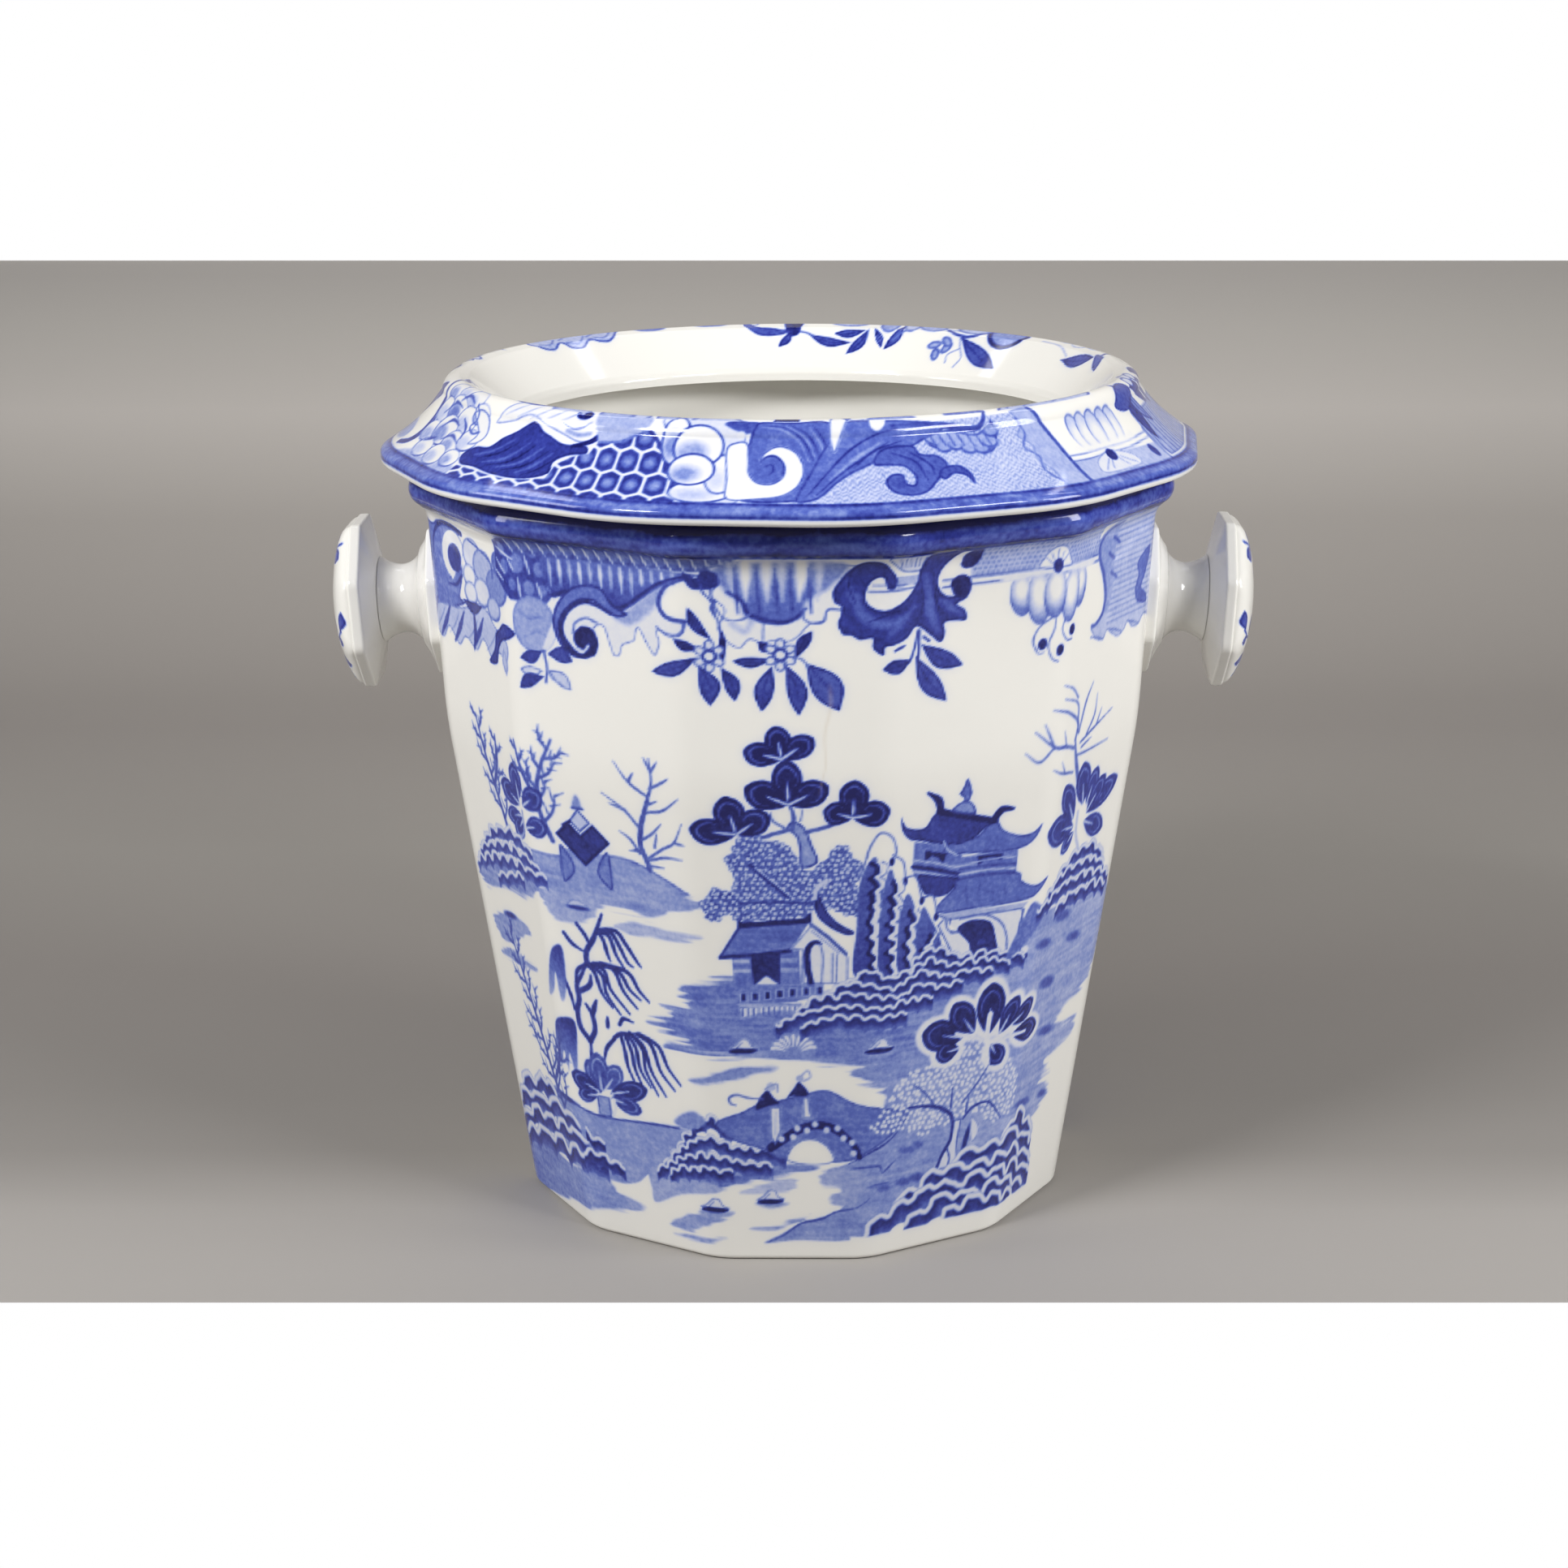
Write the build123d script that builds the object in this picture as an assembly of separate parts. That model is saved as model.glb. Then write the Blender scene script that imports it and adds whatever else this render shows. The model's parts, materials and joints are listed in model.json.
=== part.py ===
from build123d import *
import os
from math import atan, cos, degrees, radians, sin

# A twelve-sided earthenware slop jar: a tapered pail with two knob handles and a loose collar.
# Millimetres, +Z up. The origin is on the table under the jar's middle, and the knobs lie along X.
# "Flats" is the distance from the middle line to a flat side. "Soft" is the radius that rounds a
# polygon's corners in plan, so a large value turns the polygon into a circle.

# Driving sizes of the jar
SIDES = 12
JAR_RIM_HEIGHT = 268.5
FOOT_FLATS = 97.1
LOWER_TAPER = 0.1458
UPPER_TAPER = 0.0561
SHOULDER_DROP = 88.5
SHOULDER_BLEND = 9.0
ARRIS_SOFT = 9.0
JAR_WALL = 7.0
FLOOR_THICKNESS = 9.0
FLOOR_COVE = 14.0
FOOT_ROLL = 1.6
FOOT_RIM_WIDTH = 10.0
FOOT_RECESS_DEPTH = 3.0
MOUTH_DEPTH = 26.0
MOUTH_WALL = 7.85
INNER_SOFT = 18.0

# Driving sizes of the jar's rolled lip
LIP_ROLL_REACH = 4.6
LIP_ROLL_RISE = 5.6
LIP_REACH = 5.6
LIP_COVE_HEIGHT = 9.0
LIP_LOW_ANGLE = -50
LIP_SOFT = 24.0

# Driving sizes of the loose collar
COLLAR_RISE = 31.5
COLLAR_EDGE_OVERHANG = 10.0
COLLAR_EDGE_HEIGHT = 5.2
COLLAR_EDGE_ROUND = 1.8
COLLAR_SEAT_OVERHANG = 0.9
COLLAR_EDGE_LIFT = 1.6
COLLAR_EDGE_SOFT = 45.0
COLLAR_TURN = -5.7
COLLAR_RIM_INSET = 16.3
RIM_ROLL_REACH = 5.5
RIM_ROLL_RISE = 5.2
CYMA_PULL_OUT = 7.2
CYMA_PULL_UP = 7.3
FUNNEL_WIDTH = 18.0
OPENING_DROP = 15.5
OPENING_EDGE = 4.0
OPENING_BEVEL = 1.0
FUNNEL_TOP_INSET = 3.4
FUNNEL_TOP_DROP = 1.0
SKIRT_THICKNESS = 5.5
SKIRT_DEPTH = 18.0
SKIRT_CLEARANCE = 1.5
COLLAR_SHELL = 7.5
COLLAR_GROOVE_WIDTH = 9.0
COLLAR_ROUNDING_RATE = 1.6

# Driving sizes of each knob handle, measured out from the wall along the knob's own line
KNOB_SIDES = 8
KNOB_DROP = 51.2
PLATE_FLATS = 26.5
PLATE_THICKNESS = 4.0
PLATE_SOFT = 5.0
PLATE_EDGE_ROUND = 1.0
FLARE_BEND = 1.4
NECK_BEND = 1.6
FLARE_RADIUS = 18.5
FLARE_END = 8.0
NECK_RADIUS = 12.4
NECK_PLACE = 15.0
STEM_LENGTH = 23.0
STEM_END_RADIUS = 15.5
DISC_SEAT_RADIUS = 14.5
DISC_FLATS = 29.8
DISC_SOFT = 5.0
DISC_BACK_DEPTH = 3.8
DISC_EDGE = 4.2
DISC_EDGE_ROUND = 0.85
DOME_HEIGHT = 9.2

COLLAR_TOP = JAR_RIM_HEIGHT + COLLAR_RISE
SHOULDER_HEIGHT = JAR_RIM_HEIGHT - SHOULDER_DROP
KNOB_HEIGHT = JAR_RIM_HEIGHT - KNOB_DROP
LIP_ROLL_HEIGHT = JAR_RIM_HEIGHT - LIP_ROLL_RISE
MOUTH_START = JAR_RIM_HEIGHT - MOUTH_DEPTH

# A polygon never quite becomes a circle, so that each ring keeps the same number of edges
SOFTEST = 0.96

# How far a cutting shape runs past the face that it cuts
PAST = 1.0


def soft_polygon(sides, flats, soft, height):
    """One closed outline: a regular polygon whose corners are arcs of radius soft."""
    soft = min(soft, SOFTEST * flats)
    half = 180.0 / sides
    hub = (flats - soft) / cos(radians(half))
    edges = []
    for side in range(sides):
        corner = half + 2 * half * side
        middle = (hub * cos(radians(corner)), hub * sin(radians(corner)))
        edges.append(CenterArc(middle, soft, corner - half, 2 * half))
    joined = []
    for side in range(sides):
        joined.append(edges[side])
        joined.append(Line(edges[side] @ 1, edges[(side + 1) % sides] @ 0))
    return Wire(joined).moved(Location((0, 0, height)))


def soft_loft(sides, stations):
    """A solid through (height, flats, soft) stations, straight from each to the next."""
    rings = [soft_polygon(sides, flats, soft, height) for height, flats, soft in stations]
    return Solid.make_loft(rings, True)


def wall_flats(height):
    """Outer flats of the plain wall: two straight tapers joined by a parabola at the shoulder."""
    start = SHOULDER_HEIGHT - SHOULDER_BLEND
    run = min(max(height - start, 0.0), 2 * SHOULDER_BLEND)
    bend = (LOWER_TAPER - UPPER_TAPER) * run**2 / (4 * SHOULDER_BLEND)
    beyond = max(height - start - 2 * SHOULDER_BLEND, 0.0)
    return FOOT_FLATS + LOWER_TAPER * height - bend - (LOWER_TAPER - UPPER_TAPER) * beyond


LIP_FLATS = wall_flats(LIP_ROLL_HEIGHT) + LIP_REACH
MOUTH_RADIUS = wall_flats(MOUTH_START) - MOUTH_WALL
COLLAR_EDGE_FLATS = LIP_FLATS + COLLAR_EDGE_OVERHANG
COLLAR_SEAT_FLATS = LIP_FLATS + COLLAR_SEAT_OVERHANG
RIM_ROLL_RADIUS = LIP_FLATS - COLLAR_RIM_INSET
OPENING_RADIUS = RIM_ROLL_RADIUS - FUNNEL_WIDTH


def jar_outline():
    """Stations of the jar's outside: foot roll, tapers, shoulder, cove and rolled lip."""
    stations = []
    for angle in (0, 30, 60, 90):
        height = FOOT_ROLL * (1 - cos(radians(angle)))
        inset = FOOT_ROLL * (1 - sin(radians(angle)))
        stations.append((height, wall_flats(height) - inset, ARRIS_SOFT))
    for step in range(5):
        height = SHOULDER_HEIGHT + SHOULDER_BLEND * (step - 2) / 2
        stations.append((height, wall_flats(height), ARRIS_SOFT))

    roll_flats = LIP_FLATS - LIP_ROLL_REACH
    cove_top = LIP_ROLL_HEIGHT + LIP_ROLL_RISE * sin(radians(LIP_LOW_ANGLE))
    cove_flats = roll_flats + LIP_ROLL_REACH * cos(radians(LIP_LOW_ANGLE))
    cove_start = cove_top - LIP_COVE_HEIGHT
    for step in range(5):
        share = step / 5
        height = cove_start + LIP_COVE_HEIGHT * share
        swell = (cove_flats - wall_flats(cove_top)) * share**3
        soft = ARRIS_SOFT + (LIP_SOFT - ARRIS_SOFT) * share
        stations.append((height, wall_flats(height) + swell, soft))
    for angle in (LIP_LOW_ANGLE, -30, -10, 10, 30, 50, 70, 90):
        height = LIP_ROLL_HEIGHT + LIP_ROLL_RISE * sin(radians(angle))
        stations.append((height, roll_flats + LIP_ROLL_REACH * cos(radians(angle)), LIP_SOFT))
    return stations


def jar_hollow():
    """Stations of the jar's inside: floor cove, faceted wall, then a round mouth for the collar."""
    stations = []
    for angle in (0, 22.5, 45, 67.5, 90):
        height = FLOOR_THICKNESS + FLOOR_COVE * (1 - cos(radians(angle)))
        inset = FLOOR_COVE * (1 - sin(radians(angle)))
        stations.append((height, wall_flats(height) - JAR_WALL - inset, INNER_SOFT))
    for height in (SHOULDER_HEIGHT - SHOULDER_BLEND, SHOULDER_HEIGHT, SHOULDER_HEIGHT + SHOULDER_BLEND):
        stations.append((height, wall_flats(height) - JAR_WALL, INNER_SOFT))
    for share in (0.0, 0.5, 1.0):
        height = MOUTH_START - MOUTH_DEPTH * (1 - share)
        faceted = wall_flats(height) - JAR_WALL
        flats = faceted + (MOUTH_RADIUS - faceted) * share
        soft = INNER_SOFT + (SOFTEST * MOUTH_RADIUS - INNER_SOFT) * share
        stations.append((height, flats, soft))
    return stations


def ring_profile(points):
    """A solid of revolution about Z from (radius, height) corners."""
    corners = [(radius, 0, height) for radius, height in points]
    return revolve(make_face(Polyline(*corners, close=True)), Axis.Z)


def make_jar():
    """The pail: faceted outside, hollow inside, recessed foot."""
    outside = soft_loft(SIDES, jar_outline())
    inside = soft_loft(SIDES, jar_hollow())
    mouth = ring_profile([(0, MOUTH_START), (MOUTH_RADIUS, MOUTH_START),
                          (MOUTH_RADIUS, JAR_RIM_HEIGHT + PAST), (0, JAR_RIM_HEIGHT + PAST)])
    recess_flats = FOOT_FLATS - FOOT_RIM_WIDTH
    recess = soft_loft(SIDES, [(-PAST, recess_flats, ARRIS_SOFT),
                               (FOOT_RECESS_DEPTH, recess_flats - FOOT_RECESS_DEPTH, ARRIS_SOFT)])
    return outside - inside - mouth - recess


def collar_soft(height):
    """Plan rounding of the collar: sharp at its edge, nearly round at its top."""
    edge_top = JAR_RIM_HEIGHT + COLLAR_EDGE_HEIGHT
    share = max(0.0, height - edge_top) / (COLLAR_TOP - edge_top)
    softest = SOFTEST * RIM_ROLL_RADIUS
    return COLLAR_EDGE_SOFT + (softest - COLLAR_EDGE_SOFT) * share**COLLAR_ROUNDING_RATE


def collar_outline():
    """Stations of the collar's outside: seat, overhanging edge, hollow slope and rolled rim."""
    seat = JAR_RIM_HEIGHT
    edge_low = seat + COLLAR_EDGE_LIFT
    edge_high = seat + COLLAR_EDGE_HEIGHT
    inner = COLLAR_EDGE_FLATS - COLLAR_EDGE_ROUND
    stations = [(seat, COLLAR_SEAT_FLATS, COLLAR_EDGE_SOFT)]
    for angle in (-90, -60, -30, 0):
        height = edge_low + COLLAR_EDGE_ROUND * (1 + sin(radians(angle)))
        stations.append((height, inner + COLLAR_EDGE_ROUND * cos(radians(angle)), COLLAR_EDGE_SOFT))
    for angle in (0, 30, 60):
        height = edge_high + COLLAR_EDGE_ROUND * sin(radians(angle))
        stations.append((height, inner + COLLAR_EDGE_ROUND * cos(radians(angle)), COLLAR_EDGE_SOFT))

    start_height = edge_high + COLLAR_EDGE_ROUND * sin(radians(60))
    start_flats = inner + COLLAR_EDGE_ROUND * cos(radians(60))
    end_height = COLLAR_TOP - RIM_ROLL_RISE
    end_flats = RIM_ROLL_RADIUS + RIM_ROLL_REACH
    bend_height = start_height + CYMA_PULL_UP
    bend_flats = end_flats + CYMA_PULL_OUT
    for step in range(1, 7):
        t = step / 7
        height = (1 - t)**2 * start_height + 2 * t * (1 - t) * bend_height + t**2 * end_height
        flats = (1 - t)**2 * start_flats + 2 * t * (1 - t) * bend_flats + t**2 * end_flats
        stations.append((height, flats, collar_soft(height)))
    for angle in (0, 18, 36, 54, 72, 90):
        height = end_height + RIM_ROLL_RISE * sin(radians(angle))
        flats = RIM_ROLL_RADIUS + RIM_ROLL_REACH * cos(radians(angle))
        stations.append((height, flats, collar_soft(height)))
    return stations


def funnel_height(radius):
    """Height of the funnel's straight slope, level outside its top edge."""
    top_radius = RIM_ROLL_RADIUS - FUNNEL_TOP_INSET
    top_height = COLLAR_TOP - FUNNEL_TOP_DROP
    low_height = COLLAR_TOP - OPENING_DROP
    share = (radius - OPENING_RADIUS) / (top_radius - OPENING_RADIUS)
    return low_height + (top_height - low_height) * min(max(share, 0.0), 1.0)


def make_collar():
    """The loose ring: cyma slope outside, funnel to a round opening, skirt inside the jar's mouth."""
    skirt_outer = MOUTH_RADIUS - SKIRT_CLEARANCE
    skirt_inner = skirt_outer - SKIRT_THICKNESS
    skirt_low = JAR_RIM_HEIGHT - SKIRT_DEPTH
    opening_high = COLLAR_TOP - OPENING_DROP
    opening_low = opening_high - OPENING_EDGE
    funnel_top = RIM_ROLL_RADIUS - FUNNEL_TOP_INSET

    ring = soft_loft(SIDES, collar_outline())
    skirt = ring_profile([(skirt_inner, skirt_low), (skirt_outer, skirt_low),
                          (skirt_outer, JAR_RIM_HEIGHT + PAST), (skirt_inner, JAR_RIM_HEIGHT + PAST)])
    funnel = ring_profile([(0, opening_low - PAST), (OPENING_RADIUS, opening_low - PAST),
                           (OPENING_RADIUS, opening_high - OPENING_BEVEL),
                           (OPENING_RADIUS + OPENING_BEVEL, opening_high + OPENING_BEVEL),
                           (funnel_top, COLLAR_TOP - FUNNEL_TOP_DROP), (RIM_ROLL_RADIUS, COLLAR_TOP),
                           (RIM_ROLL_RADIUS, COLLAR_TOP + PAST), (0, COLLAR_TOP + PAST)])
    undercut = ring_profile([(0, skirt_low - PAST), (skirt_inner, skirt_low - PAST),
                             (skirt_inner, funnel_height(skirt_inner) - COLLAR_SHELL),
                             (OPENING_RADIUS, opening_low), (0, opening_low)])
    groove_outer = skirt_outer + COLLAR_GROOVE_WIDTH
    groove_roof = funnel_height(skirt_outer) - COLLAR_SHELL - SKIRT_THICKNESS
    groove = ring_profile([(skirt_outer, JAR_RIM_HEIGHT - PAST), (groove_outer, JAR_RIM_HEIGHT - PAST),
                           (groove_outer, JAR_RIM_HEIGHT + COLLAR_SHELL), (skirt_outer, groove_roof)])
    collar = ring + skirt - funnel - undercut - groove
    return collar.rotate(Axis.Z, COLLAR_TURN)


def make_stem():
    """One knob stem along +Z: faceted plate, hollow flare, round neck and a flat end."""
    nearly_round = SOFTEST * FLARE_RADIUS
    plate_top_flats = PLATE_FLATS - PLATE_EDGE_ROUND
    plate_top_soft = PLATE_SOFT + PLATE_EDGE_ROUND
    stations = [(0, PLATE_FLATS, PLATE_SOFT),
                (PLATE_THICKNESS - PLATE_EDGE_ROUND, PLATE_FLATS, PLATE_SOFT),
                (PLATE_THICKNESS, plate_top_flats, plate_top_soft)]
    for step in (1, 2, 3):
        share = step / 3
        height = PLATE_THICKNESS + (FLARE_END - PLATE_THICKNESS) * share**FLARE_BEND
        flats = plate_top_flats + (FLARE_RADIUS - plate_top_flats) * share
        stations.append((height, flats, plate_top_soft + (nearly_round - plate_top_soft) * share))
    for step in range(1, 6):
        share = step / 5
        height = FLARE_END + (NECK_PLACE - FLARE_END) * share**NECK_BEND
        radius = NECK_RADIUS + (FLARE_RADIUS - NECK_RADIUS) * (1 - share)**NECK_BEND
        stations.append((height, radius, radius))
    for step in range(1, 6):
        share = step / 5
        height = NECK_PLACE + (STEM_LENGTH - NECK_PLACE) * share
        radius = NECK_RADIUS + (STEM_END_RADIUS - NECK_RADIUS) * share**2
        stations.append((height, radius, radius))
    return soft_loft(KNOB_SIDES, stations)


def make_disc():
    """One knob disc along +Z, on the stem's end: shallow back, faceted edge and domed face."""
    back = STEM_LENGTH
    edge_low = back + DISC_BACK_DEPTH
    edge_high = edge_low + DISC_EDGE
    eased_flats = DISC_FLATS - DISC_EDGE_ROUND
    stations = [(back, DISC_SEAT_RADIUS, DISC_SEAT_RADIUS),
                (edge_low, eased_flats, DISC_SOFT),
                (edge_low + DISC_EDGE_ROUND, DISC_FLATS, DISC_SOFT),
                (edge_high - DISC_EDGE_ROUND, DISC_FLATS, DISC_SOFT),
                (edge_high, eased_flats, DISC_SOFT)]
    for angle in (10, 25, 40, 55, 70, 82):
        share = sin(radians(angle))
        flats = eased_flats * cos(radians(angle))
        height = edge_high + DOME_HEIGHT * share
        stations.append((height, flats, DISC_SOFT + (flats - DISC_SOFT) * share))
    return soft_loft(KNOB_SIDES, stations)


def on_wall(piece, side):
    """Stand a knob piece square on the flat side at +X (side 1) or -X (side -1)."""
    tilt = degrees(atan(UPPER_TAPER))
    seated = piece.rotate(Axis.Y, 90 + tilt).moved(Location((wall_flats(KNOB_HEIGHT), 0, KNOB_HEIGHT)))
    return seated if side > 0 else seated.rotate(Axis.Z, 180)


def save(name, colour, solid):
    """Name, colour and write one piece."""
    solid.label = name
    solid.color = Color(*colour)
    export_step(solid, f"parts/{name}.step")


PRINTED = (0.62, 0.68, 0.86)
PRINTED_DARK = (0.45, 0.52, 0.80)
WHITE = (0.93, 0.92, 0.88)

os.makedirs("parts", exist_ok=True)
save("jar_body", PRINTED, make_jar())
save("loose_collar", PRINTED_DARK, make_collar())
for side_name, side in (("left", -1), ("right", 1)):
    save(f"{side_name}_knob_stem", WHITE, on_wall(make_stem(), side))
    save(f"{side_name}_knob_disc", PRINTED, on_wall(make_disc(), side))
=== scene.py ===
"""A twelve-sided blue-printed slop jar with a loose funnel collar, in a plain studio.

The jar's wall, the collar and the knobs are surfaces worked out with numpy. The blue print is drawn
here with brushes on flat sheets of ink tones, which are then laid on the surfaces as an attribute.
"""

import json
import logging
import math
from dataclasses import dataclass, field
from enum import Enum

import bpy
import numpy as np
from mathutils import Matrix, Vector

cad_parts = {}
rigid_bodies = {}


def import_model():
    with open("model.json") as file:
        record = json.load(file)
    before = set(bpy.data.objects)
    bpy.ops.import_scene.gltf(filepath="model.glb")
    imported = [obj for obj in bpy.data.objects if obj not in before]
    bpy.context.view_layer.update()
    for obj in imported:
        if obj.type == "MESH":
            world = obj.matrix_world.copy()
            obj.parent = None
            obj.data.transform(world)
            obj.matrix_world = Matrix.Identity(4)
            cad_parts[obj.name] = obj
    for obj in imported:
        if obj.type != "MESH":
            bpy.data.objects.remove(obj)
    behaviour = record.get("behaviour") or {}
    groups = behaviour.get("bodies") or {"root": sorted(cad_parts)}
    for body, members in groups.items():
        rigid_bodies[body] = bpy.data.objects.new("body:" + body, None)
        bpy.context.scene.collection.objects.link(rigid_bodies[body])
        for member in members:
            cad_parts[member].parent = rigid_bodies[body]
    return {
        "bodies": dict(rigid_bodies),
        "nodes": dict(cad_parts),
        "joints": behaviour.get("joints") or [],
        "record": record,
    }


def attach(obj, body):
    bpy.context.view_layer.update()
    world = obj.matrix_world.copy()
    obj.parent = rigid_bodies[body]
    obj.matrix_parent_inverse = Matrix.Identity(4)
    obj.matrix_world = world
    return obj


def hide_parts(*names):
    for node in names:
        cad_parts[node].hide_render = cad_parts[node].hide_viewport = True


LOG = logging.getLogger("slop_jar")
MM = 0.001
PANEL = 61.0
"""Width in millimetres that one of the twelve facets takes on a print sheet."""
SIDES = 12


class Tone(float, Enum):
    """How much blue lies under the glaze, from bare to the darkest line."""

    BARE = 0.0
    FAINT = 0.12
    PALE = 0.26
    WASH = 0.47
    MID = 0.62
    DEEP = 0.8
    DARK = 1.0


def flow(points: list, closed: bool = False, steps: int = 6) -> np.ndarray:
    """Smooth curve through given points (Catmull-Rom).

    Args:
        points: Points in millimetres.
        closed: Whether the curve returns to its first point.
        steps: Points worked out for each stretch.

    Returns:
        Array of points along the curve.
    """
    p = np.asarray(points, dtype=np.float64)
    if closed:
        q = np.vstack([p[-1:], p, p[:2]])
    else:
        q = np.vstack([2 * p[:1] - p[1:2], p, 2 * p[-1:] - p[-2:-1]])
    t = np.linspace(0.0, 1.0, steps, endpoint=False)[None, :, None]
    a, b, c, d = q[:-3, None], q[1:-2, None], q[2:-1, None], q[3:, None]
    curve = 0.5 * (2 * b + (c - a) * t + (2 * a - 5 * b + 4 * c - d) * t**2 + (3 * b - a - 3 * c + d) * t**3)
    curve = curve.reshape(-1, 2)
    return curve if closed else np.vstack([curve, p[-1:]])


def wavy(points: list, wave: float, rise: float, steps: int = 7) -> np.ndarray:
    """A scalloped line: the smooth curve pushed sideways by rise * |sin(pi * length / wave)|."""
    base = flow(points, steps=12)
    run = np.concatenate([[0.0], np.cumsum(np.hypot(*np.diff(base, axis=0).T))])
    count = max(int(round(run[-1] / wave)), 1)
    s = np.linspace(0.0, run[-1], count * steps + 1)
    x, y = np.interp(s, run, base[:, 0]), np.interp(s, run, base[:, 1])
    lump = 1.35 + 0.45 * smooth_noise(base[0, 0] + s / wave * 1.7, base[0, 1] + 0.0 * s, 11)
    beat = s + 0.24 * wave * smooth_noise(base[0, 1] + s / wave * 0.9, base[0, 0] + 0.0 * s, 5)
    beat += 0.11 * wave * np.sin(2 * np.pi * s * count / run[-1])
    slope = np.stack([np.gradient(x), np.gradient(y)], axis=1)
    slope /= np.linalg.norm(slope, axis=1, keepdims=True)
    push = rise * lump * np.abs(np.sin(np.pi * beat * count / run[-1]))**0.75
    return np.stack([x - slope[:, 1] * push, y + slope[:, 0] * push], axis=1)


def ring_points(x: float, y: float, rx: float, ry: float, turn: float = 0.0, count: int = 20) -> np.ndarray:
    """Points round an ellipse that is turned by a number of degrees."""
    a = np.linspace(0, 2 * np.pi, count, endpoint=False)
    c, s = math.cos(math.radians(turn)), math.sin(math.radians(turn))
    u, v = rx * np.cos(a), ry * np.sin(a)
    return np.stack([x + u * c - v * s, y + u * s + v * c], axis=1)


def spiral(x: float, y: float, start: float, end: float, r0: float, r1: float, count: int = 26) -> np.ndarray:
    """Points of a scroll whose angle (degrees) and radius go evenly from start to end."""
    a = np.radians(np.linspace(start, end, count))
    r = np.linspace(r0, r1, count)
    return np.stack([x + r * np.cos(a), y + r * np.sin(a)], axis=1)


def smooth_noise(x: np.ndarray, y: np.ndarray, seed: int = 0) -> np.ndarray:
    """Lattice noise from -1 to 1: hashed corner values joined by a cubic ease."""
    ix, iy = np.floor(x).astype(np.int64), np.floor(y).astype(np.int64)
    fx, fy = x - ix, y - iy
    fx, fy = fx * fx * (3 - 2 * fx), fy * fy * (3 - 2 * fy)

    def corner(dx: int, dy: int) -> np.ndarray:
        """Hashed value of a lattice corner."""
        h = (ix + dx) * 374761393 + (iy + dy) * 668265263 + seed * 1442695041
        h = (h ^ (h >> 13)) * 1274126177
        return ((h ^ (h >> 16)) & 65535) / 32767.5 - 1.0

    low = corner(0, 0) * (1 - fx) + corner(1, 0) * fx
    high = corner(0, 1) * (1 - fx) + corner(1, 1) * fx
    return low * (1 - fy) + high * fy


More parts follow.
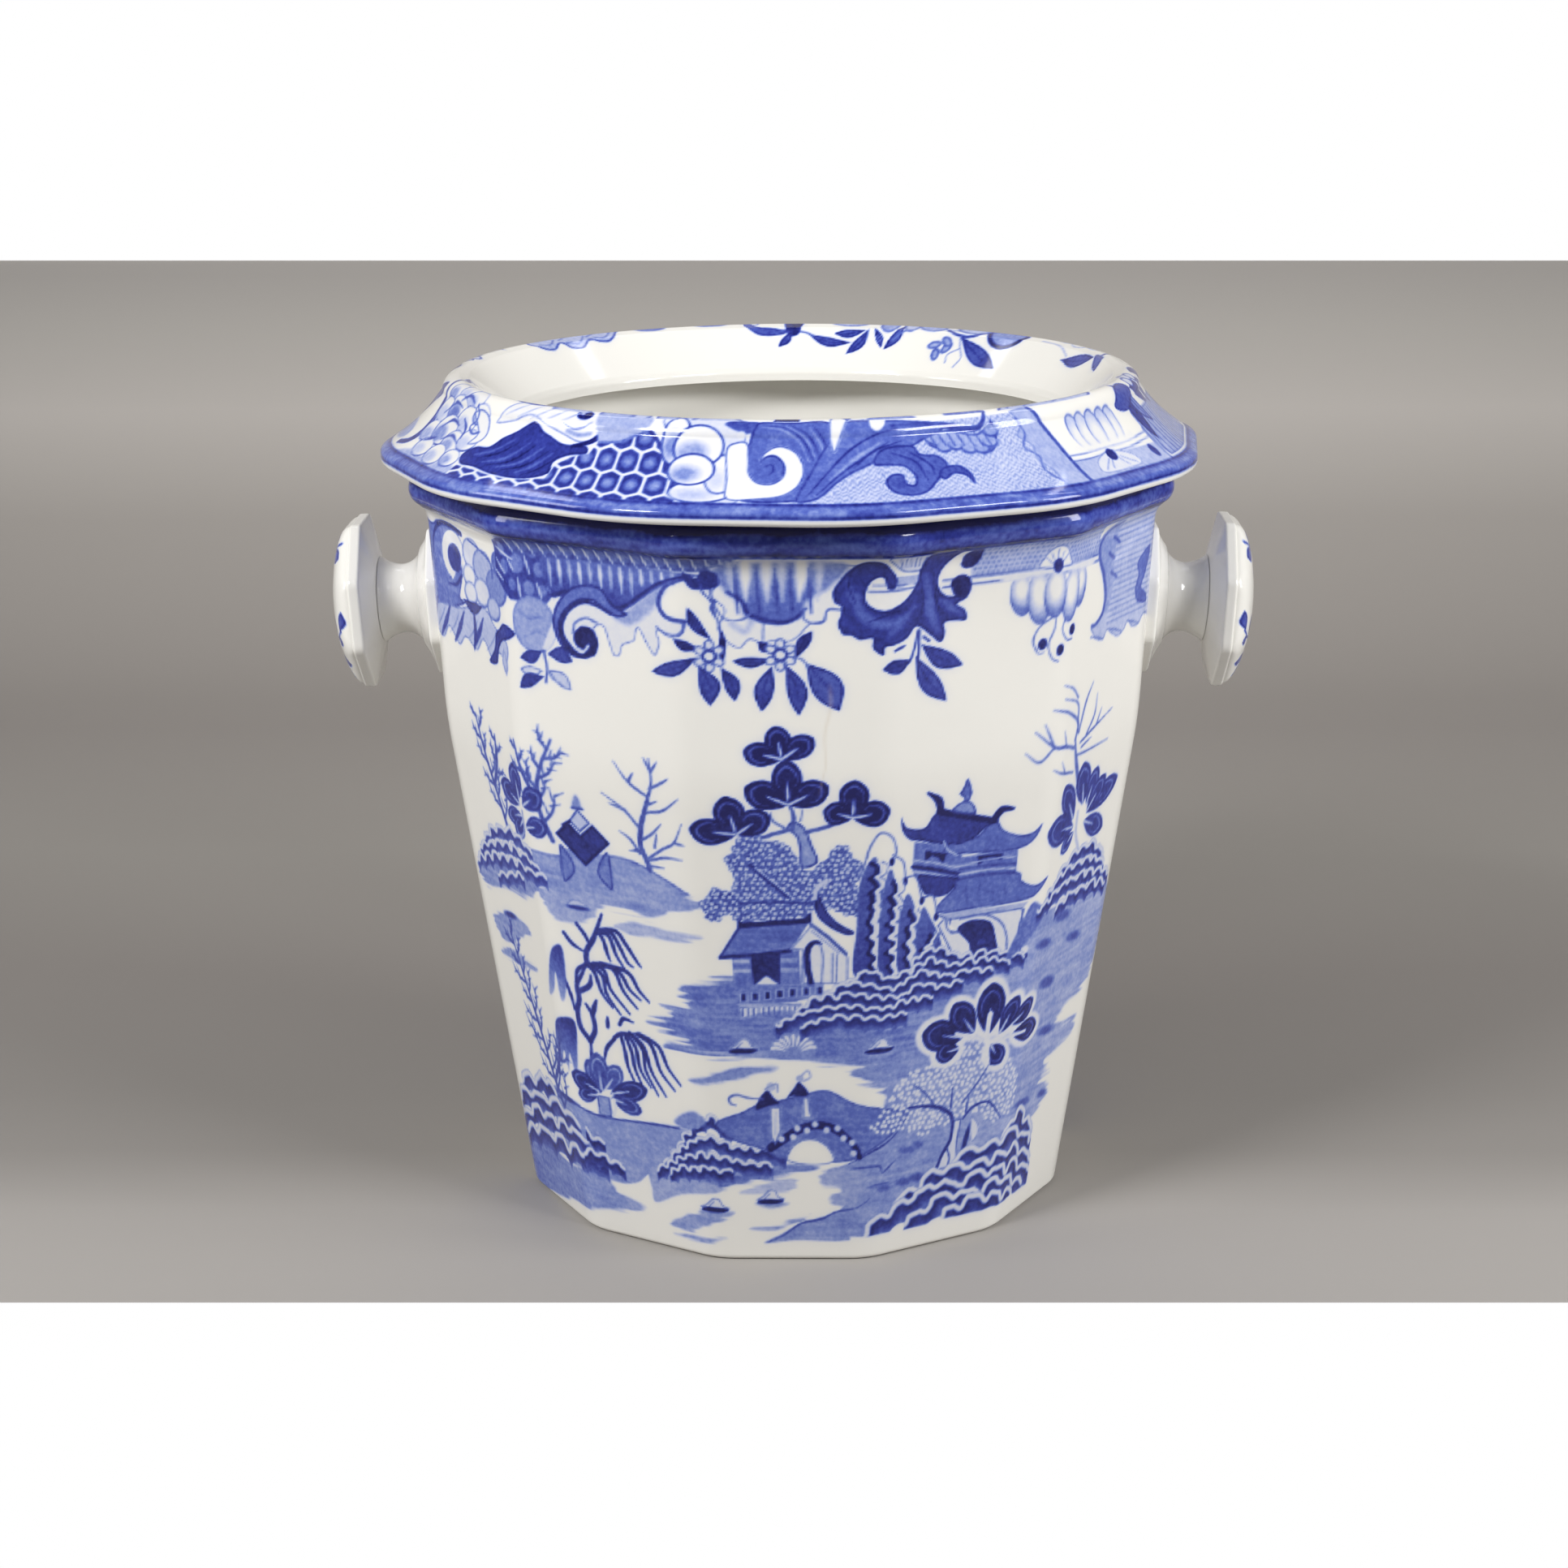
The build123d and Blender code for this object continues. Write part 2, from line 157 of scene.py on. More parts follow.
class PrintSheet:
    """A flat sheet of ink tones that brushes draw on.

    The sheet is a grid of points, across and up in millimetres. Each brush works out its distance
    to every point near it and blends its tone in over a soft edge.
    """

    def __init__(self, left: float, right: float, low: float, high: float, step: float) -> None:
        """Make a bare sheet between the given edges, with a point every step millimetres."""
        self.left, self.low, self.step = left, low, step
        self.across = left + step * np.arange(int(round((right - left) / step)) + 1)
        self.up = low + step * np.arange(int(round((high - low) / step)) + 1)
        self.tone = np.zeros((len(self.up), len(self.across)), dtype=np.float64)
        self.edge = 0.42
        self.shift = 0.0
        self.lift = 0.0

    def patch(self, x0: float, x1: float, y0: float, y1: float) -> tuple:
        """The part of the grid in a box: its slices and its shifted coordinates."""
        x0, x1, y0, y1 = x0 + self.shift, x1 + self.shift, y0 + self.lift, y1 + self.lift
        i0 = max(int((x0 - self.left) / self.step) - 2, 0)
        i1 = min(int((x1 - self.left) / self.step) + 3, len(self.across))
        j0 = max(int((y0 - self.low) / self.step) - 2, 0)
        j1 = min(int((y1 - self.low) / self.step) + 3, len(self.up))
        if i1 <= i0 or j1 <= j0:
            return None, None, None
        x, y = np.meshgrid(self.across[i0:i1] - self.shift, self.up[j0:j1] - self.lift)
        return (slice(j0, j1), slice(i0, i1)), x, y

    def blend(self, where: tuple, distance: np.ndarray, tone: np.ndarray, edge: float = 0.0) -> None:
        """Lay a tone inside a signed distance: cover = 0.5 - distance / edge, kept in 0 to 1."""
        cover = np.clip(0.5 - distance / (edge or self.edge), 0.0, 1.0)
        self.tone[where] += (tone - self.tone[where]) * cover

    def shape(self, points: np.ndarray, tone: float, rim: float = -1.0, rim_width: float = 0.7,
              smooth: bool = True, fade: tuple = (), ragged: tuple = (), edge: float = 0.0,
              streak: float = 0.0) -> None:
        """Fill a closed outline.

        Args:
            points: Corners, joined by a smooth curve or by straight lines.
            tone: Ink inside.
            rim: Ink of the outline, or below zero for none.
            rim_width: Width of the outline in millimetres.
            smooth: Whether the corners are joined by a curve.
            fade: (x0, y0, x1, y1, tone): the ink goes from tone at the first place to this tone.
            ragged: (amount, length, height): noise that frays the outline, longer than it is high.
            edge: Softness of the edge in millimetres, or zero for the sheet's own.
            streak: How much level brush streaks change the tone.
        """
        outline = flow(points, closed=True) if smooth else np.asarray(points, dtype=np.float64)
        reach = 1.0 + (ragged[0] if ragged else 0.0) + edge
        (x0, y0), (x1, y1) = outline.min(axis=0) - reach, outline.max(axis=0) + reach
        where, x, y = self.patch(x0, x1, y0, y1)
        if where is None:
            return
        distance = self.outline_distance(x, y, outline)
        if ragged:
            distance = distance + ragged[0] * smooth_noise(x / ragged[1], y / ragged[2], 7)
        ink: np.ndarray = np.full(x.shape, float(tone))
        if fade:
            fx, fy, tx, ty, other = fade
            along = ((x - fx) * (tx - fx) + (y - fy) * (ty - fy)) / ((tx - fx)**2 + (ty - fy)**2)
            ink += (other - tone) * np.clip(along, 0.0, 1.0)
        if streak:
            ink += streak * smooth_noise(x / 11.0, y / 1.1, 3)
        if rim >= 0.0:
            band = np.clip(0.5 - (np.abs(distance + rim_width / 2) - rim_width / 2) / self.edge, 0.0, 1.0)
            ink += (rim - ink) * band
        self.blend(where, distance, ink, edge)

    @staticmethod
    def outline_distance(x: np.ndarray, y: np.ndarray, outline: np.ndarray) -> np.ndarray:
        """Signed distance to a closed outline, negative inside (even-odd crossings)."""
        best = np.full(x.shape, 1e9)
        inside = np.zeros(x.shape, dtype=bool)
        ends = np.roll(outline, -1, axis=0)
        for (ax, ay), (bx, by) in zip(outline, ends):
            dx, dy = bx - ax, by - ay
            span = dx * dx + dy * dy
            if span < 1e-12:
                continue
            t = np.clip(((x - ax) * dx + (y - ay) * dy) / span, 0.0, 1.0)
            best = np.minimum(best, (x - ax - t * dx)**2 + (y - ay - t * dy)**2)
            if dy != 0.0:
                crosses = ((ay > y) != (by > y)) & (x < ax + dx * (y - ay) / dy)
                inside ^= crosses
        best = np.sqrt(best)
        return np.where(inside, -best, best)

    def stroke(self, points: np.ndarray, width: float, tone: float, start: float = 1.0, end: float = 1.0,
               smooth: bool = True, edge: float = 0.0) -> None:
        """Draw a line whose width goes from start to full in its middle and on to end.

        Args:
            points: Points that the line passes through.
            width: Full width in millimetres.
            tone: Ink of the line.
            start: Share of the width at the first point.
            end: Share of the width at the last point.
            smooth: Whether the points are joined by a curve.
            edge: Softness of the edge, or zero for the sheet's own.
        """
        line = flow(points, steps=5) if smooth else np.asarray(points, dtype=np.float64)
        reach = width / 2 + 0.6 + edge
        (x0, y0), (x1, y1) = line.min(axis=0) - reach, line.max(axis=0) + reach
        where, x, y = self.patch(x0, x1, y0, y1)
        if where is None:
            return
        share = np.linspace(0.0, 1.0, len(line))
        half = 0.5 * width * np.minimum(start + (1 - start) * share * 2, end + (1 - end) * (1 - share) * 2)
        half = np.minimum(half, 0.5 * width)
        best = np.full(x.shape, 1e9)
        for i in range(len(line) - 1):
            (ax, ay), (bx, by) = line[i], line[i + 1]
            dx, dy = bx - ax, by - ay
            span = dx * dx + dy * dy
            if span < 1e-12:
                continue
            t = np.clip(((x - ax) * dx + (y - ay) * dy) / span, 0.0, 1.0)
            away = np.sqrt((x - ax - t * dx)**2 + (y - ay - t * dy)**2)
            best = np.minimum(best, away - (half[i] + (half[i + 1] - half[i]) * t))
        self.blend(where, best, tone, edge)

    def dot(self, x: float, y: float, r: float, tone: float, ry: float = 0.0, turn: float = 0.0,
            edge: float = 0.0) -> None:
        """A round or oval spot."""
        ry = ry or r
        big = max(r, ry) + 0.8 + edge
        where, gx, gy = self.patch(x - big, x + big, y - big, y + big)
        if where is None:
            return
        c, s = math.cos(math.radians(turn)), math.sin(math.radians(turn))
        u, v = (gx - x) * c + (gy - y) * s, -(gx - x) * s + (gy - y) * c
        size = np.hypot(u / r, v / ry)
        self.blend(where, (size - 1.0) * min(r, ry), tone, edge)

    def pattern(self, points: np.ndarray, draw, smooth: bool = True, edge: float = 0.0) -> None:
        """Fill a closed outline with a tone worked out at each point by a function of (x, y)."""
        outline = flow(points, closed=True) if smooth else np.asarray(points, dtype=np.float64)
        (x0, y0), (x1, y1) = outline.min(axis=0) - 1, outline.max(axis=0) + 1
        where, x, y = self.patch(x0, x1, y0, y1)
        if where is not None:
            self.blend(where, self.outline_distance(x, y, outline), draw(x, y), edge)

    def leaf(self, x0: float, y0: float, x1: float, y1: float, width: float, tone: float = Tone.MID,
             rim: float = Tone.DARK, bend: float = 0.0, vein: float = -1.0, tip: float = 0.55,
             rim_width: float = 0.65) -> None:
        """A pointed leaf from its stalk to its tip.

        Its half width is width / 2 * sin(pi * t**tip') over its length, and its middle line bows
        sideways by bend * sin(pi * t).
        """
        t = np.linspace(0.0, 1.0, 14)
        dx, dy = x1 - x0, y1 - y0
        length = math.hypot(dx, dy)
        nx, ny = -dy / length, dx / length
        bow = bend * np.sin(np.pi * t)
        half = 0.5 * width * np.sin(np.pi * t**(math.log(0.5) / math.log(tip)))
        mx, my = x0 + dx * t + nx * bow, y0 + dy * t + ny * bow
        one = np.stack([mx + nx * half, my + ny * half], axis=1)
        two = np.stack([mx - nx * half, my - ny * half], axis=1)[::-1][1:-1]
        self.shape(np.vstack([one, two]), tone, rim=rim, rim_width=rim_width, smooth=False,
                   fade=(x0, y0, x1, y1, min(tone + 0.1, 1.0)))
        if vein >= 0.0:
            self.stroke(np.stack([mx[1:11], my[1:11]], axis=1), 0.55, vein, end=0.4, smooth=False)

    def pad_leaf(self, x: float, y: float, turn: float, length: float, width: float, tone: float = Tone.DARK,
                 halo: float = 0.0) -> None:
        """A dark rounded leaf with a lighter inner line and a pale vein, growing from (x, y)."""
        c, s = math.cos(math.radians(turn)), math.sin(math.radians(turn))
        t = np.linspace(0.0, 1.0, 12)
        half = 0.5 * width * np.sin(np.pi * t**1.25)**0.6
        side = np.concatenate([half, -half[::-1][1:-1]])
        run = length * np.concatenate([t, t[::-1][1:-1]])
        outline = np.stack([x + run * c - side * s, y + run * s + side * c], axis=1)
        mid = np.array([x + 0.52 * length * c, y + 0.52 * length * s])
        if halo:
            self.shape(mid + (outline - mid) * (1 + 2 * halo / width), Tone.FAINT, edge=1.0)
        self.shape(outline, tone)
        inner = mid + (outline - mid) * 0.66
        self.stroke(inner[3:19], 0.75, tone - 0.34, start=0.2, end=0.2)
        self.stroke([(x + 0.04 * length * c, y + 0.04 * length * s),
                     (x + 0.5 * length * c, y + 0.5 * length * s)], 1.0, Tone.PALE, end=0.3)

    def ridge(self, line: np.ndarray, cap: float, depth: float, dark: float = 0.98, fill: float = 0.66,
              white: float = 0.1) -> None:
        """A rock's scalloped ridge: pale cap along its line, dark below, lighter further down.

        The ink under the line is a function of the distance to it: a thin outline, the pale cap,
        a sharp dark edge, and then a fade to the fill.
        """
        under = line[::-1] - np.array([0.0, 1.35 * depth])
        outline = np.vstack([line, under])
        (x0, y0), (x1, y1) = outline.min(axis=0) - 1, outline.max(axis=0) + 1
        where, x, y = self.patch(x0, x1, y0, y1)
        if where is None:
            return
        best = np.full(x.shape, 1e9)
        for (ax, ay), (bx, by) in zip(line[:-1], line[1:]):
            dx, dy = bx - ax, by - ay
            span = dx * dx + dy * dy + 1e-12
            t = np.clip(((x - ax) * dx + (y - ay) * dy) / span, 0.0, 1.0)
            best = np.minimum(best, (x - ax - t * dx)**2 + (y - ay - t * dy)**2)
        away = np.sqrt(best) / cap
        ink = np.interp(away, [0.0, 0.2, 0.45, 0.8, 1.2, 1.7, 3.2],
                        [0.6, 0.22, white, 0.24, dark, dark * 0.93, fill])
        self.blend(where, self.outline_distance(x, y, outline), ink)

    def beads(self, points: np.ndarray, pitch: float, radius: float, ground: float, bead: float,
              ring: float = -1.0, seed: int = 1, smooth: bool = True) -> None:
        """A patch packed with small round beads in staggered rows that are shaken a little."""
        outline = flow(points, closed=True) if smooth else np.asarray(points, dtype=np.float64)
        if ground >= 0.0:
            self.shape(outline, ground, smooth=False, ragged=(0.9, 1.7, 1.7))
        (x0, y0), (x1, y1) = outline.min(axis=0), outline.max(axis=0)
        random = np.random.default_rng(seed)
        rows = int((y1 - y0) / (pitch * 0.87)) + 1
        for row in range(rows):
            xs = np.arange(x0 + (row % 2) * pitch / 2, x1, pitch)
            ys = np.full(xs.shape, y0 + row * pitch * 0.87)
            xs = xs + random.uniform(-0.28, 0.28, xs.shape) * pitch
            ys = ys + random.uniform(-0.28, 0.28, xs.shape) * pitch
            for x, y, inside in zip(xs, ys, self.outline_distance(xs, ys, outline) < radius * 0.2):
                if inside:
                    if ring >= 0.0:
                        self.dot(x, y, radius * 1.45, ring)
                    self.dot(x, y, radius, bead)

    def tree(self, x: float, y: float, turn: float, length: float, width: float, tone: float,
             levels: int = 4, spread: float = 34.0, seed: int = 1, edge: float = 0.0) -> None:
        """A bare tree: each bough carries three shorter ones, down to twigs."""
        random = np.random.default_rng(seed)

        def bough(bx: float, by: float, heading: float, reach: float, thick: float, level: int) -> None:
            """Draw one bough and those that it carries."""
            curl = random.uniform(-14, 14)
            a, b = math.radians(heading + curl), math.radians(heading - curl)
            mx, my = bx + 0.5 * reach * math.cos(a), by + 0.5 * reach * math.sin(a)
            ex, ey = mx + 0.5 * reach * math.cos(b), my + 0.5 * reach * math.sin(b)
            self.stroke([(bx, by), (mx, my), (ex, ey)], thick, tone, end=0.45, edge=edge)
            if level <= 1:
                return
            for share, side in ((0.5, 1), (0.72, -1), (1.0, random.choice([-0.35, 0.35]))):
                px = bx + (ex - bx) * share + (mx - (bx + ex) / 2) * (2 - 2 * share)
                py = by + (ey - by) * share + (my - (by + ey) / 2) * (2 - 2 * share)
                bough(px, py, heading + side * spread * random.uniform(0.8, 1.35),
                      reach * random.uniform(0.55, 0.75), max(thick * 0.68, 0.5), level - 1)

        bough(x, y, turn, length, width, levels)

    def thorn_tree(self, points: list, reach: float, tone: float, pitch: float = 5.6, width: float = 2.0,
                   seed: int = 1) -> None:
        """A bare tree: a trunk with alternate boughs that shorten to its tip, each with short twigs."""
        random = np.random.default_rng(seed)
        line = flow(points, steps=12)
        self.stroke(points, width, tone, end=0.5, edge=0.7)
        run = np.concatenate([[0.0], np.cumsum(np.hypot(*np.diff(line, axis=0).T))])
        side = 1
        for place in np.arange(pitch, run[-1] + 0.1, pitch * 0.6):
            side = -side
            x, y = np.interp(place, run, line[:, 0]), np.interp(place, run, line[:, 1])
            back = max(place - 2.0, 0.0)
            heading = math.atan2(y - np.interp(back, run, line[:, 1]), x - np.interp(back, run, line[:, 0]))
            turn = heading + side * random.uniform(0.75, 1.2)
            long = reach * (1.1 - 0.6 * place / run[-1]) * random.uniform(0.7, 1.15)
            bow = turn - side * 0.45
            mx, my = x + 0.5 * long * math.cos(turn), y + 0.5 * long * math.sin(turn)
            ex, ey = mx + 0.5 * long * math.cos(bow), my + 0.5 * long * math.sin(bow)
            self.stroke([(x, y), (mx, my), (ex, ey)], width * 0.62, tone, end=0.4, edge=0.7)
            for share, lean in ((0.35, 0.8), (0.6, -0.8), (0.8, 0.7), (0.95, -0.6)):
                px, py = x + (ex - x) * share, y + (ey - y) * share
                a = (turn + bow) / 2 + lean
                self.stroke([(px, py), (px + 0.32 * long * math.cos(a), py + 0.32 * long * math.sin(a))], 0.95, tone,
                            end=0.4, smooth=False, edge=0.7)

    def bleed(self, reach: float, share: float) -> None:
        """Let the ink creep into the glaze round it: a share of the sheet averaged over a reach."""
        soft = self.tone
        width = max(int(reach / self.step), 1)
        for axis in (0, 1, 0, 1):
            total = np.cumsum(np.pad(soft, [(width + 1, width) if a == axis else (0, 0) for a in (0, 1)], mode="edge"), axis=axis)
            ahead = np.take(total, range(2 * width + 1, total.shape[axis]), axis=axis)
            soft = (ahead - np.take(total, range(total.shape[axis] - 2 * width - 1), axis=axis)) / (2 * width + 1)
        self.tone = np.maximum(self.tone, share * soft)

    def sample(self, across: np.ndarray, up: np.ndarray) -> np.ndarray:
        """Tones at any places, read between the grid's points; outside the sheet it is bare."""
        fx, fy = (across - self.left) / self.step, (up - self.low) / self.step
        ok = (fx >= 0) & (fy >= 0) & (fx <= len(self.across) - 1) & (fy <= len(self.up) - 1)
        i = np.clip(np.floor(fx).astype(np.int64), 0, len(self.across) - 2)
        j = np.clip(np.floor(fy).astype(np.int64), 0, len(self.up) - 2)
        u, v = np.clip(fx - i, 0, 1), np.clip(fy - j, 0, 1)
        low = self.tone[j, i] * (1 - u) + self.tone[j, i + 1] * u
        high = self.tone[j + 1, i] * (1 - u) + self.tone[j + 1, i + 1] * u
        return np.where(ok, low * (1 - v) + high * v, 0.0)


@dataclass
class Landscape:
    """The lake scene on the jar's wall: two islands, a tea house, a pagoda, a bridge and trees.

    It is the common temple and bridge type of blue-printed view, drawn anew with brushes. Places are
    millimetres across from the middle of the front facet and up from the foot.
    """

    sheet: PrintSheet

    def draw(self) -> None:
        """Draw the whole scene, far things first."""
        self.draw_water()
        self.draw_left_island()
        self.draw_willow()
        self.draw_left_shore()
        self.draw_bridge()
        self.draw_centre_trees()
        self.draw_pagoda()
        self.draw_tea_house()
        self.draw_middle_rocks()
        self.draw_right_island()
        self.draw_right_shore()

    def draw_water(self) -> None:
        """Washes of water and sand with frayed level edges, and the darker patches on them."""
        s = self.sheet
        s.shape([(-54, 89), (-42, 93), (-47, 97), (-36, 99), (-40, 103), (-30, 108), (-20, 110.5), (-10, 106),
                 (10, 99), (40, 104), (62, 104), (88, 112), (100, 112), (104, 84), (98, 74), (70, 78), (40, 74),
                 (22, 76.5), (0, 79), (-22, 80), (-46, 81.5), (-36, 86)], 0.55, ragged=(2.2, 12, 0.9),
                fade=(0, 92, 95, 100, 0.46), streak=0.09, edge=1.2)
        s.shape([(84, 108), (97, 122), (120, 121), (153, 119), (153, 92), (146, 88), (150, 85), (139, 79),
                 (128, 76), (124, 72.5), (142, 68), (139, 62), (120, 58), (127, 53), (117, 50), (128, 45),
                 (118, 40), (110, 36), (90, 32), (60, 38), (40, 52), (34, 66), (22, 75), (40, 80), (70, 84)],
                0.47, ragged=(2.2, 12, 1.2), fade=(40, 60, 130, 60, 0.4), streak=0.06, edge=1.4)
        s.shape([(20, 38), (30, 43), (40, 54), (60, 54), (70, 44), (66, 30), (56, 28), (50, 20), (40, 14), (31, 9.5),
                 (20, 7.6), (2, 7.8), (-11, 6.7), (-4, 10.5), (4, 15), (14, 18), (20, 21), (24, 27), (18, 32),
                 (14, 36)], 0.49, fade=(10, 12, 50, 44, 0.46), streak=0.06)
        s.shape([(-38, 70), (-30, 72.5), (-20, 76.5), (-12, 77), (-4, 76), (-18, 72.5), (-32, 69)], 0.5,
                ragged=(0.8, 6, 1), edge=1.2)
        s.shape([(12, 35), (20, 37), (30, 35), (28, 26), (22, 21.5), (15, 24), (19, 28), (12, 30)], 0.42,
                ragged=(1.2, 6, 1.2), edge=1.6)
        for points, tone in (([(-10, 6.8), (-3, 10), (4, 14.8), (12, 16.5), (18, 19.5), (26, 21), (31, 24)], 0.8),
                             ([(22, 38.5), (30, 42.5), (38, 46), (44, 51)], 0.85), ([(23, 36.5), (34, 37), (36, 33.6)], 0.78),
                             ([(36, 33.6), (42, 38)], 0.8), ([(30, 29), (36, 29.6), (42, 29)], 0.72)):
            s.stroke(points, 0.9, tone, start=0.3, end=0.2)
        for x, y, r, ry in ((47, 41, 3.4, 1.2), (51.5, 42, 2.6, 1.3), (46, 28.4, 3.2, 1.5), (52.5, 29, 3.6, 1.7), (37, 27.6, 3, 1.1),
                            (115, 116, 6, 1.9), (102, 109, 5.5, 1.7), (127, 104.6, 6, 1.7), (110, 92, 6, 2.3),
                            (116, 71.6, 6.5, 1.7), (104, 46.6, 6, 1.8), (122, 45, 4, 1.4)):
            s.dot(x, y, r, 0.72, ry=ry, turn=-8, edge=1.4)
        for points, tone in (([(-142, 108), (-130, 112.5), (-120, 115), (-108, 112), (-113, 109), (-124, 104), (-136, 101)], 0.44),
                             ([(-140, 95), (-128, 99), (-118, 98.6), (-108, 97.3), (-119, 95), (-132, 94)], 0.46),
                             ([(-63, 124), (-55, 126.6), (-42, 126.4), (-29, 124.6), (-40, 122.6), (-58, 122.4)], 0.36),
                             ([(-52, 10), (-44, 15), (-34, 18.6), (-22, 19), (-30, 15), (-42, 9.5)], 0.42),
                             ([(-51, 6.4), (-44, 7.6), (-30, 8.6), (-26, 8), (-38, 5.6)], 0.44),
                             ([(-17, 12.6), (-6, 14), (8, 18.4), (2, 14.4), (-8, 11.6)], 0.44),
                             ([(-20, 26.6), (-12, 29.6), (0, 32), (2, 30), (-6, 27)], 0.3),
                             ([(-57, 28), (-36, 27.5), (-16, 31), (-2, 34), (11, 37.4), (-4, 37.6), (-20, 35), (-50, 33)], 0.56)):
            s.shape(points, tone, ragged=(1.0, 7, 1.0), edge=1.1, streak=0.05)
        s.dot(-125, 113.2, 5.4, 0.86, ry=1.2, turn=6, edge=1.0)
        self.draw_islet(-30.5, 19.5, 6.2)
        self.draw_islet(-8, 23.3, 5.6)
        self.draw_islet(-16.5, 82.4, 5.6)
        self.draw_islet(32.5, 82.0, 6.0)
        s.shape([(-7, 82), (-5.5, 87), (-1, 90.2), (4, 90), (8, 86.5), (9.5, 82), (4, 80.5), (-3, 80.5)], 0.5, edge=1.2)
        for turn in range(20, 165, 18):
            c, q = math.cos(math.radians(turn)), math.sin(math.radians(turn))
            s.stroke([(1.5 + 3 * c, 82 + 2.4 * q), (1.5 + 6.2 * c, 82.4 + 5 * q), (1.5 + 8 * c, 81.8 + 6.6 * q)], 1.2,
                     Tone.FAINT, start=0.2)

    def draw_islet(self, x: float, y: float, half: float) -> None:
        """A small white rock on a dark line of shade, with a wash below it."""
        s = self.sheet
        s.shape([(x - half * 1.1, y - 0.4), (x, y - 2.6), (x + half * 1.3, y - 0.6), (x, y + 0.6)], 0.45, edge=1.2)
        s.shape([(x - half, y + 0.6), (x - half * 0.55, y + 2.6), (x - half * 0.1, y + 5), (x + half * 0.35, y + 4.8),
                 (x + half * 0.6, y + 2.4), (x + half, y + 1.4), (x + half * 0.7, y + 0.2)], Tone.FAINT, rim=0.55)
        s.stroke([(x - half * 0.4, y + 1.4), (x - half * 0.05, y + 3.4)], 0.6, 0.5)
        s.shape([(x - half * 0.95, y + 0.1), (x - half * 0.3, y + 1.3), (x + half * 0.9, y + 0.8), (x + half * 0.5, y - 0.6),
                 (x - half * 0.6, y - 0.7)], Tone.DARK)

    def draw_left_island(self) -> None:
        """The hill with a dark-roofed hut, bare trees, a leafy clump and rocks."""
        s = self.sheet
        s.shape([(-98, 146), (-82, 147), (-70, 149), (-60, 150.5), (-50, 149), (-35, 142.4), (-34, 140), (-60, 138),
                 (-90, 138)], 0.43, rim=0.62, rim_width=0.8, streak=0.04)
        s.shape([(-96, 141), (-60, 140.4), (-36, 140.4), (-28, 138), (-38, 133.4), (-50, 131), (-66, 130.5), (-78, 128),
                 (-92, 132), (-104, 126), (-124, 123.6), (-142, 120), (-148, 126), (-130, 132)], 0.46,
                ragged=(2.0, 12, 1.0), edge=1.0, streak=0.08)
        s.shape([(-93, 132), (-73, 133), (-70, 128), (-77, 122.6), (-87, 122), (-92, 127)], 0.4, ragged=(1, 6, 1), edge=1.4)
        s.shape([(-82, 128.6), (-79, 131.4), (-75, 130.6), (-73, 128.6)], Tone.PALE, rim=0.5)
        s.dot(-77.5, 128.2, 4.6, 0.85, ry=0.9)
        s.shape([(-82, 150), (-62, 150), (-61.6, 138), (-82.4, 138)], 0.46, smooth=False)
        for side in (-1, 1):
            x = -72.0
            s.shape([(x + side * 9.6, 151), (x + side * 6, 147.5), (x + side * 4.4, 143), (x + side * 6.4, 139.4),
                     (x + side * 10, 138)], 0.56, rim=0.82, smooth=True)
        s.shape([(-82.6, 155), (-77, 160.2), (-72.6, 156), (-67.4, 160.6), (-61.2, 154.6), (-72, 144.4)], 0.9,
                rim=Tone.DARK, rim_width=1.1, smooth=False)
        s.shape([(-76.6, 160.6), (-72.6, 165.6), (-68, 160.8), (-72.6, 156.8)], Tone.PALE, rim=0.82, smooth=False)
        s.stroke([(-76.2, 160.4), (-79, 158.6)], 1.1, Tone.DARK)
        s.shape([(-74.4, 166), (-73.6, 169.4), (-72.4, 170.6), (-71.2, 168.8), (-71, 166)], 0.5, edge=0.9)
        s.stroke([(-74.5, 165.6), (-70.5, 165.6)], 1.0, 0.8)
        trunk = [(-46.6, 147.6), (-47.6, 151), (-49.4, 156), (-48.6, 163), (-47, 168), (-45, 174), (-43.4, 180), (-44, 188)]
        s.stroke(trunk, 2.0, 0.74, end=0.25)
        for points in ([(-46.4, 152), (-41, 156), (-36.6, 159), (-33.4, 166)], [(-48.8, 158), (-44.6, 161), (-41, 165)],
                       [(-49, 162), (-54.4, 168), (-62.4, 173)], [(-54, 168), (-60, 169.6)], [(-46, 168.4), (-40, 170), (-34, 175)],
                       [(-45, 174), (-52, 178.4), (-57, 185)], [(-44.4, 177), (-39.6, 180), (-37.4, 181.6)],
                       [(-46.4, 151), (-40, 153), (-34, 153)], [(-50, 153), (-53, 157.4), (-57, 160)], [(-49, 154), (-54, 153.4)],
                       [(-36.6, 159), (-33, 158.4)], [(-43.8, 184), (-46, 188)], [(-43.6, 183), (-41, 187)],
                       [(-44, 156), (-43, 161)], [(-46, 171), (-42, 173)], [(-52, 178.4), (-50, 182)], [(-47, 149), (-41, 149)]):
            s.stroke(points, 1.1, 0.66, end=0.4)
        for points, reach, seed in (([(-84, 152), (-88, 164), (-86, 176), (-80, 189)], 12, 5), ([(-88, 166), (-94, 176), (-97, 186)], 8, 8),
                                    ([(-112, 146), (-116, 158), (-121, 172), (-126, 188)], 12, 12), ([(-118, 164), (-113, 174), (-112, 184)], 8, 14)):
            s.thorn_tree(points, reach, 0.74, seed=seed, pitch=6.8, width=2.0)
        for x, y, turn, length, width in ((-99, 164, 96, 13, 9), (-99, 162, 158, 14, 9), (-97, 162, 32, 13, 9),
                                          (-99, 158, 195, 12, 7), (-97, 154, 14, 12, 8), (-98, 157, 226, 11, 8)):
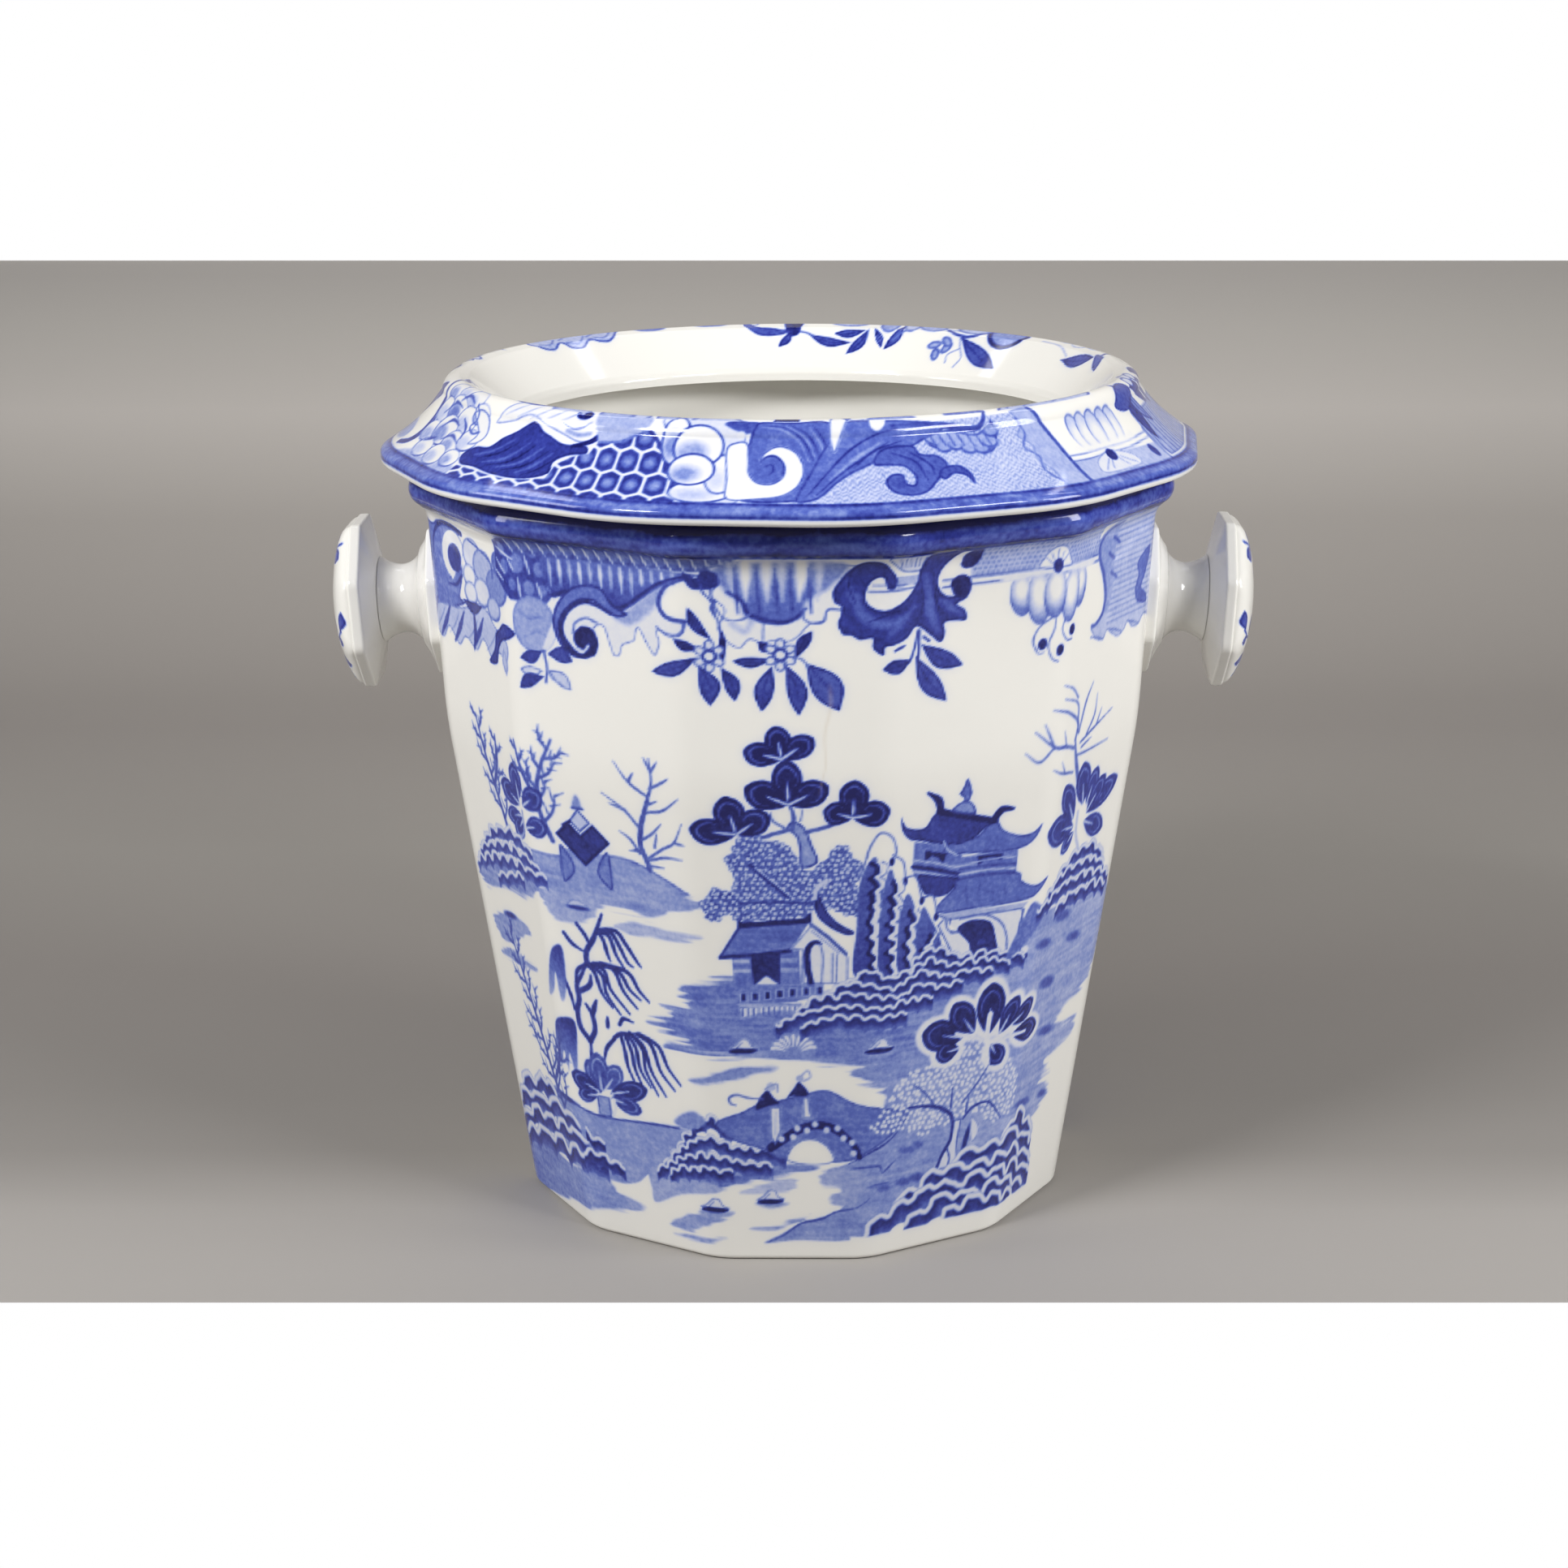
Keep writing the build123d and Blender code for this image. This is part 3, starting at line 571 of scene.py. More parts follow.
            s.pad_leaf(x, y, turn, length, width, tone=0.84)
        s.stroke([(-104, 148), (-99, 152), (-98, 160)], 1.2, 0.4)
        for line in ([(-136, 139), (-124, 146), (-108, 148), (-96, 144)], [(-142, 134), (-128, 139), (-110, 142), (-92, 139.4)],
                     [(-147, 128), (-132, 133), (-116, 136), (-100, 137), (-89, 137)], [(-130, 127), (-118, 130), (-106, 132)]):
            s.ridge(wavy(line, 7.5, 1.9), 1.7, 4.2, dark=0.86, fill=0.6)

    def draw_willow(self) -> None:
        """The willow with looped trunk, hanging fronds and a leafy foot."""
        s = self.sheet
        for points in ([(-80, 77), (-83.6, 82), (-84, 88), (-82.4, 93), (-82.6, 98), (-79.6, 103), (-77, 107.6)],
                       [(-80, 77), (-77.2, 82), (-77.6, 87.4), (-79.8, 91.4)], [(-77, 107), (-76.4, 112), (-73, 117), (-71, 121), (-68, 127.4)],
                       [(-79, 58), (-80.6, 66), (-80, 77)], [(-77.4, 88), (-75, 93.6)], [(-81.6, 96), (-77, 99), (-76, 103)]):
            s.stroke(points, 2.2, 0.88, end=0.5)
        for points in ([(-71, 120.4), (-68.8, 118), (-67.6, 112.6), (-66.6, 110)], [(-70, 120.6), (-66, 119.4), (-64, 113), (-61, 108)],
                       [(-70, 121), (-65, 121), (-62, 116), (-59.6, 111), (-57.4, 109.4)], [(-77, 107), (-74, 104), (-72, 97), (-68, 92)],
                       [(-76, 107.6), (-70, 106), (-68, 99), (-61, 91)], [(-74, 108), (-66, 107), (-62.6, 99.4), (-57.4, 93.6)],
                       [(-72, 108.2), (-63.6, 106.4), (-60, 100.6), (-55.6, 97.2)], [(-78, 106.6), (-81.4, 104), (-83, 99)],
                       [(-69, 80.4), (-66, 82.4), (-60, 83.6)], [(-66, 82), (-65, 76), (-64.4, 70), (-62, 64)],
                       [(-63, 82.6), (-60, 78), (-59, 70), (-55, 63.6)], [(-61, 83), (-56.4, 79), (-54, 70), (-48.6, 61.4)],
                       [(-59, 83.6), (-53, 80.4), (-50, 71), (-44.4, 64.4)], [(-69, 80), (-73, 75.6), (-75, 70)],
                       [(-70, 121.4), (-63, 122), (-59, 117), (-55.6, 112), (-54, 110)], [(-76, 107), (-71, 104), (-70, 97), (-65, 90)],
                       [(-71, 108.6), (-60, 107), (-56, 101), (-52, 97)], [(-62, 83.6), (-57, 78), (-56.6, 70), (-52, 61)],
                       [(-58, 84), (-50, 80.6), (-46.6, 73), (-41.6, 67)], [(-64, 82), (-62, 76), (-61.4, 70), (-58.6, 63)],
                       [(-79, 122), (-76, 118), (-75, 115)], [(-85, 117.6), (-82, 114), (-78, 112)], [(-88, 100), (-86, 94), (-85, 88)],
                       [(-71.4, 84), (-71, 88)], [(-66, 86), (-64, 88.6), (-60, 88)]):
            s.stroke(points, 1.7, 0.9, start=0.9, end=0.5)
        s.shape([(-87, 112), (-92, 110.4), (-96, 103), (-99.6, 91), (-95, 93.6), (-92.4, 101), (-91.6, 91), (-89, 92), (-87, 101)],
                0.84, fade=(-89, 110, -96, 92, 0.4), edge=0.8)
        s.shape([(-86, 83.4), (-93, 83.6), (-98.6, 80), (-100.6, 71), (-99, 63), (-95, 70), (-93.6, 62), (-91.4, 70), (-89.4, 60),
                 (-87, 71)], 0.86, fade=(-90, 82, -95, 62, 0.4), edge=0.8)
        s.shape([(-80.6, 56), (-74.6, 56), (-74.4, 48), (-81, 47.6)], 0.46, rim=0.75, smooth=False)
        for x, y, turn, length, width, tone in ((-77, 58, 118, 13, 8, 0.78), (-78, 58, 90, 15, 9, 0.74), (-76, 59, 52, 13, 8, 0.72),
                                                (-79, 57.4, 160, 14, 8, 0.9), (-74, 57.6, 16, 18, 8, 0.92), (-74, 56, -12, 14, 7, 0.82),
                                                (-80, 56, 190, 10, 6, 0.86)):
            s.pad_leaf(x, y, turn, length, width, tone=tone)
        s.stroke([(-74, 49), (-72.6, 52), (-72.8, 55)], 1.6, Tone.FAINT)

    def draw_left_shore(self) -> None:
        """The sand with big rocks and a feathery plant at the left, and the stepped rock pile."""
        s = self.sheet
        s.shape([(-112, 50), (-98, 50.6), (-80, 47.4), (-60, 49), (-42, 50), (-30, 44), (-44, 33), (-58, 30), (-66, 24),
                 (-76, 22), (-90, 24), (-112, 24)], 0.46, streak=0.03)
        s.stroke([(-108, 50), (-98, 50.8), (-80, 47.6), (-60, 49), (-44, 50)], 0.8, 0.84)
        s.dot(-100, 50, 8, 0.85, ry=1.1, edge=1.0)
        s.shape([(-59.4, 31), (-44, 31), (-30, 30), (-28, 27), (-45, 23.4), (-58, 17.6), (-59.6, 23)], 0.4, edge=0.8)
        s.shape([(-153, 23), (-130, 22), (-100, 22), (-82, 23), (-76, 17.6), (-62, 14.4), (-72, 11.4), (-90, 8.4), (-110, 5),
                 (-130, 2.4), (-153, 1.6)], 0.56, ragged=(1.2, 12, 1.4), edge=1.2, fade=(-140, 10, -66, 14, 0.44), streak=0.05)
        for points, reach, seed in (([(-100, 40), (-108, 54), (-114, 70), (-121, 88), (-128, 106)], 15, 21), ([(-108, 54), (-100, 66), (-98, 74)], 9, 22)):
            s.thorn_tree(points, reach, 0.74, seed=seed, pitch=6.0, width=2.1)
        for line in ([(-144, 42), (-131, 47), (-118, 49), (-110, 44)], [(-150, 34), (-136, 39), (-120, 41), (-106, 43), (-92, 41)],
                     [(-153, 26), (-138, 31), (-121, 34), (-104, 35), (-88, 36)], [(-150, 21), (-134, 24), (-116, 27), (-98, 28), (-80, 28)]):
            s.ridge(wavy(line, 14.0, 3.2), 2.7, 6.4, dark=0.92, fill=0.62)
        for line in ([(-90, 40), (-84, 37), (-80, 37)], [(-92, 30), (-84, 31), (-72, 28)]):
            s.ridge(wavy(line, 7.0, 2.0), 1.9, 4.6)
        for line in ([(-49, 37), (-42, 46), (-35, 53), (-30, 56), (-24, 52), (-14, 50.4), (-8, 48)],
                     [(-53, 33), (-44, 41), (-35, 47), (-29, 47.6), (-20, 44.4), (-10, 43.6), (-2, 41.4)],
                     [(-56, 31), (-46, 36), (-36, 40.4), (-28, 40.4), (-18, 38.4), (-7, 38)],
                     [(-50, 31), (-42, 34), (-30, 35.6), (-22, 35)]):
            s.ridge(wavy(line, 5.2, 1.5), 1.4, 4.4)

    def draw_bridge(self) -> None:
        """The bank, the arch with its dotted dark band, and two small figures with a crook."""
        s = self.sheet
        s.shape([(-28, 54.6), (-18, 59), (-12, 62), (-4, 63.6), (6, 66.4), (14, 67.4), (24, 62.4), (36, 59.4), (46, 56), (42, 50),
                 (30, 43), (24, 40), (14, 39), (-3, 40), (-10, 44), (-22, 48)], 0.6, rim=0.76, streak=0.04)
        s.shape([(-46, 52), (-42, 56), (-36, 58), (-32, 54), (-40, 50)], 0.5, edge=1.2)
        s.stroke([(-7.4, 45), (-2, 48.6), (3, 52), (9.4, 53.8), (16, 52.6), (21, 49), (25, 44.4), (26.4, 41)], 3.3, Tone.DARK, end=0.6)
        s.shape([(-1, 39.6), (-0.4, 44), (3, 47.4), (8, 48.6), (13, 46.6), (16.4, 42), (16, 39), (8, 38)], Tone.BARE, rim=0.6, rim_width=0.6)
        for x, y in ((-3.4, 48.4), (1, 49.2), (2.6, 52.6), (6.2, 51.8), (9.2, 54.2), (13.6, 52), (17.6, 52.6), (20, 48.8), (23.2, 47), (24, 42.8)):
            s.dot(x, y, 1.25, 0.22, edge=0.7)
        s.shape([(-7.6, 61), (-3.4, 61), (-3.2, 52), (-5.6, 46), (-7.6, 49)], Tone.FAINT, rim=0.6, smooth=False)
        s.stroke([(-5.4, 59), (-5.6, 50)], 0.5, 0.4)
        s.shape([(-12.6, 60), (-11.4, 64), (-8.4, 67.4), (-6, 64.6), (-4, 62.4), (-8, 61.4)], Tone.DARK, edge=0.6)
        s.dot(-7, 68.8, 1.7, 0.34)
        s.stroke([(-9, 68), (-5, 70), (-4.6, 67)], 0.7, 0.5)
        s.stroke([(-10, 64), (-15, 64.4), (-19.4, 65.6), (-22.2, 64.6), (-22, 62.4), (-20, 61.6)], 1.1, 0.62, start=0.6, end=0.7)
        s.shape([(4.4, 65), (7, 65), (7.4, 60), (8.2, 56.2), (4.6, 56.6)], Tone.FAINT, rim=0.6, smooth=False)
        s.shape([(-1.2, 64.4), (1.6, 68.6), (3.4, 70.6), (6.8, 66.4), (4.4, 65), (1, 65.4)], Tone.DARK, edge=0.6)
        s.dot(3.6, 72, 1.4, 0.36)
        s.stroke([(4, 73), (6.4, 75), (7.4, 72.6), (5, 71)], 0.8, 0.4)

    def draw_centre_trees(self) -> None:
        """The pine with dark leaf clusters, over a beaded bush."""
        s = self.sheet
        s.shape([(4.2, 151), (3.6, 157.6), (2.4, 162.4), (-0.4, 165), (1.6, 168), (5.4, 165.4), (7.4, 160), (9.4, 153)], 0.46,
                rim=0.86, smooth=True)
        for points, width in (([(1.6, 165), (-4, 163.4), (-9, 161.8), (-16, 163)], 1.5), ([(5.6, 163.8), (12, 165.8), (17, 168.2), (20, 169.6)], 1.5),
                              ([(1.6, 165.6), (1.8, 170), (0, 175)], 1.5), ([(-1, 165.4), (-4.6, 168), (-5.2, 171)], 0.9),
                              ([(4, 168), (4.4, 171.4), (3.8, 173)], 0.6)):
            s.stroke(points, width, 0.7, end=0.5)
        s.beads([(-17, 158), (-14, 161.6), (-4, 160), (2, 156), (3, 151), (8, 150.6), (13, 156), (17, 158.6), (21, 154.4), (24, 150),
                 (21, 145), (23.6, 140), (22, 134), (10, 137), (6, 133.6), (-14, 131.6), (-20, 134.6), (-24, 131), (-28.4, 136.6),
                 (-24, 143.4), (-19, 142), (-17, 148), (-19.4, 153)], 2.05, 0.74, 0.62, 0.24, ring=0.86, seed=4)
        s.stroke([(-12, 152), (-7, 147), (0, 140.6)], 1.5, 0.9)
        s.stroke([(-10.4, 151), (-5, 146), (1, 140.4)], 0.6, 0.25)
        s.stroke([(-16, 138), (-4, 138.4), (8, 138)], 1.0, 0.85)
        s.shape([(9.4, 142), (12, 136), (16, 131), (21.6, 127.4), (19, 126.4), (13, 129.6), (9, 134.4)], 0.84, rim=Tone.DARK)
        s.stroke([(8.6, 140), (9.2, 143.6), (12, 146)], 1.6, Tone.PALE)
        for x, y, leaves in ((-1.6, 189.6, ((100, 11.6, 8), (166, 12, 8.4), (38, 12, 8))),
                             (0.2, 173.6, ((92, 16, 9.4), (155, 14.6, 10.4), (30, 14, 9.4))),
                             (-16, 163, ((104, 14, 10), (173, 15, 9.6), (38, 12.6, 9.4))),
                             (20, 169, ((88, 13.4, 9.4), (163, 9.4, 8.4), (12, 12, 9.6)))):
            for turn, length, width in leaves:
                s.pad_leaf(x, y, turn, length, width)

    def draw_pagoda(self) -> None:
        """The pagoda: finial, horned roofs, dark openings and an arched door."""
        s = self.sheet
        s.shape([(41, 158.6), (54, 155.4), (60, 150), (81, 149.5), (81.5, 139.5), (60, 141), (52, 137), (46, 138.6), (41, 148)], 0.6, smooth=False)
        s.shape([(71.4, 161.6), (74, 158), (78, 155.6), (83, 154.2), (87, 155.2), (89.8, 157.4), (88, 153), (84, 150), (77, 149.4), (60, 151),
                 (52, 152.4), (55, 156.4), (64, 156.6), (68, 160)], 0.63, rim=0.8)
        s.shape([(35.6, 168.4), (37.6, 164.6), (41, 163.2), (45, 163.4), (48.6, 167.6), (58, 165), (70.6, 161), (67.6, 159.6), (63.6, 156.4),
                 (58, 155), (50, 156.4), (44, 158.4), (39.6, 159.6), (36.6, 163)], 0.83, rim=0.96)
        s.stroke([(49.4, 168.2), (58, 165.4), (66, 162.8), (71, 161.4)], 2.3, Tone.DARK)
        s.stroke([(50, 168.6), (48.8, 172.4), (44.8, 175.6)], 2.8, Tone.DARK, end=0.3)
        s.stroke([(70.4, 162), (73, 165), (77.4, 164.8)], 2.8, Tone.DARK, end=0.4)
        s.shape([(54.4, 167.2), (55.8, 169.6), (59, 170.6), (62, 168.8), (62.8, 165)], 0.5, rim=0.82)
        s.shape([(59, 178.4), (57.4, 174.8), (56.4, 173.4), (58, 171.8), (58.6, 170), (60, 170), (61, 172.4), (60.8, 174.6)], 0.62, rim=0.84)
        s.shape([(45.2, 154.8), (48.4, 153.8), (51, 153), (53.4, 152.2), (52.4, 148.8), (50.6, 151.2), (48, 152.4), (45.4, 150.8)],
                Tone.DARK, smooth=False)
        s.shape([(65.4, 149.4), (75, 148.8), (75.4, 146.2), (71.6, 147.6), (68, 147), (66, 146)], Tone.DARK, smooth=False)
        for points, width, tone in (([(41, 152), (50, 149.4), (58, 146.8), (70, 147.6), (80, 146.6)], 0.7, 0.3),
                                    ([(41, 149.6), (50, 147), (59, 143.8)], 1.4, 0.95), ([(42, 147.6), (51, 144.8), (59, 142)], 0.9, 0.3),
                                    ([(59, 145.4), (70, 145.2), (80.6, 144)], 0.9, 0.78), ([(59, 143.6), (70, 143.6), (80.6, 142.4)], 0.7, 0.3),
                                    ([(59, 142), (70, 142), (81, 140.8)], 0.9, 0.8), ([(52, 157), (54, 153.4), (57.6, 151)], 0.8, 0.3)):
            s.stroke(points, width, tone)
        s.shape([(43.4, 146), (45.8, 139.6), (50, 137), (55, 137.2), (58, 140), (59, 142.4), (51, 144.6)], 0.84, rim=0.97)
        s.shape([(59, 142), (81, 141), (84, 137.4), (88, 135), (92, 134.4), (97.6, 136), (93, 131.6), (87, 129.6), (70, 129.6), (53, 130.4),
                 (51, 133), (57.4, 139)], 0.62, rim=0.8)
        for x in (62, 67, 72, 77):
            s.stroke([(x, 140.6), (x + 1.4, 131)], 0.5, 0.7)
        s.shape([(53, 130), (88, 128.6), (86, 126.6), (54, 127.6)], 0.36, smooth=False)
        s.shape([(54, 128), (86, 127), (88.6, 112), (90, 108), (78, 107), (60, 112), (52, 126)], Tone.FAINT, rim=0.68, smooth=False)
        s.stroke([(57, 127.6), (57.6, 122.6), (61, 122)], 0.7, 0.7)
        s.shape([(60.4, 123), (63.6, 125.4), (68.6, 125.4), (73.6, 123.4), (76, 118), (77, 112), (70, 111.6), (66.6, 112), (65.6, 117)],
                0.93, rim=Tone.DARK)
        s.dot(70.6, 116.6, 1.8, 0.8, ry=1.1)
        s.stroke([(61, 127), (70, 127), (77, 123.4), (80.4, 118), (81.6, 111)], 0.8, 0.66)
        s.stroke([(86.4, 126), (85.6, 118), (87.4, 110)], 0.9, 0.7)
        s.shape([(80, 110), (90, 109), (91, 106.8), (84, 106), (79, 107.6)], 0.9)
        s.dot(89.6, 110.2, 1.6, Tone.FAINT)

    def draw_tea_house(self) -> None:
        """The tea house: dark ridge, sloped roof, arched gable, dark door, plinth and fence."""
        s = self.sheet
        s.shape([(-19, 119), (3.6, 121), (4, 108), (-18.6, 108)], 0.62, smooth=False)
        for y in (113, 116.6):
            s.stroke([(-18, y), (-13.6, y)], 1.5, 0.38, smooth=False)
            s.stroke([(-2.4, y + 0.4), (2.4, y + 0.4)], 1.5, 0.42, smooth=False)
        s.shape([(-16, 130), (7, 131.4), (0.8, 120.8), (-23, 117.8)], 0.66, smooth=False, fade=(-10, 130, -10, 118, 0.6), streak=0.05)
        s.stroke([(-23, 118), (-10, 119), (0.6, 120.6)], 1.4, 0.95, smooth=False)
        s.stroke([(-22.8, 118.4), (-16, 129.6)], 0.9, 0.9, smooth=False)
        s.shape([(-16.6, 132.4), (-15, 131), (5, 132.6), (7.4, 134.6), (7.6, 130.8), (-15.8, 128.8), (-16.8, 129.4)], Tone.DARK, smooth=False)
        s.shape([(7.4, 130.4), (0.4, 121), (4.4, 120.6), (4.4, 108), (20, 108), (20, 118), (18.4, 121)], Tone.FAINT, rim=0.5, smooth=False)
        s.stroke([(7.4, 130.2), (13, 125.6), (19, 119.4)], 1.3, 0.72, smooth=False)
        s.stroke([(7.6, 127.8), (12, 124), (16.8, 119.6)], 0.6, 0.5, smooth=False)
        s.shape([(-12.8, 119.4), (-3, 120), (-3, 107.6), (-12, 107.6)], 0.95, rim=Tone.DARK, smooth=False)
        s.shape([(-11.4, 107), (-9.6, 109.4), (-7.6, 111), (-5.6, 109.6), (-2.8, 106.6)], Tone.FAINT, edge=0.8)
        s.stroke([(7.4, 108.4), (6.4, 114), (6, 119), (7, 122.4), (9, 123.8), (10.6, 123)], 2.1, Tone.DARK, end=0.5)
        for points in ([(11, 108.6), (11.4, 118), (10.4, 123)], [(14.6, 109), (14.6, 119.6)], [(16, 109), (16, 119)], [(4.6, 109), (4.8, 118)]):
            s.stroke(points, 0.65, 0.6)
        s.shape([(-18.6, 108), (12, 108), (12, 104), (2, 101.4), (-17.6, 100.6)], 0.58, smooth=False)
        for x in (-15.6, -11.6, -7.4, -3.2, 1.2, 5.8, 10.4):
            y = 102.8 + 0.11 * (x + 16)
            s.shape([(x - 1.4, y - 1.6), (x + 1.4, y - 1.6), (x + 1.4, y + 1.8), (x - 1.4, y + 1.8)], 0.36, smooth=False)
            s.shape([(x - 0.75, y - 1.2), (x + 0.75, y - 1.2), (x + 0.75, y + 1.4), (x - 0.75, y + 1.4)], Tone.DARK, smooth=False)
        s.shape([(-17.8, 100.4), (4.4, 101), (3.6, 97.4), (-6, 97.4), (-16.6, 94.8)], Tone.FAINT, rim=0.45, smooth=False)
        for k in range(11):
            s.stroke([(-16 + 1.8 * k, 96.2 + 0.1 * k), (-16 + 1.8 * k, 98.8 + 0.05 * k)], 0.75, 0.62, smooth=False)
        s.stroke([(-17, 99.2), (3.8, 100)], 0.5, 0.5, smooth=False)

    def draw_middle_rocks(self) -> None:
        """The tall fluted rocks and the scalloped rock mass in front of the pagoda."""
        s = self.sheet
        for points in ([(23, 148), (24.6, 154), (26, 159), (29, 163.4), (33, 161.4), (34.6, 156), (33, 152)],
                       [(33.6, 155), (37.4, 152), (38.6, 145)], [(38.6, 146), (42.6, 145.6), (45.4, 137)], [(45.6, 137.4), (49.6, 137.4), (51.6, 130.4)],
                       [(51.6, 130), (55, 128), (56.6, 123.6), (61, 122)]):
            s.shape(points, Tone.BARE, edge=0.6)
            s.stroke(points, 0.8, 0.62)
        for x, y in ((33.2, 152.6), (38.6, 144.6), (45.4, 136.4), (51.4, 129.4)):
            s.dot(x, y, 0.9, Tone.DARK, ry=1.5)
        columns = (([(27.4, 155), (23, 146), (22.4, 130), (22, 111), (32, 109), (31, 130), (30, 146)], 28.8, 153),
                   ([(33, 150), (30.6, 140), (30.6, 111), (39, 108), (39, 125), (36, 140)], 35.6, 146),
                   ([(39.6, 140), (37, 128), (38, 111), (46, 108), (48, 120), (44, 132)], 42.4, 134),
                   ([(46, 134), (44.6, 124), (46, 112), (56, 110), (54, 120), (50, 128)], 49.6, 124))
        for body, x, top in columns:
            s.shape(body, 0.66, fade=(body[0][0], body[0][1], body[3][0], body[3][1], 0.8))
            line = wavy([(x - 0.6, top), (x - 1.6, top * 0.6 + 44), (x - 0.4, 109)], 5.6, 1.9)
            s.stroke(line - np.array([2.0, 0.6]), 1.7, Tone.DARK, smooth=False)
            s.stroke(line, 2.2, 0.14, start=0.3, smooth=False)
            s.stroke(line + np.array([1.5, 0.0]), 0.6, 0.6, smooth=False)
        for line in ([(40, 107), (46, 115), (53, 117), (62, 112.4), (72, 112), (82, 110), (90, 108)],
                     [(19, 107), (27, 112), (34, 109), (42, 110), (50, 113), (58, 109.6), (66, 109.6), (75, 109), (84, 106.6)],
                     [(11, 102), (17, 107), (24, 107.6), (31, 106), (38, 105), (47, 109), (56, 106), (66, 106), (77, 105)],
                     [(2, 96), (9, 102), (16, 102.6), (23, 103.6), (31, 102), (40, 101.6), (48, 104.4), (56, 102), (65, 103)],
                     [(-4, 92), (3, 96), (10, 98), (18, 99), (26, 98.6), (34, 97.6), (42, 98.6), (53, 99)],
                     [(4, 91.4), (14, 94.4), (24, 95), (33, 94), (43, 94.6)]):
            s.ridge(wavy(line, 5.4, 1.5), 1.4, 4.4, fill=0.68)

    def draw_right_island(self) -> None:
        """The bare tree, leafy clump and rocks at the right."""
        s = self.sheet
        for points, width in (([(114, 160), (109, 170), (105.6, 178), (104, 184)], 2.4), ([(104, 181), (98, 183), (91, 184.4), (83, 190.8)], 1.5),
                              ([(106, 178), (112, 177.6), (129, 178)], 1.1), ([(104, 184), (105, 190), (98, 195), (89.6, 197.6)], 1.4),
                              ([(105, 190), (104, 197), (95, 200.4)], 1.1), ([(104, 199), (100, 203), (94, 205.4)], 1.0), ([(91, 184), (86.4, 193)], 1.1),
                              ([(90, 183.6), (85, 180), (79.6, 184)], 1.1), ([(106, 186), (110, 196), (114.4, 202)], 1.2), ([(112, 184), (117, 190), (118, 197)], 1.0),
                              ([(105, 172), (97, 173.6), (91.6, 176)], 1.1), ([(108, 182), (117, 185), (130, 189)], 1.1), ([(98, 183), (96, 189)], 0.8),
                              ([(99, 173.4), (96, 178)], 0.8), ([(119, 186), (122, 191)], 0.8), ([(109, 180), (116, 182)], 1.0)):
            s.stroke(points, width, 0.62, end=0.4, edge=0.7)
        for x, y, turn, length, width in ((117, 157, 104, 17, 10.6), (111, 153, 124, 18, 9.4), (120, 156, 70, 14, 8.4), (112, 150, 172, 19, 12),
                                          (121, 153, 20, 23, 9), (121, 153, 44, 16, 8.4), (120, 150, -22, 18, 8.6), (113, 148, 218, 10, 6)):
            s.pad_leaf(x, y, turn, length, width, tone=0.85)
        s.stroke([(119, 140), (115, 147), (114, 155)], 1.8, Tone.PALE, edge=0.8)
        s.shape([(82, 108), (86, 120), (90, 127.6), (95, 126), (99, 122), (96, 118)], 0.6, edge=0.9)
        for line in ([(106, 131), (114, 137), (124, 139), (134, 136), (142, 131)], [(98, 126), (108, 132), (120, 133), (132, 132), (144, 128)],
                     [(94, 123), (106, 127), (118, 128), (132, 127), (150, 122)], [(108, 120), (120, 122), (134, 121.6), (148, 119)]):
            s.ridge(wavy(line, 7.4, 2.0), 1.8, 4.4, dark=0.92, fill=0.62)

    def draw_right_shore(self) -> None:
        """The dark leaf fan with its pale edge, the white-berried tree and the big near rocks."""
        s = self.sheet
        leaves = ((67, 81, 166, 18, 12), (71.6, 82, 128, 16, 10.4), (78, 80, 91, 20, 12), (83, 79.6, 62, 15, 7.6), (88, 82, 30, 14, 7.6),
                  (89, 78, -3, 17, 8.6), (66, 77, 187, 10, 8), (79.6, 76, -56, 10, 8))
        for x, y, turn, length, width in leaves:
            c, q = math.cos(math.radians(turn)), math.sin(math.radians(turn))
            s.dot(x + 0.52 * length * c, y + 0.52 * length * q, 0.5 * length + 2.2, 0.1, ry=0.5 * width + 2.0, turn=turn, edge=1.0)
        s.beads([(30, 53), (36, 59), (39, 66), (46, 71.6), (54, 73), (60, 77), (67, 80), (76, 77), (86, 71), (93, 64), (97, 56), (93, 46),
                 (84, 45), (78, 50), (70, 50), (62, 47.6), (52, 46), (44, 50), (36, 49.6)], 2.2, 0.72, -1.0, 0.12, seed=9)
        for x, y, turn, length, width in leaves:
            s.pad_leaf(x, y, turn, length, width, tone=0.97)
        for points, width, tone in (([(64, 83), (70, 80.6), (75, 78.6), (79, 75.6)], 1.4, 0.14), ([(78, 88), (77.6, 81), (78.4, 75), (80, 67)], 2.2, 0.1),
                                    ([(97, 77.4), (88, 77.6), (81, 76)], 1.4, 0.12), ([(67, 46), (65.4, 51), (61, 54.4), (55, 56.6), (46, 57.6)], 1.7, 0.88),
                                    ([(71, 48.6), (75, 52.4), (81, 53.4), (85, 50.4), (88.6, 45.6)], 1.0, 0.86), ([(65, 54), (65, 62)], 0.9, 0.8),
                                    ([(72, 51), (72.4, 57)], 0.8, 0.8), ([(57, 57), (53, 62), (48, 66)], 0.8, 0.76), ([(70, 55), (76, 62), (80, 68)], 0.8, 0.7)):
            s.stroke(points, width, tone, end=0.5)
        s.shape([(66, 49), (70.6, 49), (69.6, 40), (70.6, 30), (60, 30), (62.6, 37), (66, 42)], 0.16, rim=0.7, smooth=False)
        s.stroke([(66.8, 48), (66.2, 41), (63, 35.6), (61, 30)], 1.3, 0.9)
        s.stroke([(65, 38), (66.6, 34), (66, 30)], 0.8, 0.8)
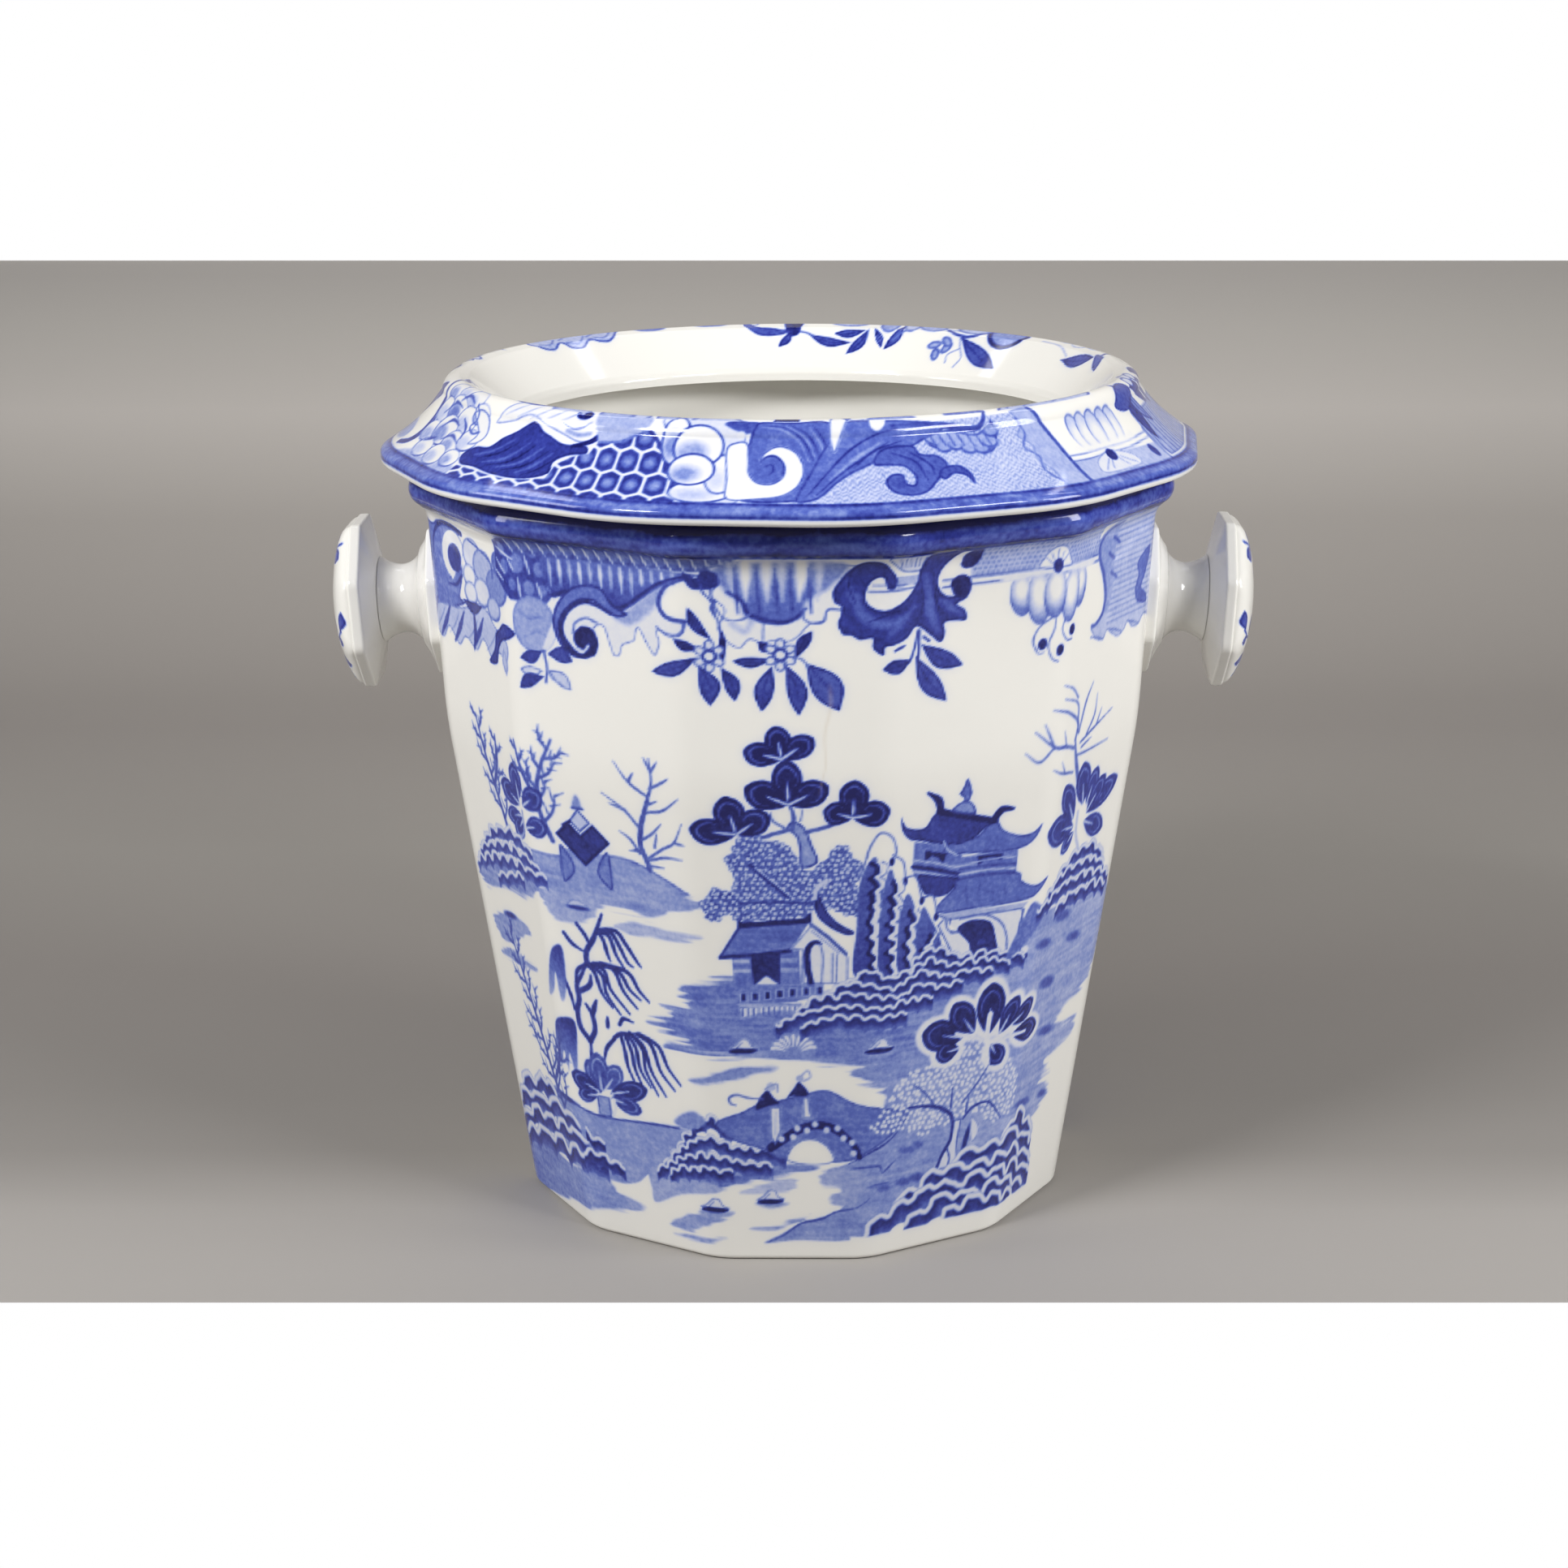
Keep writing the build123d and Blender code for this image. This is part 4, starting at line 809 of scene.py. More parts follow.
        s.stroke([(75.4, 48), (73.6, 41), (72.6, 34)], 2.2, 0.92, start=0.4)
        s.shape([(74.6, 49), (78.4, 45.6), (79, 41), (76.4, 38), (75, 42)], 0.14, rim=0.5)
        for line in ([(92, 36), (98, 42), (104, 43), (112, 36), (118, 30)], [(68, 31), (78, 34), (88, 34.6), (98, 36), (108, 32), (116, 26)],
                     [(42, 17), (54, 24), (66, 28.6), (78, 27.6), (90, 28.6), (102, 28), (112, 24), (120, 19)],
                     [(30, 10), (40, 16), (50, 19), (60, 22.6), (72, 21), (84, 23.6), (98, 22), (110, 19), (120, 14)],
                     [(49, 9.6), (58, 13.6), (68, 17.6), (80, 16), (92, 18), (104, 14), (116, 11)], [(66, 9), (76, 12.6), (88, 13), (98, 11), (108, 9)]):
            s.ridge(wavy(line, 12.0, 3.0), 2.5, 7.6, dark=0.96, fill=0.66)
        s.shape([(24, 9.3), (60, 9.0), (90, 9.3), (126, 8.6), (126, 0.5), (24, 0.5)], Tone.BARE, smooth=False, ragged=(0.5, 5, 3), edge=0.8)


@dataclass
class WallBorder:
    """The border under the lip: blue band, shells, scrolls, hanging flowers and a hatched panel.

    Its parts are the common stock of blue-printed borders, drawn anew. Places are as in Landscape.
    """

    sheet: PrintSheet

    def draw(self) -> None:
        """Draw the border from the ground up, and the band on the lip last."""
        self.draw_scroll_end()
        self.draw_shell()
        self.draw_wave_scroll()
        self.draw_peony()
        self.draw_stars()
        self.draw_lotus_band()
        self.draw_acanthus()
        self.draw_panel()
        self.draw_band()

    def draw_band(self) -> None:
        """The mottled band round the lip with a darker line at its lower edge, darkened towards its top as painted
        shadow under the collar.
        """
        s = self.sheet
        x, y = np.meshgrid(s.across, s.up)
        body = 0.74 + 0.1 * smooth_noise(x / 9.0, y / 1.6, 5) + 0.07 * smooth_noise(x / 1.5, y / 1.1, 8)
        # Painted shadow: above 264.6 the band is darkened towards the lip's top, standing in for the crevice shade
        # under the collar's overhang; the line at 258.3 is the band's darker lower edge.
        body += 0.2 * np.exp(-((y - 258.3) / 0.9)**2) + 0.4 * np.clip((y - 264.6) / 2.0, 0.0, 1.0)
        cover = np.clip((y - 257.0) / 0.6, 0.0, 1.0)
        s.tone += (body - s.tone) * cover

    def draw_scroll_end(self) -> None:
        """Far left: the big C-scroll, its fringe, and the cloud flower beside it."""
        s = self.sheet
        s.shape([(-183, 254), (-160, 254), (-148, 252), (-142, 254), (-131, 254), (-124, 252.5), (-128, 250), (-126, 244), (-127, 236),
                 (-130, 229), (-126, 227.5), (-136, 224), (-146, 222), (-160, 222), (-183, 224)], 0.6, rim=0.84, streak=0.06)
        s.shape([(-183, 222), (-160, 222), (-146, 224), (-132, 225), (-112, 229), (-104, 224), (-96, 220), (-97, 213), (-103, 215), (-108, 211),
                 (-114, 217), (-120, 212), (-128, 215), (-134, 211), (-141, 216), (-147, 211), (-158, 214), (-170, 210), (-183, 212)],
                0.3, rim=0.6, rim_width=0.6)
        for x, y in ((-170, 213), (-158, 213), (-148, 212), (-137, 212), (-122, 213), (-108, 212)):
            s.stroke([(x + 9, y + 12), (x + 5, y + 6), (x, y)], 2.6, 0.8, start=0.3, end=0.5)
            s.stroke([(x + 5, y + 11), (x + 1, y + 6), (x - 4, y + 2)], 0.9, 0.5, start=0.3, end=0.3)
        s.shape(spiral(-132.5, 242.8, 20, 260, 9.8, 9.0), 0.06, rim=0.7, rim_width=0.5)
        s.dot(-131.6, 242.4, 5.4, 0.84, ry=5.0)
        s.stroke([(-127, 240), (-126, 244), (-129, 248.4), (-135, 249)], 1.6, 0.08, start=0.3)
        s.stroke([(-125, 252), (-132, 253.6), (-141, 253), (-147, 248), (-149, 241)], 2.0, 0.9, end=0.3)
        s.stroke([(-139, 232), (-132, 233), (-127, 237)], 1.4, 0.86, start=0.3)
        for x, y, r, tone in ((-118, 246, 7, 0.16), (-121, 238, 5, 0.08), (-110, 243, 7.6, 0.34), (-101, 238, 7.4, 0.5), (-112, 234, 6, 0.14), (-104, 230, 5, 0.3),
                              (-121, 232, 5, 0.12), (-98, 247, 5, 0.56)):
            s.dot(x, y, r, 0.66, ry=r * 0.86)
            s.dot(x, y + 0.3, r - 0.8, tone, ry=r * 0.86 - 0.8, edge=1.2)
        s.stroke([(-120, 251), (-111, 249), (-104, 246), (-103, 241)], 0.8, 0.7)
        s.leaf(-128, 229, -113, 229, 4.4, 0.8, bend=-2.0)
        s.stroke([(-120, 226), (-120, 219), (-122, 212)], 2.4, 0.84, start=0.4, end=0.4)
        s.shape([(-91, 224.4), (-97, 226.6), (-101, 224), (-104, 221.4), (-105.6, 216), (-110.6, 210.6), (-104.6, 211), (-102.6, 216.4),
                 (-99.4, 220), (-94.6, 221.6)], 0.82, rim=Tone.DARK)
        s.leaf(-99, 218, -98, 208, 4.0, 0.3, rim=0.5)

    def draw_shell(self) -> None:
        """Net, round flower with its leaves, rope row and the fluted shell."""
        s = self.sheet
        s.shape([(-100, 255), (-92, 258), (-60, 258), (-60, 249), (-74, 241), (-78, 236), (-92, 236), (-100, 243)], 0.8, smooth=False)
        for x, y, r in ((-88, 249, 2.6), (-84, 241, 2.0), (-88.6, 255, 2.2), (-80, 247.6, 2.0), (-94, 247, 2.0), (-95, 253, 1.8), (-79, 240.6, 1.6),
                        (-82, 254, 2.0), (-76, 242, 1.4), (-90.6, 241.4, 1.6)):
            s.dot(x, y, r, 0.56, ry=r * 1.3)
        for points in ([(-88, 244), (-87.4, 237.6)], [(-85, 252), (-83.4, 246)], [(-81, 243), (-79.6, 238)], [(-75, 238), (-72.4, 243)],
                       [(-92, 250), (-89.6, 246)], [(-99, 249), (-94, 244.6)], [(-100, 245), (-95, 242)], [(-98, 253), (-90, 250)]):
            s.stroke(points, 1.1, 0.22, start=0.5, end=0.5)
        s.shape([(-78, 252.6), (-60, 253.4), (-26, 252), (-30, 250), (-38, 246), (-46, 240.4), (-51, 237), (-54, 238), (-59, 243), (-65, 242.6),
                 (-74, 239.4), (-78, 245)], 0.62, fade=(-60, 252, -62, 240, 0.8))
        for k in range(13):
            x = -76.2 + 3.6 * k
            low = 244.5 - 0.5 * abs(k - 4)
            if k > 8:
                low = 246.5 + 1.6 * (k - 9)
            s.stroke([(x, 251.6), (x + 0.2, 248.4), (x + 0.4, low)], 1.5, 0.16 if k % 2 else 0.3, start=0.5, end=0.15, edge=0.9)
        s.stroke([(-75.4, 239.6), (-68, 242), (-60, 243.8), (-54, 238.4), (-50, 238.6), (-44, 243), (-37, 248), (-28, 251)], 1.8, 0.92)
        s.shape([(-92, 258), (-14, 258), (-14, 252.4), (-40, 252.8), (-92, 252.4)], 0.74, smooth=False)
        for k in range(20):
            x = -90.5 + 4.0 * k
            s.dot(x + 1.9, 255.2, 1.5, 0.6, ry=1.7)
            s.stroke([(x, 257.6), (x + 0.3, 255), (x + 1.4, 252.6)], 0.8, 0.14, start=0.7, end=0.4)
        s.dot(-83.2, 228.6, 8.4, 0.66, ry=9.8)
        s.dot(-83.2, 228.6, 7.9, 0.42, ry=9.3, edge=1.4)
        s.stroke([(-89, 233), (-85, 230.6), (-80, 231.6)], 0.7, 0.52)
        s.stroke([(-87, 224), (-82, 226), (-78, 225)], 0.6, 0.52)
        s.shape([(-75, 232), (-73, 230), (-76, 224), (-78, 221), (-80, 220), (-80, 222)], 0.14)
        s.stroke([(-80, 220), (-79.4, 214), (-80, 209)], 1.0, 0.7)
        for leaf in ((-80.6, 220, -89.4, 216.4, 4.6, 0.78, 0.9), (-79, 219, -69.6, 217.6, 5.6, 0.74, 1.2), (-80.6, 213, -90, 212.4, 4.2, 0.12, 0.6),
                     (-80.4, 211, -90.6, 205.8, 4.8, 0.78, -1.0), (-79.4, 213.6, -70.6, 207.4, 5.0, 0.2, 0.8)):
            s.leaf(*leaf[:5], tone=leaf[5], bend=leaf[6], rim=0.62 if leaf[5] < 0.4 else 0.94)
        s.stroke([(-79.6, 214), (-77.6, 210.6), (-74, 209)], 0.7, 0.5)

    def draw_wave_scroll(self) -> None:
        """The white wave whose end curls into a dark spiral, with a feathered lower edge."""
        s = self.sheet
        s.shape([(-30, 249.6), (-36, 247), (-43, 241.4), (-49, 236.6), (-54, 235.4), (-59, 238), (-64, 240), (-70, 238), (-73.6, 232), (-73, 226),
                 (-70, 221.6), (-66, 220), (-62, 222), (-60, 226), (-61, 230), (-58, 231), (-56, 225), (-54.6, 221.6), (-52.4, 222), (-51, 225.6),
                 (-47, 227.6), (-45.6, 232), (-43, 227.4), (-40, 223.4), (-38, 228), (-38.6, 232), (-33, 231), (-30, 233.6), (-31, 236.4),
                 (-36, 238), (-37.6, 243), (-34.6, 247.6)], 0.1, rim=0.62, rim_width=0.55)
        s.shape([(-30, 250), (-37, 247.4), (-44, 242), (-50, 237.4), (-55, 235.6), (-49, 232.6), (-42, 237), (-36.4, 244), (-34, 248)], 0.4, edge=1.8)
        s.shape([(-58, 244), (-64, 244.6), (-70, 242), (-75, 235.4), (-76, 228.6), (-73.6, 222.4), (-69, 219.2), (-64, 219.4), (-68, 221.4),
                 (-72.2, 227), (-71.6, 233), (-67.4, 238), (-62, 239.4), (-57, 236.8), (-53, 234.8), (-49, 236.4), (-54, 239)], 0.62, rim=0.92,
                rim_width=0.8)
        s.stroke([(-55, 235.4), (-60, 238), (-65, 238.6), (-70.6, 235), (-73.4, 229), (-71.6, 223), (-67, 220), (-62.6, 221)], 2.2, 0.95, start=0.3, end=0.8)
        s.shape(spiral(-65.4, 225.4, -80, 200, 5.4, 1.4), 0.98)
        s.dot(-65.2, 225.8, 3.6, 0.98, ry=4.0)
        s.stroke([(-62, 221.4), (-60.8, 225), (-62.6, 229), (-65.6, 229.4)], 1.8, 0.98)
        s.stroke([(-68, 222.6), (-65.4, 221.8), (-63.6, 223.8)], 1.0, 0.24)
        s.stroke([(-60, 232), (-64, 233.2), (-68, 231), (-69, 227.4)], 0.9, 0.6)
        s.stroke([(-30.4, 249.8), (-36, 246.6), (-38, 241), (-35.4, 237), (-29.6, 236)], 1.5, 0.76, start=0.5)
        s.stroke([(-39, 233.4), (-35, 230.8), (-31, 231.6), (-29.4, 235)], 0.7, 0.7)

    def draw_peony(self) -> None:
        """The big peony: streaked dark cup inside, white frilled petals outside."""
        s = self.sheet
        s.shape([(-20, 255), (-19, 250), (-22, 245), (-18, 240), (-20, 234), (-17.6, 229.4), (-13.6, 227), (-10.6, 230), (-7, 228.4), (-4, 229.6),
                 (0, 229), (3.6, 231), (7, 235), (11, 236), (12.6, 240), (17, 240), (17, 248), (20, 255)], 0.07, rim=0.6, rim_width=0.6)
        s.shape([(-19, 255), (-17.4, 246), (-13, 243), (-12, 238), (-6, 236), (0, 236), (4.6, 238), (6, 243), (13, 248), (16, 256)], 0.5,
                fade=(0, 255, 0, 238, 0.66), edge=2.0)
        for x0, x1, tone, width in ((-11.6, -11.6, 0.06, 3.2), (-5.6, -5.4, 0.12, 3.2), (4.4, 3.6, 0.06, 3.6), (-1.2, -1.0, 0.24, 2.4), (9.6, 9.0, 0.24, 2.2),
                                (-16, -15, 0.3, 2)):
            s.stroke([(x0, 255.6), (x0, 251), (x1, 243)], width, tone, end=0.1, edge=1.6)
        for x in (-8.2, -2.8, 1.4, 6.8, -14.4):
            s.stroke([(x - 0.4, 254), (x, 246), (x + 0.5, 239)], 0.9, 0.8, start=0.1, end=0.8, edge=0.9)
        s.stroke([(-17, 246), (-12.8, 243), (-11, 238.8), (-6.4, 236.6), (-1.4, 235.8), (2.6, 237.2), (5.6, 240.4)], 1.9, 0.9, start=0.4, end=0.4, edge=0.8)
        s.stroke([(-22, 247), (-20.4, 241), (-17.6, 237), (-13, 236.8), (-10, 239)], 0.8, 0.62)
        s.stroke([(-15.6, 235.4), (-12, 233), (-10, 236)], 2.0, 0.3, edge=1.5)
        s.stroke([(-6.6, 235.6), (-6.8, 230)], 0.6, 0.6)
        s.stroke([(5, 240), (5.2, 237), (8, 235.4), (11, 236.4), (12, 240), (16, 240)], 0.8, 0.62)
        s.shape([(-30, 252.6), (-26, 250.6), (-24, 253), (-20, 252), (-19.6, 248), (-24, 246.8), (-28, 247.6)], 0.9)

    def draw_stars(self) -> None:
        """The two star flowers with their leaves."""
        s = self.sheet
        s.stroke([(-25, 250), (-24, 246), (-21.6, 243), (-20.8, 239)], 0.7, 0.8)
        s.stroke([(-20.6, 243), (-21.6, 240.4), (-19.6, 236), (-19, 230), (-19.2, 222)], 0.9, 0.7)
        leaves = ((-21.6, 230, -28.8, 241, 3.6, 0.8, 1.2), (-25, 227, -33.6, 230, 3.4, 0.84, 0.8), (-26, 224.4, -41.6, 218, 5.0, 0.72, 1.2),
                  (-26, 221.6, -22.6, 207.8, 6.4, 0.72, 1.6), (-19.4, 221, -15.2, 209.4, 4.8, 0.76, 1.2), (-18.6, 222, -18.6, 233, 2.2, 0.88, 0.0),
                  (-4, 223.6, -16, 223, 3.6, 0.76, 0.8), (-3.4, 226, -8.2, 229.4, 3.2, 0.84, 0.6), (-4, 221.6, -7.4, 205.8, 5.8, 0.7, -0.8),
                  (-0.4, 222, 3.6, 204.4, 6.0, 0.72, 1.4), (2.6, 223.6, 7.6, 233, 3.8, 0.84, 0.6), (5.4, 222.4, 15.6, 206, 9.4, 0.68, 1.2))
        for leaf in leaves:
            s.leaf(*leaf[:5], tone=leaf[5], bend=leaf[6], vein=min(leaf[5] + 0.16, 1.0))
        s.stroke([(2, 224.4), (4.6, 223.4), (6.4, 221)], 0.8, 0.62)
        for cx, cy in ((-22.6, 224.6), (-1.8, 225.0)):
            for k in range(6):
                a = math.radians(60 * k + 30)
                s.dot(cx + 3.2 * math.cos(a), cy + 3.8 * math.sin(a), 1.9, 0.7, ry=1.6, turn=60 * k + 30)
                s.dot(cx + 3.2 * math.cos(a), cy + 3.8 * math.sin(a), 1.3, 0.14, ry=1.0, turn=60 * k + 30)
            s.dot(cx, cy, 2.3, 0.84)
            s.dot(cx, cy, 1.4, 0.1)

    def draw_acanthus(self) -> None:
        """The dark acanthus with its two curls and three hanging leaves."""
        s = self.sheet
        s.shape([(22, 256), (18, 253), (15.6, 250), (13.4, 246), (14, 242.4), (16, 241), (15.6, 238), (15, 235), (16.4, 231.8), (19, 231.4),
                 (21.4, 230), (25, 230.4), (25.2, 227.2), (28.4, 224.6), (29, 227.4), (32, 228), (36, 230), (38.6, 233.4), (41, 232.4),
                 (44, 229.6), (47.4, 227), (48.8, 230), (48.4, 233.4), (53, 233.6), (56, 233.6), (55.4, 237), (52.6, 239.2), (56, 241),
                 (57.4, 245), (55.6, 248.4), (52, 248.4), (50.2, 245.8), (52.6, 242.4), (49, 242.4), (46.4, 245), (46, 249), (48, 252.6), (52, 256.2),
                 (54.6, 257), (57, 256), (53.4, 252.8), (55, 250.8), (58.4, 251.6), (60.2, 255), (58, 258), (44, 258), (40, 253), (38.6, 247.6),
                 (34.6, 242.6), (29, 239.6), (24, 241.4), (22.8, 245), (24.6, 249.4), (28, 250.6), (29.2, 247), (31.4, 246.6), (32.2, 250),
                 (30, 253.6), (27, 256)], 0.86, rim=0.97, rim_width=0.8)
        s.shape([(24.4, 249), (27.4, 250.4), (29, 247), (31, 245.6), (33, 247), (38, 247.4), (34.6, 242.4), (29, 240), (24.6, 241.6), (23.2, 245)], 0.05)
        s.stroke([(25, 248), (29, 248)], 0.8, 0.44)
        s.stroke([(24, 246), (30, 246), (38, 246.6)], 0.7, 0.66)
        for points, width in (([(20, 245), (22, 238), (30, 235), (36, 238)], 3.6), ([(41.6, 250), (43, 243), (44, 236), (46, 231)], 3.4),
                              ([(17.6, 250), (18.6, 245), (20, 241)], 1.6), ([(47, 241), (51, 238), (53.6, 236)], 2.0), ([(30, 231), (34, 235), (38, 240)], 1.8)):
            s.stroke(points, width, 0.64, start=0.3, end=0.2, edge=2.4)
        for points in ([(19, 254), (18, 248), (20, 242)], [(24, 236), (29, 238), (35, 240)], [(40, 249), (41, 242), (40, 235)], [(47, 236), (45, 243), (44, 251)]):
            s.stroke(points, 0.7, 0.97, start=0.4, end=0.3)
        s.dot(54, 245, 3.4, 0.98, ry=3.7)
        s.dot(56.6, 254, 3.0, 0.96, ry=2.8)
        s.stroke([(39.4, 232), (38.6, 227), (37, 222), (35, 221)], 0.8, 0.84)
        s.stroke([(40, 232), (40, 226), (39.6, 222)], 0.8, 0.84)
        for leaf in ((37.4, 222.4, 28.2, 219.8, 5.0, 0.8, 0.6), (38.8, 223.6, 50.2, 206.6, 6.6, 0.72, -1.2), (40.6, 227.4, 55.6, 218.2, 6.2, 0.74, -1.4)):
            s.leaf(*leaf[:5], tone=leaf[5], bend=leaf[6], vein=0.92)
        s.stroke([(32, 226), (35, 227.4)], 0.9, 0.9)
        s.stroke([(41.4, 229.6), (43.4, 228)], 0.9, 0.9)

    def draw_lotus_band(self) -> None:
        """The pale dotted band with its double line, the fan, and the lotus hung below it."""
        s = self.sheet
        s.shape([(57, 258), (112, 258), (111, 247), (57, 247.6)], 0.32, smooth=False)
        s.shape([(30, 258), (48, 258), (44, 252.6), (36, 251.6), (32, 253.6)], 0.18, rim=0.6)
        for row in range(6):
            for k in range(30):
                s.dot(58.4 + 1.8 * k + 0.9 * (row % 2), 256.6 - 1.6 * row, 0.55, 0.5)
        for x in range(9):
            s.stroke([(33 + 1.6 * x, 256.6), (33.6 + 1.4 * x, 253.6)], 0.5, 0.6)
        s.stroke([(33, 249), (41, 249)], 3.4, 0.36, smooth=False)
        for x0 in (32, 47.6):
            x1 = 39.6 if x0 < 40 else 112
            s.stroke([(x0, 247.6), (x1, 247.2)], 0.8, 0.66, smooth=False)
            s.stroke([(x0, 246.4), (x1, 246.0)], 1.0, 0.04, smooth=False)
            s.stroke([(x0, 245.3), (x1, 245.0)], 0.8, 0.66, smooth=False)
        for x, y, rx, ry, turn in ((75, 239.2, 3.6, 6.6, 8), (100, 238.6, 3.4, 6.6, -8), (81.4, 237.4, 3.8, 8.6, 5), (94.6, 236.8, 4.0, 8.8, -6), (87.4, 238.4, 3.9, 8.0, 0)):
            s.dot(x, y, rx + 0.5, 0.72, ry=ry + 0.5, turn=turn)
            s.dot(x, y, rx, 0.56, ry=ry, turn=turn)
            s.dot(x, y + 2.0, rx - 0.5, 0.04, ry=ry - 2.0, turn=turn, edge=3.0)
        s.shape([(70, 247), (106, 247), (106, 244.4), (88, 245.6), (70, 244.6)], 0.1, edge=0.9)
        s.shape([(81, 247.4), (82, 251), (85, 254.2), (88.4, 255), (91.6, 253.4), (93.4, 249.6), (93.4, 247)], 0.06, rim=0.56)
        for x in (83, 85, 87.4, 89.6, 91.6):
            s.stroke([(x, 253.4 - abs(x - 87.4) * 0.5), (87.4 + (x - 87.4) * 0.4, 248.6)], 0.5, 0.5)
        s.dot(87.7, 247.8, 1.9, 0.94, ry=2.5)
        s.stroke([(86, 230), (82, 227.4), (80, 223), (81.6, 219.2)], 0.7, 0.66)
        s.stroke([(88, 229.6), (87.6, 226), (85.6, 221), (87.2, 216.2), (90, 214.6)], 0.7, 0.62)
        s.stroke([(92, 229), (91, 225.4), (93.4, 221.6), (96.4, 221.4)], 0.7, 0.62)
        for x, y in ((83.5, 221.5), (90.5, 218.5), (96.2, 224.6)):
            s.dot(x, y, 1.6, Tone.DARK, ry=2.0, turn=-12)
        s.stroke([(84, 218.6), (82.6, 218.2), (81.4, 219.4)], 0.6, 0.6)

    def draw_panel(self) -> None:
        """Far right: the ruled panel with its curved side and scalloped hem."""
        s = self.sheet
        side = [(128, 258), (118, 256), (112.4, 252.6), (111, 248.6), (112, 244.6), (115.6, 238), (117.6, 232.6), (117.4, 226.6), (114, 223.4),
                (109.4, 222.2), (111, 219.6), (114, 216.8), (119, 215.8), (121.6, 218.4), (125, 216.4), (130, 214.4), (134.4, 216), (136.6, 218.4),
                (140, 215.6), (145, 215.4), (149, 218.4), (160, 217), (183, 218), (183, 258)]
        s.shape(side, 0.3, rim=0.5)
        for k in range(17):
            s.stroke([(121, 254.6 - 2.1 * k), (183, 255.6 - 2.1 * k)], 0.8, 0.46, smooth=False)
        s.shape([(118, 256), (112.4, 252.6), (111, 248.6), (112.4, 244), (116, 238), (118, 232), (118, 226), (121, 226), (123.4, 234), (123, 243),
                 (123.6, 250), (126, 256)], 0.44, edge=1.4)
        s.stroke([(126, 256), (118, 254.6), (112.6, 250.6), (112.6, 245.6), (116.4, 238.4), (118.4, 231), (117, 225.4), (112.8, 222.6), (110, 222.6)],
                 1.8, 0.7, start=0.4, end=0.7, edge=0.8)
        for x, y in ((120, 245), (122.4, 238), (123, 250)):
            s.stroke([(x - 1, y + 1), (x + 3, y - 1.4)], 1.2, 0.7, edge=0.8)
        for x in (116, 129, 142, 156, 170):
            s.stroke([(x - 6, 218.6), (x - 1, 217.4), (x + 3, 216)], 0.8, 0.56)
        s.shape([(150, 243), (144, 241), (140.6, 238), (142, 234), (140.4, 229), (142.6, 224.4), (150, 222.6), (149, 226), (144.8, 229), (147, 233.4)],
                0.64, rim=0.76)


